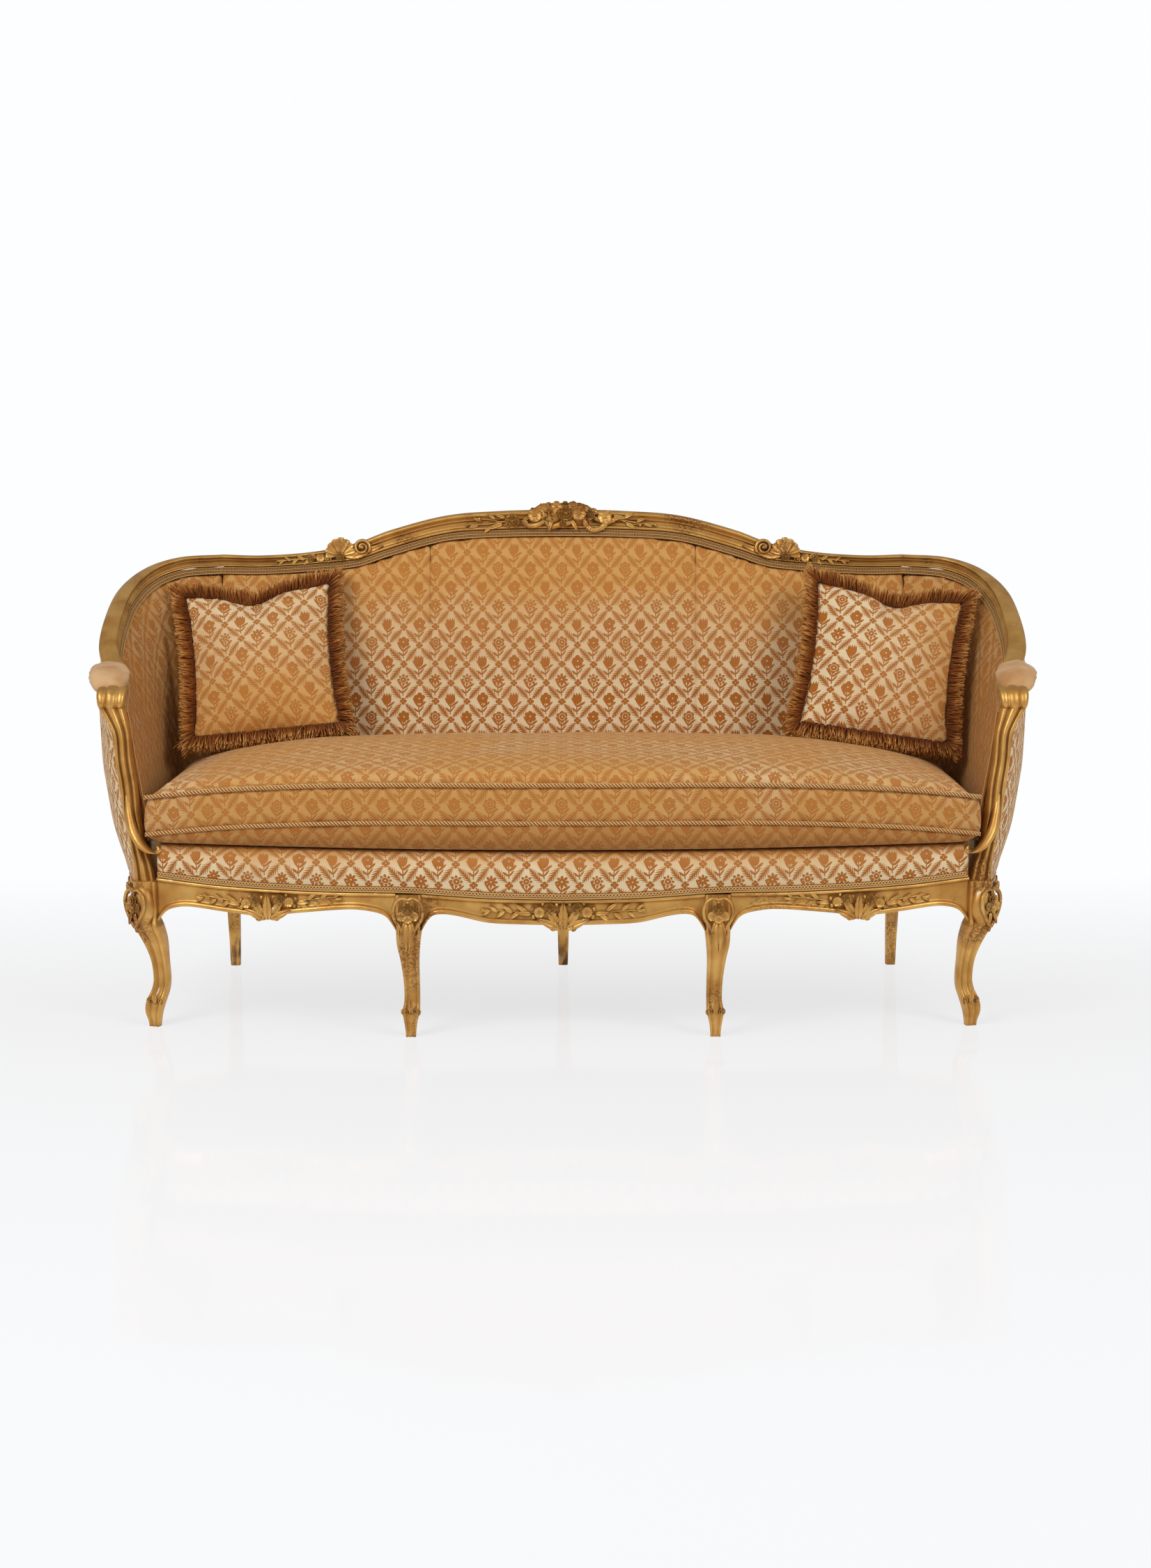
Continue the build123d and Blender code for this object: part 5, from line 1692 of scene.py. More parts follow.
@dataclass(frozen=True)
class Carver:
    """Cuts the stock of motifs, one unit long, growing along Y with the face to Z."""

    leaf_section: tuple = ((-1, 0.0), (-0.62, 0.055), (-0.2, 0.035), (0, -0.012), (0.2, 0.035),
                           (0.62, 0.055), (1, 0.0), (0.6, -0.11), (-0.6, -0.11))
    petal_section: tuple = ((-1, 0.05), (-0.7, 0.045), (-0.3, 0.012), (0, 0.0), (0.3, 0.012), (0.7, 0.045),
                            (1, 0.05), (0.7, -0.06), (-0.7, -0.06))
    flute_section: tuple = ((-1, -0.02), (-0.75, 0.06), (-0.3, 0.03), (0, 0.015), (0.3, 0.03), (0.75, 0.06),
                            (1, -0.02), (0.7, -0.16), (-0.7, -0.16))

    def blade(self, name: str, rows: Sequence[tuple[float, float, float]], section: tuple) -> Piece:
        """A blade whose width and rise change along its length.

        Args:
            name: its name.
            rows: length, half width and rise of each station.
            section: the points of its section.

        Returns:
            The blade.
        """
        return refined(drawn(name, [[Vector((a * half, along, rise + h)) for a, h in section]
                                    for along, half, rise in rows]))

    def leaf(self, name: str, lobes: float, half: float, curl: float) -> Piece:
        """A leaf with a groove down its middle, cut into lobes along its edges.

        Args:
            name: its name.
            lobes: how many lobes each edge has; 0 for a plain edge.
            half: its half width.
            curl: how far its tip curls out.

        Returns:
            The leaf.
        """
        rows = []
        for t in spread(0, 1, 16 if lobes else 8):
            body = math.sin(math.pi * (0.03 + 0.955 * t) ** 0.72) ** 0.75
            notch = 1 - 0.42 * ((t * lobes + 0.25) % 1.0) if lobes else 1.0
            rows.append((t, half * body * notch, 0.10 * math.sin(math.pi * t) + curl * t**3))
        return self.blade(name, rows, self.leaf_section)

    def rosette(self, name: str, petal: Piece, layers: Sequence[tuple[int, float, float, float]],
                heart: float) -> Piece:
        """Petals in layers round a heart.

        Args:
            name: its name.
            petal: the petal.
            layers: for each layer its count, size, rise and tilt in degrees.
            heart: size of the heart.

        Returns:
            The flower.
        """
        places = []
        for layer, (count, size, rise, tilt) in enumerate(layers):
            for n in range(count):
                turn = Matrix.Rotation(math.tau * (n + 0.5 * layer) / count, 4, "Z")
                up = Matrix.Translation((0, 0, rise + 0.012 * (n % 2)))
                places.append(up @ turn @ Matrix.Rotation(math.radians(tilt), 4, "X") @ Matrix.Scale(size, 4))
        berry = self.berry()
        piece = joined(name, [placed(petal, name, places),
                              placed(berry, "heart", [Matrix.Translation((0, 0, layers[-1][2] + 0.02))
                                                      @ Matrix.Scale(heart, 4)])])
        discard(berry)
        return piece

    def berry(self) -> Piece:
        """A berry that is drawn out a little."""
        piece = primitive("uv_sphere", "berry", segments=10, ring_count=6, radius=0.5)
        bpy.ops.transform.resize(value=(0.9, 1.1, 0.9))
        bpy.ops.object.mode_set(mode="OBJECT")
        return piece

    def boss(self) -> Piece:
        """A smooth swelling, taller than wide, that flowers are set on."""
        piece = primitive("uv_sphere", "boss", segments=20, ring_count=12, radius=0.5)
        bpy.ops.transform.resize(value=(0.68, 1.0, 0.5))
        bpy.ops.object.mode_set(mode="OBJECT")
        return piece

    def volute(self) -> Piece:
        """A scroll that winds in to its eye."""
        line, widths = [], []
        for k in range(35):
            t = k / 34
            angle, reach = math.radians(-90 + 620 * t), 0.42 * (1 - t) ** 0.75 + 0.06
            line.append(Vector((reach * math.cos(angle), reach * math.sin(angle), 0.05 + 0.16 * t)))
            widths.append(0.22 - 0.09 * t)
        eye = self.berry()
        piece = joined("volute", [limb("volute", line, widths, Vector((0, 0, 1)), 8, 1.3),
                                  placed(eye, "eye", [Matrix.Translation((0, 0, 0.22))
                                                      @ Matrix.Scale(0.26, 4)])])
        discard(eye)
        return piece

    def stock(self) -> dict[Motif, Piece]:
        """Cut one of each motif."""
        petal_rows = [(0.02, 0.06, 0.02), (0.14, 0.17, 0.0), (0.27, 0.28, 0.02), (0.40, 0.29, 0.06),
                      (0.475, 0.21, 0.09), (0.50, 0.08, 0.10)]
        petal = self.blade("petal", petal_rows, self.petal_section)
        spear = self.leaf("spear", 0, 0.16, 0.05)
        flute_rows = [(0.02, 0.05, 0.0), (0.3, 0.11, 0.05), (0.6, 0.18, 0.08), (0.85, 0.23, 0.12),
                      (0.96, 0.19, 0.11), (1.0, 0.09, 0.07)]
        stock = {
            Motif.LEAF: self.leaf("leaf", 0, 0.19, 0.04),
            Motif.ACANTHUS: self.leaf("acanthus", 5, 0.25, 0.12),
            Motif.FLOWER: self.rosette("flower", petal, [(5, 1.0, 0.0, 6)], 0.22),
            Motif.ROSE: self.rosette("rose", petal,
                                     [(5, 1.0, 0.0, 4), (5, 0.72, 0.09, 22), (3, 0.45, 0.18, 40)], 0.16),
            Motif.LILY: self.rosette("lily", spear, [(6, 0.52, 0.05, 14), (3, 0.34, 0.14, 40)], 0.14),
            Motif.BERRY: self.berry(),
            Motif.FLUTE: self.blade("flute", flute_rows, self.flute_section),
            Motif.VOLUTE: self.volute(),
            Motif.BOSS: self.boss(),
        }
        discard(petal, spear)
        return stock

    def set_on(self, stock: dict[Motif, Piece], name: str, face: Face, marks: Iterable[Mark],
               rods: Sequence[Piece] = ()) -> Piece:
        """Set motifs and stems on a face and make one piece of them.

        Args:
            stock: the motifs.
            name: the piece's name.
            face: gives frames on the face.
            marks: the motifs with their places.
            rods: stems, ribbons and frames that belong to it.

        Returns:
            The carving.
        """
        by_motif: dict[Motif, list[Matrix]] = {}
        for motif, along, up, turn, size, lift in marks:
            spun = Matrix.Rotation(math.radians(turn), 4, "Z")
            place = face(along, up, lift) @ spun @ Matrix.Scale(size * MM, 4)
            by_motif.setdefault(motif, []).append(place)
        parts = [placed(stock[motif], name, places) for motif, places in by_motif.items()]
        return joined(name, [*parts, *rods])

    def stem(self, face: Face, points: Sequence[tuple[float, float, float]], wide: float, flat: float = 0.8,
             pleat: float = 0.0, steps: int = 40) -> Piece:
        """A stem or a ribbon that follows points on a face.

        Args:
            face: gives frames on the face.
            points: along, up and lift of each point, in millimetres.
            wide: its width in millimetres.
            flat: its thickness as a share of its width.
            pleat: how far its pleats rise and fall, in millimetres.
            steps: how many steps it has.

        Returns:
            The stem.
        """
        line = []
        for k, (along, up, lift) in enumerate(eased(points, steps)):
            line.append(face(along, up, lift + pleat * (k % 2)).translation)
        end = [0.6, 0.85] if not pleat else [1.0, 1.0]
        widths = [wide * MM * share for share in [*end, *[1.0] * (len(line) - 4), *reversed(end)]]
        facing_out = face(points[0][0], points[0][1], 0).to_3x3() @ Vector((0, 0, 1))
        rod = limb("stem", line, widths, facing_out, 8, flat)
        return rod

    def sprig(self, first: float, last: float, up: float, size: float, count: int,
              lift: float = 2.0) -> list[Mark]:
        """Leaves by turns on both sides of a stem, smaller towards its end, which is a bud.

        Args:
            first: where it starts along the face.
            last: where its bud is.
            up: its height on the face.
            size: length of its first leaf.
            count: how many leaves it has.
            lift: how far it stands out.

        Returns:
            Its marks.
        """
        way = 90 if last < first else -90
        marks = []
        for k in range(count):
            t = k / count
            lean = 38 * (1 if k % 2 else -1)
            marks.append((Motif.LEAF, first + (last - first) * t, up + (2 if k % 2 else -2), way + lean,
                          size * (1 - 0.4 * t), lift))
        marks += [(Motif.LEAF, first + (last - first) * 0.86, up, way, size * 0.62, lift + 1),
                  (Motif.BERRY, last, up, way, size * 0.22, lift + 2)]
        return marks


@dataclass(frozen=True)
class Carving:
    """The flowers, shells, leaves and scrolls cut on the frame."""

    bouquet: tuple = (
        (Motif.BOSS, -30, 30, 90, 84, -8), (Motif.BOSS, 30, 30, 90, 84, -8),
        (Motif.FLOWER, -62, 31, 10, 32, 9), (Motif.LILY, -31, 37, 8, 46, 12),
        (Motif.ROSE, 6, 36, 0, 36, 13), (Motif.FLOWER, 36, 34, 30, 31, 12), (Motif.ROSE, 60, 33, 0, 24, 8),
        (Motif.FLOWER, -45, 47, 40, 22, 4), (Motif.FLOWER, -14, 50, 0, 25, 6),
        (Motif.FLOWER, 22, 51, 50, 23, 6), (Motif.FLOWER, 46, 46, 20, 20, 4),
        (Motif.LEAF, -24, 24, 165, 30, 12), (Motif.LEAF, 18, 22, -150, 30, 12),
        (Motif.LEAF, 4, 14, 20, 26, 12), (Motif.LEAF, -4, 14, -30, 24, 11),
        (Motif.LEAF, -70, 30, 120, 26, 3), (Motif.LEAF, 66, 28, -120, 26, 3),
        (Motif.FLOWER, -66, 40, 20, 17, 4), (Motif.FLOWER, 68, 39, 20, 17, 4),
        (Motif.ROSE, -32, 50, 0, 20, 2), (Motif.ROSE, 5, 51, 0, 22, 2), (Motif.FLOWER, 36, 48, 0, 22, 2),
        (Motif.ROSE, 0, 11, 0, 17, 14), (Motif.BERRY, -40, 25, 0, 8, 12), (Motif.BERRY, 26, 24, 0, 7, 14),
        (Motif.ROSE, -113, 19, 0, 33, 6), (Motif.LEAF, -128, 26, 70, 26, 3),
        (Motif.LEAF, -134, 14, 110, 34, 3), (Motif.LEAF, -150, 24, 55, 22, 3),
        (Motif.LEAF, -160, 8, 130, 24, 4), (Motif.LEAF, -182, 22, 70, 20, 3),
        (Motif.BERRY, -186, 26, 0, 8, 4), (Motif.LEAF, -188, 12, 100, 24, 3),
        (Motif.BERRY, -213, 14, 0, 8, 4), (Motif.LEAF, -104, 6, 60, 20, 5),
        (Motif.FLOWER, 93, 27, 12, 32, 6), (Motif.LEAF, 108, 20, -70, 26, 3),
        (Motif.LEAF, 112, 30, -100, 30, 3), (Motif.LEAF, 136, 26, -60, 26, 3),
        (Motif.LEAF, 140, 16, -120, 28, 3), (Motif.LEAF, 164, 20, -70, 24, 3),
        (Motif.BERRY, 172, 12, 0, 8, 4), (Motif.LEAF, 180, 16, -110, 22, 3),
        (Motif.BERRY, 206, 14, 0, 8, 4), (Motif.LEAF, 84, 12, -160, 18, 5))
    pendant: tuple = (
        (Motif.ACANTHUS, 0, -8, 0, 58, 7), (Motif.ACANTHUS, -3, -5, 36, 54, 5),
        (Motif.ACANTHUS, 3, -5, -36, 54, 5), (Motif.LEAF, -4, -6, 66, 52, 6),
        (Motif.LEAF, 4, -6, -66, 52, 6), (Motif.ROSE, -27, 34, 0, 25, 10), (Motif.ROSE, 27, 34, 0, 25, 10),
        (Motif.FLOWER, -47, 27, 0, 22, 7), (Motif.FLOWER, 47, 27, 0, 22, 7),
        (Motif.BERRY, -60, 32, 0, 9, 5), (Motif.BERRY, 60, 32, 0, 9, 5), (Motif.BERRY, -58, 17, 0, 10, 6),
        (Motif.BERRY, 58, 17, 0, 10, 6), (Motif.BERRY, -13, 42, 0, 9, 9), (Motif.BERRY, 13, 42, 0, 9, 9),
        (Motif.BERRY, -40, 42, 0, 8, 6), (Motif.BERRY, 40, 42, 0, 8, 6),
        (Motif.VOLUTE, -19, -3, 200, 15, 8), (Motif.VOLUTE, 19, -3, -20, 15, 8),
        (Motif.LEAF, -62, 22, 85, 30, 3), (Motif.LEAF, 62, 22, -85, 30, 3))
    ribbon: tuple = ((-88, 20, 8), (-76, 8, 8), (-56, 10, 10), (-40, 18, 9), (-26, 6, 10), (-4, 11, 13),
                     (12, 14, 12), (26, 24, 9), (44, 20, 9), (54, 6, 9), (68, -2, 9), (86, 3, 9),
                     (98, 15, 8), (114, 22, 6))
    heart: tuple = ((0, 2), (-13, 17), (-25, 36), (-29, 54), (-24, 70), (-11, 79), (0, 76), (11, 79),
                    (24, 70), (29, 54), (25, 36), (13, 17), (0, 2))
    nosegay: tuple = (
        (Motif.ROSE, 0, 58, 0, 25, 4), (Motif.FLOWER, -12, 44, 0, 20, 4), (Motif.FLOWER, 12, 44, 0, 20, 4),
        (Motif.FLOWER, 0, 38, 30, 17, 6), (Motif.BERRY, 0, 70, 0, 8, 3), (Motif.LEAF, -3, 34, 158, 30, 4),
        (Motif.LEAF, 3, 34, -158, 30, 4), (Motif.LEAF, 0, 30, 180, 58, 4))
    shell_x: float = -495.0
    shell_up: float = 18.0
    eye_x: float = -447.0
    side_x: float = -585.0

    def build(self) -> None:
        """Cut every motif and set it in its place."""
        carver = Carver()
        stock = carver.stock()
        self.crest(carver, stock)
        self.shell(carver, stock)
        self.rails(carver, stock)
        self.legs(carver, stock)
        discard(*stock.values())

    def finished(self, piece: Piece, twin: Optional[str] = None) -> None:
        """Gild a carving, and its twin on the right where it has one.

        Args:
            piece: the carving.
            twin: the twin's name.
        """
        shaded(piece, CARVED_ANGLE)
        if twin:
            dressed(shaded(mirrored(piece, twin), CARVED_ANGLE), WornGilding())
        dressed(piece, WornGilding())

    def crest(self, carver: Carver, stock: dict[Motif, Piece]) -> None:
        """The bouquet at the middle of the crest with its ribbon and trailing stems.

        Args:
            carver: cuts stems and sprigs.
            stock: one of each motif.
        """
        rods = [carver.stem(crest_face, self.ribbon, 11, 0.32, 1.6, 84),
                carver.stem(crest_face, ((-96, 14, 3), (-130, 18, 2), (-165, 14, 2), (-212, 14, 2)), 4),
                carver.stem(crest_face, ((-140, 18, 2), (-165, 24, 2), (-186, 26, 2)), 3, steps=14),
                carver.stem(crest_face, ((96, 24, 3), (130, 22, 2), (168, 16, 2), (206, 14, 2)), 4),
                carver.stem(crest_face, ((128, 22, 2), (150, 14, 2), (172, 12, 2)), 3, steps=14)]
        self.finished(carver.set_on(stock, "carved_bouquet", crest_face, self.bouquet, rods))

    def shell(self, carver: Carver, stock: dict[Motif, Piece]) -> None:
        """The fluted shell on each side of the crest, its scroll and its trail of flowers.

        Args:
            carver: cuts stems and sprigs.
            stock: one of each motif.
        """
        marks = [(Motif.FLUTE, self.shell_x, self.shell_up - 4, turn, 41.0 - 8 * abs(turn + 10) / 100,
                  3 + 1.5 * (n % 2))
                 for n, turn in enumerate(spread(-100, 84, 8))]
        marks += [(Motif.ROSE, self.shell_x, self.shell_up - 6, 0, 20, 8),
                  (Motif.VOLUTE, self.eye_x, 24, 40, 38, 3),
                  (Motif.ACANTHUS, self.shell_x + 20, 6, -82, 46, 2),
                  (Motif.LEAF, self.eye_x + 10, 12, -86, 40, 1),
                  (Motif.VOLUTE, self.shell_x - 26, 8, 150, 16, 4),
                  (Motif.FLOWER, self.shell_x - 44, 13, 0, 20, 4),
                  (Motif.ROSE, self.shell_x - 66, 13, 0, 17, 4)]
        marks += carver.sprig(self.shell_x - 50, self.shell_x - 140, 12, 26, 6)
        rods = [carver.stem(crest_face, ((self.shell_x - 20, 11, 2), (self.shell_x - 80, 13, 2),
                                         (self.shell_x - 140, 12, 2)), 4)]
        self.finished(carver.set_on(stock, "carved_shell_left", crest_face, marks, rods),
                      "carved_shell_right")

    def rails(self, carver: Carver, stock: dict[Motif, Piece]) -> None:
        """The flower motifs of the front rail with a sprig to each side.

        Args:
            carver: cuts stems and sprigs.
            stock: one of each motif.
        """
        for name, middle, size, twin in (("carved_pendant_middle", 0.0, 1.0, None),
                                         ("carved_pendant_left", self.side_x, 0.92, "carved_pendant_right")):
            marks = [(m, middle + x * size, up * size, turn, length * size, lift)
                     for m, x, up, turn, length, lift in self.pendant]
            rods = []
            for way in (-1, 1):
                start, end = middle + way * 70 * size, middle + way * 158 * size
                marks += carver.sprig(start, end, 25 * size, 30 * size, 6, 3.0)
                rods.append(carver.stem(rail_face, ((start - way * 12, 23, 1), ((start + end) / 2, 26, 1),
                                                    (end, 25, 1)), 4))
            self.finished(carver.set_on(stock, name, rail_face, marks, rods), twin)

    def legs(self, carver: Carver, stock: dict[Motif, Piece]) -> None:
        """The cartouches on the leg tops, the collars over the feet and the leaf on the side rail.

        Args:
            carver: cuts stems and sprigs.
            stock: one of each motif.
        """
        inner = plane_face((-SEAT.inner_x, -388.0, 206.0), 0)
        outer = plane_face((-857.0, -291.0, 206.0), 42)
        for name, face, foot in (("carved_knee_inner", inner, (-302.0, -375.0, 51.0, 0)),
                                 ("carved_knee_outer", outer, (-825.0, -284.0, 52.0, 16))):
            line = [face(x, up, 1.5).translation for x, up in eased(self.heart, 60)]
            facing_out = face(0, 0, 0).to_3x3() @ Vector((0, 0, 1))
            rim = limb("rim", line, [7.5 * MM] * len(line), facing_out, 8, 1.3)
            collar = plane_face(foot[:3], foot[3])
            cuff = carver.set_on(stock, "cuff", collar, [
                (Motif.VOLUTE, -12, 1, 180, 15, -7), (Motif.VOLUTE, 12, 1, 0, 15, -7),
                (Motif.LEAF, 0, -4, 0, 30, -3)])
            marks = self.nosegay if face is inner else (*self.nosegay[:-1], (Motif.BOSS, 0, 42, 0, 92, -18),
                                                        (Motif.LEAF, 0, 24, 180, 34, -3))
            piece = carver.set_on(stock, f"{name}_left", face, marks, [rim, cuff])
            self.finished(piece, f"{name}_right")
        rib = WALL.arm_rib(6)
        turn = math.degrees(math.atan2(-rib.out.x, -rib.out.y))
        spot = (rib.foot + rib.out * 0.022) / MM
        side = plane_face((spot.x, spot.y, 248.0), turn)
        self.finished(carver.set_on(stock, "carved_leaf_left", side, [
            (Motif.ACANTHUS, 16, 9, 96, 46, 0), (Motif.LEAF, 14, 14, 60, 26, 0),
            (Motif.VOLUTE, 20, 6, 0, 20, 2),
            (Motif.LEAF, 24, 9, -84, 32, 0)]), "carved_leaf_right")


@dataclass(frozen=True)
class Weave:
    """One kind of braid, measured across its tape as shares of its width."""

    # Each row of loops: share across the tape, half length and half height of a loop in millimetres.
    rows: tuple[tuple[float, float, float], ...]
    cords: tuple[float, ...]
    pitch: float


@dataclass(frozen=True)
class GimpBraid:
    """The woven braid over the tacks: a tape with edge cords and rows of loops."""

    wide: float = 12.0
    thick: float = 3.0
    pad_edge: float = 12.0
    gap: float = 0.4
    cloth_clear: float = 0.9
    behind: float = 0.14
    dotted: Weave = Weave(((0.26, 2.7, 2.3), (0.74, 2.7, 2.3)), (0.04, 0.5, 0.96), 6.0)
    looped: Weave = Weave(((0.62, 3.9, 3.9),), (0.06, 0.20), 6.6)
    tape_in: float = 0.0016
    thread_in: float = 0.0009
    cord_wide: float = 0.0019
    loop_flat: float = 0.75
    loop_out: float = 2.4

    def build(self) -> None:
        """Lay every length of braid."""
        loop = primitive("torus", "loop", major_segments=9, minor_segments=4, major_radius=1.0,
                         minor_radius=0.34)
        bpy.ops.object.mode_set(mode="OBJECT")
        back = self.strip(WALL.back_ribs(-WALL.corner_x, WALL.corner_x, 120))
        side = self.strip(WALL.arm_ribs(0, WALL.arm_end, 90)[::-1])
        self.lay(loop, "braid_back", [back], self.dotted, ["gimp_back"])
        arm = self.lay(loop, "braid_arm_left", [side], self.dotted, ["gimp_back"])
        self.twin(arm, "braid_arm_right", ["gimp_back"])
        self.lay(loop, "braid_front", [self.front()], self.looped, ["gimp_front"])
        support = self.lay(loop, "braid_support_left", [self.beside(-1), self.beside(1)], self.looped,
                           ["gimp_support_left"])
        self.twin(support, "braid_support_right", ["gimp_support_right"])
        discard(loop)

    def twin(self, piece: Piece, name: str, stands_for: Sequence[str]) -> None:
        """The same length of braid on the right."""
        dressed(shaded(mirrored(piece, name), BRAID_ANGLE), Braid(), stands_for=stands_for)

    def strip(self, ribs: Sequence[Rib]) -> tuple[list[Vector], list[Vector]]:
        """Lower and upper edge of the braid under the top rail.

        Args:
            ribs: the ribs of the wall that it runs over.

        Returns:
            The lower and the upper edge.
        """
        low = [rib.below_head((self.wide + 2 * self.gap + 1) * MM, -(self.pad_edge + self.thick) * MM)
               for rib in ribs]
        high = [rib.below_head(self.gap * MM, -(self.pad_edge * 0.4 + self.thick) * MM) for rib in ribs]
        return low, high

    def front(self) -> tuple[list[Vector], list[Vector]]:
        """Lower and upper edge of the braid along the front rail."""
        low, high = [], []
        for x in spread(-SEAT.outer_x + SEAT.outer_block / 2 + 2, SEAT.outer_x - SEAT.outer_block / 2 - 2,
                        150):
            foot, z = SEAT.front_line(x) - 12 - self.gap - self.thick, smooth(SEAT.top, x) + 2 * self.gap
            low.append(Vector((x, foot, z)) * MM)
            high.append(Vector((x, foot - 1.3, z + self.wide)) * MM)
        return low, high

    def beside(self, sign: int) -> tuple[list[Vector], list[Vector]]:
        """Edges of the braid beside the arm support, inside (-1) or outside (1) the arm.

        Args:
            sign: -1 inside the arm, 1 outside it.

        Returns:
            The lower and the upper edge.
        """
        near, far = WALL.arm_rib(WALL.arm_end), WALL.arm_rib(WALL.arm_end - self.behind)
        if sign < 0:
            s0 = near.share_at(DECK_Z)
            s1 = 1 - (self.wide + 3 * self.gap) * MM / (near.head - near.foot).length
            full = near.pad_thick / MM
            rows = [(full * 0.75, s0), (full, s0 + 0.3 * (s1 - s0)),
                    (max(full * 0.8, 12), s0 + 0.65 * (s1 - s0)), (self.pad_edge, s0 + 0.9 * (s1 - s0)),
                    (self.pad_edge, s1)]
        else:
            rows = [(13, near.share_at(0.278)), (20, 0.22), (24, 0.5), (21.6, 0.82), (24, 0.995)]
        lines = []
        for rib in (near, far):
            lines.append([rib.at(sign * (a + self.cloth_clear + self.thick) * MM, s)
                          for a, s in eased(rows, 30)])
        return (lines[0], lines[1]) if sign > 0 else (lines[0][::-1], lines[1][::-1])

    def lay(self, loop: Piece, name: str, runs: Sequence[tuple[list[Vector], list[Vector]]], weave: Weave,
            stands_for: Sequence[str]) -> Piece:
        """Weave one piece of braid.

        Args:
            loop: the loop that is repeated.
            name: the piece's name.
            runs: lower and upper edge of each run.
            weave: its kind.
            stands_for: the CAD nodes that it replaces.

        Returns:
            The braid.
        """
        parts, places = [], []
        for low, high in runs:
            outs = []
            for k in range(len(low)):
                along = low[min(k + 1, len(low) - 1)] - low[max(k - 1, 0)]
                outs.append(along.cross(high[k] - low[k]).normalized())
            inner = [-out * (self.thick - 0.6) * MM for out in outs]
            tape = drawn("tape", [[a, b, b + i, a + i] for a, b, i in
                                  zip([p - o * self.tape_in for p, o in zip(low, outs)],
                                      [p - o * self.tape_in for p, o in zip(high, outs)], inner)])
            parts.append(mark(tape, "thread", np.zeros(len(tape.data.vertices))))
            for share in weave.cords:
                line = [a.lerp(b, share) - out * self.thread_in for a, b, out in zip(low, high, outs)]
                cord = limb("cord", line, [self.cord_wide] * len(line), outs[0], 6)
                parts.append(mark(cord, "thread", np.full(len(cord.data.vertices), 0.85)))
            run = np.concatenate([[0], np.cumsum([(b - a).length for a, b in zip(low, low[1:])])])
            half = weave.pitch / 2 * MM
            for where in np.arange(half, run[-1] - half, weave.pitch * MM):
                k = int(np.searchsorted(run, where)) - 1
                part = (where - run[k]) / (run[k + 1] - run[k])
                a, b = low[k].lerp(low[k + 1], part), high[k].lerp(high[k + 1], part)
                along, out = low[k + 1] - low[k], outs[k]
                for share, half_long, half_tall in weave.rows:
                    spot = framed(a.lerp(b, share) - out * self.thread_in, along, b - a)
                    places.append(spot @ Matrix.Diagonal((half_long * self.loop_flat * MM,
                                                          half_tall * self.loop_flat * MM,
                                                          self.loop_out * MM, 1)))
        loops = placed(loop, "loops", places)
        parts.append(mark(loops, "thread", np.ones(len(loops.data.vertices))))
        return dressed(shaded(joined(name, parts), BRAID_ANGLE), Braid(), stands_for=stands_for)


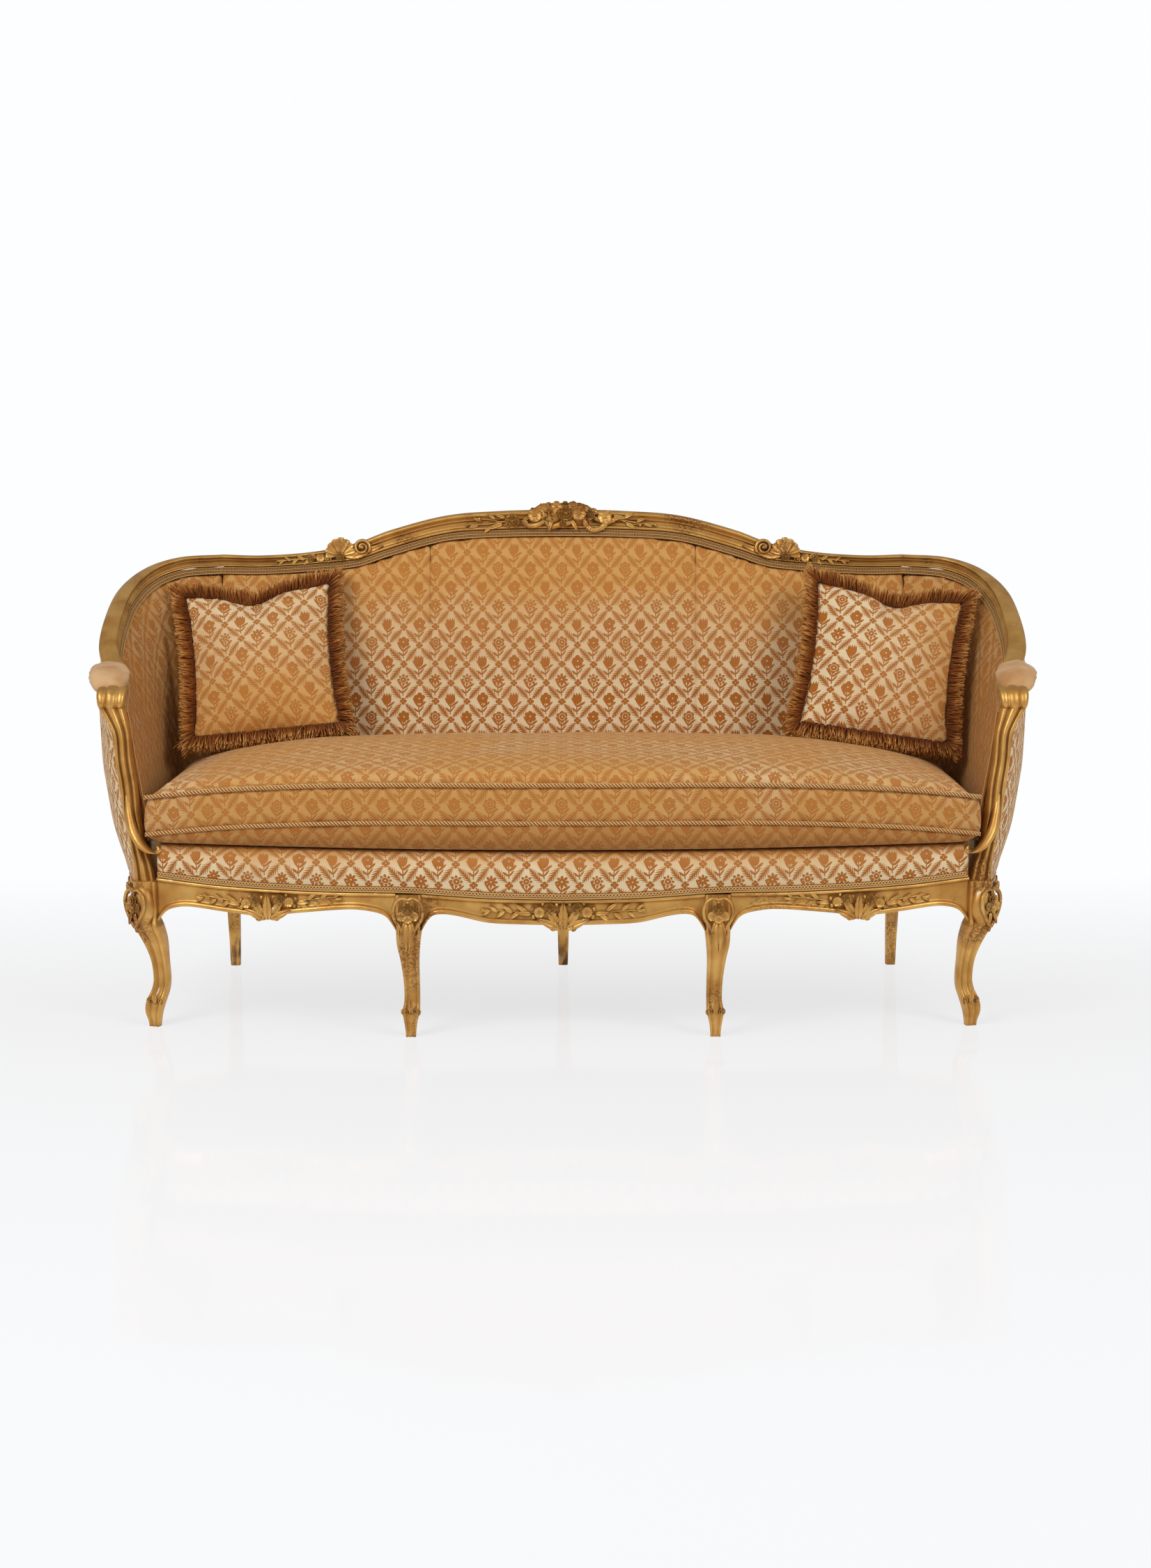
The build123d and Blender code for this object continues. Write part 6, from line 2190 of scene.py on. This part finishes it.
@dataclass(frozen=True)
class Upholstery:
    """The padded back and arms, the covers outside, the border in front and the armrests."""

    seam_x: float = 294.8
    overlap: float = 4.0
    armrest_share: float = 0.66
    rake: float = 1.02
    cover_front: float = 0.0304
    cover_rear: float = 0.0344
    cover_drop: float = 0.0004
    tied: float = 0.008
    sewn: float = 0.006
    web_gap: float = 0.011
    crease: float = 0.0012
    # How the corners' cloth is drawn: past the corner in millimetres, the rest in metres.
    corner_past: float = 12
    corner_band: float = 0.016
    pad_pull: float = 0.012
    cover_pull: float = 0.006
    foot_drop: float = 0.012
    foot_top: float = 0.31
    foot_band: float = 0.03

    def build(self) -> None:
        """Stuff and cover every fixed pad."""
        self.back()
        self.arms()
        self.covers()
        self.border()
        self.armrests()

    def back(self) -> None:
        """Three widths of velvet, sewn together upright."""
        stuffing = Stuffing(voxel=0.010, most_swell=0.007, fill=0.5, hold_edges=True)
        for word, low, high in (("left", -WALL.corner_x, -self.seam_x), ("center", -self.seam_x, self.seam_x),
                                ("right", self.seam_x, WALL.corner_x)):
            def held(points: np.ndarray) -> np.ndarray:
                """Firm at the tacked edge, the seams and the frame behind."""
                web = WALL.back_y * MM + WALL.back_slope * (points[:, 2] - WALL.back_z * MM)
                behind = points[:, 1] > web - self.web_gap
                ends = ((np.abs(points[:, 0] - low * MM) < self.sewn)
                        | (np.abs(points[:, 0] - high * MM) < self.sewn))
                return (behind | ends).astype(float)
            piece = stuffing.fill_piece(f"back_pad_{word}", f"back_{word}", held)
            points = points_of(piece)
            wide = points[:, 0].max() - points[:, 0].min()
            reach = high - low + 2 * self.overlap
            points[:, 0] = (low - self.overlap) * MM + (points[:, 0] - points[:, 0].min()) / wide * reach * MM
            crease = folds(points, 3.0, (5.0, 5.0, 9.0))
            points[:, 1] += self.crease * crease * (normals_of(piece)[:, 1] < -0.3)
            set_points(piece, points)
            set_cloth(piece, points[:, 0], (points[:, 2] - WALL_FOOT_Z) * self.rake)
            # painted sheen: the back's ground is painted pale cream towards the bottom and amber towards the
            # top
            set_nap(piece, (points[:, 2] - 0.60) / 0.30 + 0.10 * crease)
            covered(piece, f"back_pad_{word}")

    def round_corner(self, piece: Piece, side: Side, pull: float, drop: float = 0.0) -> np.ndarray:
        """Draw a corner's stuffed cloth up to its neighbour and lay its figure along the wall.

        Args:
            piece: the pad or cover of one corner and arm.
            side: the side that it is on.
            pull: how far its end is drawn towards the back, in metres.
            drop: how far its foot is let down, in metres.

        Returns:
            The piece's points as they now are.
        """
        points = points_of(piece)
        inward = np.abs(points[:, 0]) - (WALL.corner_x + self.corner_past) * MM
        points[:, 0] += side.value * pull * np.clip(inward / self.corner_band, -1, 0)
        points[:, 2] -= drop * np.clip((self.foot_top - points[:, 2]) / self.foot_band, 0, 1)
        set_points(piece, points)
        across, along = WALL.cloth_at(points * (-side.value, 1, 1))
        set_cloth(piece, across * -side.value, along)
        return points

    def arms(self) -> None:
        """The padded insides of the corners and arms."""
        stuffing = Stuffing(voxel=0.009, most_swell=0.007, fill=0.6, hold_edges=True)

        def held(points: np.ndarray) -> np.ndarray:
            """Firm at the foot and at both ends."""
            ends = (points[:, 1] < -0.17) | (points[:, 2] < 0.39)
            return ends.astype(float)
        for side in Side:
            piece = stuffing.fill_piece(f"arm_pad_{side.word}", f"arm_inside_{side.word}", held)
            points = self.round_corner(piece, side, self.pad_pull)
            # painted sheen: the insides of the arms are painted mostly amber, with waves of paler ground
            set_nap(piece, 0.92 + 0.2 * folds(points, 7.0, (6, 6, 6)))
            # painted shade on the insides of the arms, stronger towards the front
            mark(piece, "deep", np.clip(0.62 - (points[:, 1] + 0.02) * 1.1, 0.25, 0.6))
            covered(piece, f"arm_pad_{side.word}")

    def covers(self) -> None:
        """The stuffed outsides of the arms and the figured cloth behind the back."""
        stuffing = Stuffing(voxel=0.009, most_swell=0.005, fill=0.5, hold_edges=True)

        def held(points: np.ndarray) -> np.ndarray:
            """Firm at the foot, under the rail and at the front edge."""
            ends = (points[:, 2] < 0.29) | (points[:, 1] < -0.22)
            return ends.astype(float)
        for side in Side:
            piece = stuffing.fill_piece(f"arm_cover_{side.word}", f"arm_outside_{side.word}", held)
            points = self.round_corner(piece, side, self.cover_pull, self.foot_drop)
            # painted sheen: the outside arm covers are painted mostly pale cream
            set_nap(piece, 0.05 + (points[:, 2] - 0.6) * 0.5)
            covered(piece, f"arm_cover_{side.word}")
        outline = []
        for rib in WALL.back_ribs(-WALL.corner_x, WALL.corner_x, 80):
            head, foot = rib.below_head(self.cover_drop, 0), rib.foot
            front, rear = rib.out * self.cover_front, rib.out * self.cover_rear
            outline.append([foot + front, foot + rear, head + rear, head + front])
        back = drawn("back_outside", outline)
        modifier(back, "BEVEL", width=0.0012, segments=2)
        points = points_of(back)
        set_cloth(back, -points[:, 0], (points[:, 2] - WALL_FOOT_Z) * self.rake)
        # painted sheen: the cloth behind the back gets an even, mostly pale cream painted sheen
        set_nap(back, np.full(len(points), 0.25))
        covered(back, "back_cover", angle=FLAT_CLOTH_ANGLE)

    def border(self) -> None:
        """The stuffed roll above the front rail."""
        stuffing = Stuffing(voxel=0.006, most_swell=0.004, fill=0.6)

        def held(points: np.ndarray) -> np.ndarray:
            """Firm along the rail and behind."""
            return ((points[:, 2] < 0.31) | (points[:, 2] > 0.371)).astype(float)
        piece = stuffing.fill_piece("front_border", "border", held)
        points = points_of(piece)
        face = np.array([SEAT.front_line(x / MM) * MM - 0.012 for x in points[:, 0]])
        set_cloth(piece, points[:, 0] * 1.01, points[:, 2] - 0.270 + np.maximum(points[:, 1] - face, 0))
        up = normals_of(piece)[:, 2]
        # painted sheen: pale cream on faces that do not look up, amber on faces that look up
        set_nap(piece, 0.12 + np.maximum(up, 0) * 0.9 + 0.15 * folds(points, 1.0, (9, 9, 9)))
        covered(piece, "front_border")

    def rail_line(self) -> tuple[list[float], list[float], list[float]]:
        """Place back, place out and top of the left arm rail along the armrest, for reading between them."""
        ribs = WALL.arm_ribs(4, WALL.arm_end, 16)[::-1]
        return [r.head.y for r in ribs], [r.head.x for r in ribs], [r.head.z + r.rail_tall for r in ribs]

    def armrests(self) -> None:
        """The plain pads on the arms."""
        stuffing = Stuffing(voxel=0.006, most_swell=0.006, fill=0.8)

        def held(points: np.ndarray) -> np.ndarray:
            """Firm at both tied ends."""
            front, rear = points[:, 1].min() + self.tied, points[:, 1].max() - self.tied
            return ((points[:, 1] < front) | (points[:, 1] > rear)).astype(float)
        for side in Side:
            piece = stuffing.fill_piece(f"armrest_pad_{side.word}", f"armrest_{side.word}", held)
            points = points_of(piece)
            line = self.rail_line()
            front = points[:, 1].min()
            moved = front + (points[:, 1] - front) * self.armrest_share
            height = np.clip(points[:, 2] - np.interp(points[:, 1], line[0], line[2]), 0, None)
            for column in (0, 2):
                factor = -side.value if column == 0 else 1
                course = line[1 + column // 2]
                shift = np.interp(moved, line[0], course) - np.interp(points[:, 1], line[0], course)
                points[:, column] += shift * factor
            share = (moved - front) / (moved.max() - front)
            points[:, 1] = moved
            points[:, 2] -= height * (0.10 + 0.45 * np.clip(share * 1.6 - 0.6, 0, 1))
            creases = folds(points, 21.0, (30, 22, 30))
            points += normals_of(piece) * (0.0018 * creases)[:, None]
            set_points(piece, points)
            dressed(shaded(piece, CLOTH_ANGLE), PlainVelvet(),
                    stands_for=[f"armrest_pad_{side.word}"])


@dataclass(frozen=True)
class SquabCushion:
    """The loose seat cushion with a twisted cord above and below its band."""

    half: float = 839.0
    band: float = 75.0
    forward: float = 24.0
    rear_y: float = 234.0
    floor_z: float = 376.5
    crown: float = 40.0
    corner: float = 50.0
    cord: float = 0.0095
    pitch: float = 0.021
    cord_out: float = 2.6
    plies: int = 3
    cord_sides: int = 12
    cord_step: float = 1.8
    # Where the simulation holds the cushion, and its puckers and waves: all in metres.
    firm: float = 0.006
    face_deep: float = 0.014
    deck_top: float = 0.379
    lip: float = 0.0034
    lip_wide: float = 0.006
    gather: float = 0.0042
    gather_long: float = 0.016
    face_wave: float = 0.0022
    top_wave: float = 0.004
    top_gather: float = 0.0016
    top_gather_long: float = 0.02
    cloth_from: float = 0.395
    upper: Table = ((0, 510), (400, 507), (650, 493), (800, 476), (839, 469))
    rear: Table = ((0, 0), (697, 0), (777, -14), (819, -44), (839, -84))

    def seam_z(self, x: float) -> float:
        """Height of the upper seam at x, in millimetres."""
        return smooth(self.upper, x)

    def front_y(self, x: float) -> float:
        """The seams' place forward at x, in millimetres."""
        past = max(abs(x) - self.half + self.corner, 0) / self.corner
        return SEAT.front_line(x) - self.forward + 12 * past ** 3

    def section(self, x: float) -> list[Vector]:
        """The cushion's outline at x: crowned top, flat rear, full belly and swelling band.

        Args:
            x: the place along the sofa, in millimetres.

        Returns:
            The outline in metres.
        """
        end = max(abs(x) - self.half + self.corner, 0) / self.corner
        front, rear, high = self.front_y(x), self.rear_y + smooth(self.rear, x), self.seam_z(x)
        low, rise = high - self.band, self.crown * (1 - (x / self.half) ** 4)
        deep = low - self.floor_z
        middle = (front + rear) / 2
        rows = [(front, high), (front + 12, high + 7 + 0.1 * rise), (front + 45, high + 6 + 0.42 * rise),
                (front + 120, high + 4 + 0.76 * rise), (middle, high + 4 + rise),
                (rear - 120, high + 4 + 0.8 * rise), (rear - 45, high + 4 + 0.5 * rise),
                (rear - 10, high + 3), (rear, high - 8), (rear + 2, (high + low) / 2), (rear - 2, low),
                (rear - 22, self.floor_z + 4), (rear - 60, self.floor_z), (middle, self.floor_z),
                (front + 60, self.floor_z), (front + 24, self.floor_z),
                (front + 8, self.floor_z + 0.10 * deep), (front - 3, self.floor_z + 0.34 * deep),
                (front - 5, self.floor_z + 0.62 * deep), (front - 2, self.floor_z + 0.88 * deep),
                (front, low), (front - 5, low + 0.22 * self.band), (front - 6, low + 0.5 * self.band),
                (front - 5, low + 0.78 * self.band)]
        flat, core = 1 - 0.34 * end**3, (high + self.floor_z) / 2
        return [Vector((x, y, core + (z - core) * flat)) * MM for y, z in rows]

    def build(self) -> None:
        """Stuff the cushion, pucker its seams and lay its cords."""
        inner = self.half - self.corner
        stations = [*spread(-self.half, -inner, 7)[:-1], *spread(-inner, inner, 44),
                    *spread(inner, self.half, 7)[1:]]
        shape = drawn("squab", [self.section(x) for x in stations])

        def seams(points: np.ndarray) -> tuple[np.ndarray, np.ndarray]:
            """How far each point is below the upper seam, and whether it is on the front."""
            high = np.array([self.seam_z(x / MM) * MM for x in points[:, 0]])
            front = np.array([self.front_y(x / MM) * MM for x in points[:, 0]])
            return high - points[:, 2], points[:, 1] < front + self.face_deep

        def held(points: np.ndarray) -> np.ndarray:
            """Firm along both seams and where it lies on the deck."""
            drop, on_face = seams(points)
            seam = on_face & ((np.abs(drop) < self.firm) | (np.abs(drop - self.band * MM) < self.firm))
            return (seam | (points[:, 2] < self.deck_top)).astype(float)
        piece = Stuffing(voxel=0.010, most_swell=0.008, fill=0.75).puff(shape, held)
        points, normals = points_of(piece), normals_of(piece)
        drop, on_face = seams(points)
        to_seam = np.minimum(np.abs(drop), np.abs(drop - self.band * MM))
        facing = on_face & (normals[:, 1] < 0.3)
        gathers = np.array([noise.fractal(Vector((p[0] * 42.0, p[2] * 6.0, 0.0)), 1.0, 2.0, 3)
                            for p in points])
        long_waves = folds(points, 5.0, (9.0, 4.0, 7.0))
        points[:, 1] += facing * (self.lip * np.exp(-((to_seam / self.lip_wide) ** 2))
                                  + gathers * self.gather * np.exp(-to_seam / self.gather_long)
                                  + self.face_wave * long_waves)
        top = normals[:, 2] > 0.5
        waves = folds(points, 11.0, (3.5, 5.0, 1.0))
        puckers = self.top_gather * gathers * np.exp(-np.abs(drop) / self.top_gather_long)
        points[:, 2] += top * (waves * self.top_wave + puckers)
        set_points(piece, points)
        down_front = facing & (drop > -0.004)
        set_cloth(piece, points[:, 0], np.where(down_front, -drop, points[:, 1] + self.cloth_from))
        belly = facing & (drop > self.band * MM)
        end = np.clip((np.abs(points[:, 0] + 0.80) - 0.05) / 0.04, 0, 1)
        # painted sheen: mostly amber on the belly, top and band, with a paler patch near x = -0.8 m on the
        # left
        set_nap(piece, np.where(belly, 1.1, np.where(top, 0.82, 0.95)) + 0.25 * waves
                - 0.35 * (1 - end) * (points[:, 0] < 0))
        # painted shade: the belly, and more lightly the band, are darkened
        mark(piece, "deep", np.where(belly, 0.85, np.where(facing & ~top, 0.28, 0.0)))
        covered(piece, "seat_cushion", Body.CUSHION)
        for word, below in (("upper", 0.0), ("lower", self.band)):
            self.twist(word, below)

    def twist(self, word: str, below: float) -> None:
        """Lay one twisted cord along the front of the cushion.

        Args:
            word: which cord it is.
            below: how far below the upper seam it runs, in millimetres.
        """
        rings = []
        reach, step = self.half - 4, self.cord_step
        for x in spread(-reach, reach, int(2 * reach / step)):
            middle = Vector((x, self.front_y(x) - self.cord_out, self.seam_z(x) - below)) * MM
            turn = math.tau * x * MM / self.pitch
            ring = []
            for n in range(self.cord_sides):
                angle = math.tau * n / self.cord_sides
                out = self.cord / 2 * (0.80 + 0.20 * math.cos(self.plies * (angle - turn)))
                ring.append(middle + Vector((0, math.cos(angle), math.sin(angle))) * out)
            rings.append(ring)
        cord = drawn(f"cord_{word}", rings)
        points = points_of(cord)
        axis = np.array([[self.front_y(x / MM) - self.cord_out, self.seam_z(x / MM) - below]
                         for x in points[:, 0]]) * MM
        angles = np.arctan2(points[:, 2] - axis[:, 1], points[:, 1] - axis[:, 0])
        # the ply mark is 1 on each ply's crest and 0 in the grooves, where the cord's finish paints shade
        mark(cord, "ply", 0.5 + 0.5 * np.cos(self.plies * (angles - math.tau * points[:, 0] / self.pitch)))
        dressed(shaded(cord, CARVED_ANGLE), CordThread(), Body.CUSHION, [f"cushion_piping_{word}"])


@dataclass(frozen=True)
class ThrowPillow:
    """A loose square pillow with a thick fringe, leaning in its corner."""

    side: Side
    centre: Point
    roll: float
    size: float = 0.330
    waist: float = 0.012
    lean: float = 27.0
    fringe: float = 0.034
    dent: float = 0.026
    dent_aside: float = 0.012
    dent_wide: float = 0.060
    chop_wide: float = 0.035
    chop_deep: float = 0.016
    pull: float = 0.004
    sewn: float = 0.009
    corner_out: float = 0.010
    seed: int = 17
    strands: int = 1150
    strand_thick: float = 0.0013
    rooted: float = 0.006
    ear: float = 0.012

    @property
    def dent_x(self) -> float:
        """Where the upper edge is pressed in, in metres from its middle."""
        return self.dent_aside * self.side.value

    @property
    def place(self) -> Matrix:
        """The pillow's own frame: X along it, Y up it and Z out of its face."""
        upright = Matrix.Translation(self.centre) @ Matrix(((1, 0, 0), (0, 0, -1), (0, 1, 0))).to_4x4()
        leant = Matrix.Rotation(math.radians(-self.lean), 4, "X")
        return upright @ leant @ Matrix.Rotation(math.radians(self.roll), 4, "Z")

    def sunk(self, own: np.ndarray) -> np.ndarray:
        """How far each point sinks where the pillow's upper edge was pressed in, in metres.

        Args:
            own: rows of places in the pillow's own frame.

        Returns:
            The drop of each point.
        """
        notch = np.exp(-(((own[:, 0] - self.dent_x) / self.dent_wide) ** 2))
        ears = self.ear * np.clip(np.abs(own[:, 0]) / (self.size / 2), 0, 1) ** 3
        return (notch * self.dent - ears) * np.clip(own[:, 1] / (self.size / 2), 0, 1.1) ** 2

    def build(self) -> None:
        """Stuff the pillow and sew its fringe."""
        body = Body.PILLOW_LEFT if self.side is Side.LEFT else Body.PILLOW_RIGHT
        stuffing = Stuffing(voxel=0.007, most_swell=0.014, fill=0.7)
        inverse = np.array(self.place.inverted())

        def local(points: np.ndarray) -> np.ndarray:
            """The points in the pillow's own frame."""
            return points @ inverse[:3, :3].T + inverse[:3, 3]

        def held(points: np.ndarray) -> np.ndarray:
            """Firm along the sewn edge."""
            own = local(points)
            return (np.abs(own[:, 2]) < self.sewn).astype(float)
        piece = stuffing.fill_piece(f"pillow_{self.side.word}", f"throw_{self.side.word}", held)
        own = local(points_of(piece))
        edge = np.maximum(np.abs(own[:, 0]), np.abs(own[:, 1])) / (self.size / 2)
        rays = np.arctan2(own[:, 1], own[:, 0])
        pulls = np.array([noise.fractal(Vector((r * 6.0, 4.0 * self.side.value, e * 1.5)), 1.0, 2.0, 2)
                          for r, e in zip(rays, edge)])
        corner = np.clip(np.minimum(np.abs(own[:, 0]), np.abs(own[:, 1])) / (self.size / 2) - 0.7, 0,
                         0.3) / 0.3
        own[:, :2] += np.sign(own[:, :2]) * (self.corner_out * corner)[:, None]
        front = np.sign(own[:, 2])
        off_seam = np.clip(np.abs(own[:, 2]) / 0.01, 0, 1)
        own[:, 2] += front * pulls * self.pull * np.clip(edge - 0.35, 0, 1) * off_seam
        chop = np.exp(-(((own[:, 0] - self.dent_x) / self.chop_wide) ** 2))
        chop *= np.clip((own[:, 1] - 0.02) / 0.11, 0, 1)
        own[:, 2] -= front * chop * self.chop_deep * np.clip(np.abs(own[:, 2]) / 0.02, 0, 1)
        own[:, 1] -= self.sunk(own)
        place = np.array(self.place)
        set_points(piece, own @ place[:3, :3].T + place[:3, 3])
        set_cloth(piece, own[:, 0] + 0.4 * (self.side.value + 1), own[:, 1])
        # painted sheen: the left pillow is painted paler towards its top, the right pillow paler towards its
        # left edge
        nap = 0.62 - own[:, 1] / self.size * 0.9 if self.side is Side.LEFT else 0.35 + own[:, 0] / self.size
        set_nap(piece, nap)
        covered(piece, f"pillow_{self.side.word}", body)
        self.brush(body)

    def brush(self, body: Body) -> None:
        """Set thousands of strands round the edge, in small tufts.

        Args:
            body: the body that the fringe rides on.
        """
        strand = drawn("strand", [[Vector((self.strand_thick * r * math.cos(a),
                                           self.strand_thick * r * math.sin(a), z)) for a in (0.3, 2.4, 4.5)]
                                  for z, r in ((0.0, 1.0), (0.5, 1.15), (1.0, 0.7))])
        dice = random.Random(self.seed + self.side.value)
        places, tones = [], []
        half = self.size / 2
        for edge in range(4):
            turn = Matrix.Rotation(math.pi / 2 * edge, 4, "Z")
            for _ in range(self.strands):
                v = dice.uniform(-1, 1) * (half + self.fringe * 0.3)
                reach = half - self.waist * (1 - (v / half) ** 2) if edge % 2 == 0 else half
                tuft = 0.10 * math.sin(v * 900) + 0.05 * math.sin(v * 333)
                along = max(min(v / half, 1.15), -1.15)
                lean = 0.6 * abs(along) ** 6 * math.copysign(1, along) + tuft
                out = Vector((1, lean + dice.gauss(0, 0.16), dice.gauss(0.10, 0.34))).normalized()
                base = turn @ Vector((reach - self.rooted, v, dice.uniform(-0.008, 0.010)))
                base.y -= float(self.sunk(np.array([base]))[0])
                length = (self.fringe + 0.003) * dice.uniform(0.70, 1.0)
                along_out = (turn.to_3x3() @ out).to_track_quat("Z", "X").to_matrix().to_4x4()
                places.append(self.place @ Matrix.Translation(base) @ along_out
                              @ Matrix.Diagonal((1, 1, length, 1)))
                tones.append(dice.uniform(0.55, 1.25))
        piece = placed(strand, f"fringe_{self.side.word}", places)
        lengths = np.tile(points_of(strand)[:, 2], len(places))
        mark(piece, "tip", lengths * np.repeat(tones, len(strand.data.vertices)))
        discard(strand)
        dressed(piece, FringeYarn(), body, [f"pillow_fringe_{self.side.word}"])


@dataclass(frozen=True)
class HiddenFrame:
    """The pieces whose CAD shape is right as it is: rear legs, hidden rails, straps and deck."""

    def build(self) -> None:
        """Give each such node its finish."""
        beech, web, deck = BareBeech().material(), JuteWebbing().material(), DeckCloth().material()
        gilt = WornGilding().material()
        finishes = {"rear_leg_left": gilt, "rear_leg_center": gilt, "rear_leg_right": gilt,
                    "loose_tenons": beech,
                    "seat_webbing_cross": web, "seat_webbing_long": web, "seat_deck": deck}
        for side in Side:
            for word in ("rear_rail", "back_lower_rail", "seat_brace"):
                finishes[f"{word}_{side.word}"] = beech
        for name, material in finishes.items():
            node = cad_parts[name]
            for slot in node.material_slots:
                slot.material = material
            log.info("%s keeps its CAD shape", name)


@dataclass(frozen=True)
class Studio:
    """Pale floor, white room, soft lamps and the photograph's camera."""

    tall_px: int = 2251
    focal_px: float = 3433.1
    camera_y: float = -5.0
    camera_z: float = 1.182
    pitch: float = 8.27
    yaw: float = 0.30
    sensor: float = 36.0
    # How white the floor glows near by and how much more behind, and how strongly the room lights things.
    near_white: float = 0.68
    far_white: float = 0.32
    room_light: float = 0.42
    white: tuple[float, ...] = (0.985, 0.99, 1.0, 1.0)
    aim: Point = (0, 0, 0.55)

    def build(self) -> None:
        """Set up the room."""
        self.camera()
        self.floor()
        self.room()
        self.lamp("key", (-2.6, -2.9, 3.4), 92.0, 2.0)
        self.lamp("fill", (2.8, -2.8, 3.2), 70.0, 2.0)

    def camera(self) -> None:
        """The camera that the photograph was taken with."""
        data = bpy.data.cameras.new("camera")
        data.sensor_width = self.sensor
        data.lens = self.focal_px / self.tall_px * self.sensor
        camera = in_scene("camera", data)
        camera.location = (0, self.camera_y, self.camera_z)
        camera.rotation_euler = (math.radians(90 - self.pitch), 0, math.radians(-self.yaw))
        bpy.context.scene.camera = camera

    def floor(self) -> None:
        """A pale floor that turns white in the distance."""
        floor = primitive("plane", "floor", size=30.0, location=(0, 0, 0))
        bpy.ops.mesh.subdivide(number_cuts=2)
        bpy.ops.object.mode_set(mode="OBJECT")
        recipe = Recipe("PaleFloor")
        split = recipe.node("ShaderNodeSeparateXYZ", None, {0: recipe.place()})
        far = self.near_white + self.far_white * Signal(recipe, split.outputs[1]).rise(-0.2, 1.4)
        speck = recipe.grain(40.0, 2.0)
        colour = recipe.mixed(speck * 0.04, dye(250, 251, 252), dye(244, 245, 246))
        lit = recipe.signal("ShaderNodeBsdfPrincipled", None,
                            {"Base Color": colour, "Roughness": 0.06, "Specular IOR Level": 0.9})
        white = recipe.signal("ShaderNodeEmission", None, {"Color": self.white, "Strength": 1.0})
        both = recipe.signal("ShaderNodeMixShader", None,
                             {0: far * self.seen_by(recipe, "Camera", "Glossy"), 1: lit, 2: white})
        recipe.node("ShaderNodeOutputMaterial", None, {"Surface": both})
        floor.data.materials.append(recipe.material)

    def seen_by(self, recipe: Recipe, *kinds: str) -> Signal:
        """Whether a ray is of one of two kinds.

        Args:
            recipe: the recipe that asks.
            kinds: the two kinds of ray.

        Returns:
            1 for a ray of either kind and 0 for others.
        """
        path = recipe.node("ShaderNodeLightPath")
        first, second = (Signal(recipe, path.outputs[f"Is {kind} Ray"]) for kind in kinds)
        return first.most(second)

    def room(self) -> None:
        """Even white light from all round."""
        scene = bpy.context.scene
        scene.view_settings.view_transform = "Standard"
        world = bpy.data.worlds.new("room")
        scene.world = world
        recipe = Recipe("room", world)
        strength = recipe.signal("ShaderNodeMapRange", None,
                                 {"Value": self.seen_by(recipe, "Camera", "Transmission"),
                                  "To Min": self.room_light, "To Max": 1.0}, "Result")
        glow = recipe.signal("ShaderNodeBackground", None, {"Color": self.white, "Strength": strength})
        recipe.node("ShaderNodeOutputWorld", None, {"Surface": glow})

    def lamp(self, name: str, place: Point, power: float, size: float) -> None:
        """A soft lamp that looks at the middle of the sofa.

        Args:
            name: its name.
            place: where it hangs, in metres.
            power: its power in watts.
            size: its width in metres.
        """
        data = bpy.data.lights.new(name, "AREA")
        data.energy, data.size = power, size
        lamp = in_scene(name, data)
        lamp.location = place
        lamp.rotation_euler = (Vector(self.aim) - Vector(place)).to_track_quat("-Z", "Y").to_euler()


def main() -> None:
    """Build the sofa's sub-assemblies in order."""
    logging.basicConfig(level=logging.INFO, format="%(name)s: %(message)s")
    Studio().build()
    HiddenFrame().build()
    TopRail().build()
    ArmSupport().build()
    SEAT.build()
    CabrioleLegs().build()
    Carving().build()
    GimpBraid().build()
    Upholstery().build()
    SquabCushion().build()
    ThrowPillow(Side.LEFT, (-0.655, 0.2003, 0.6951), 6.0).build()
    ThrowPillow(Side.RIGHT, (0.687, 0.144, 0.6948), -9.0).build()


if __name__ == "__main__":
    main()
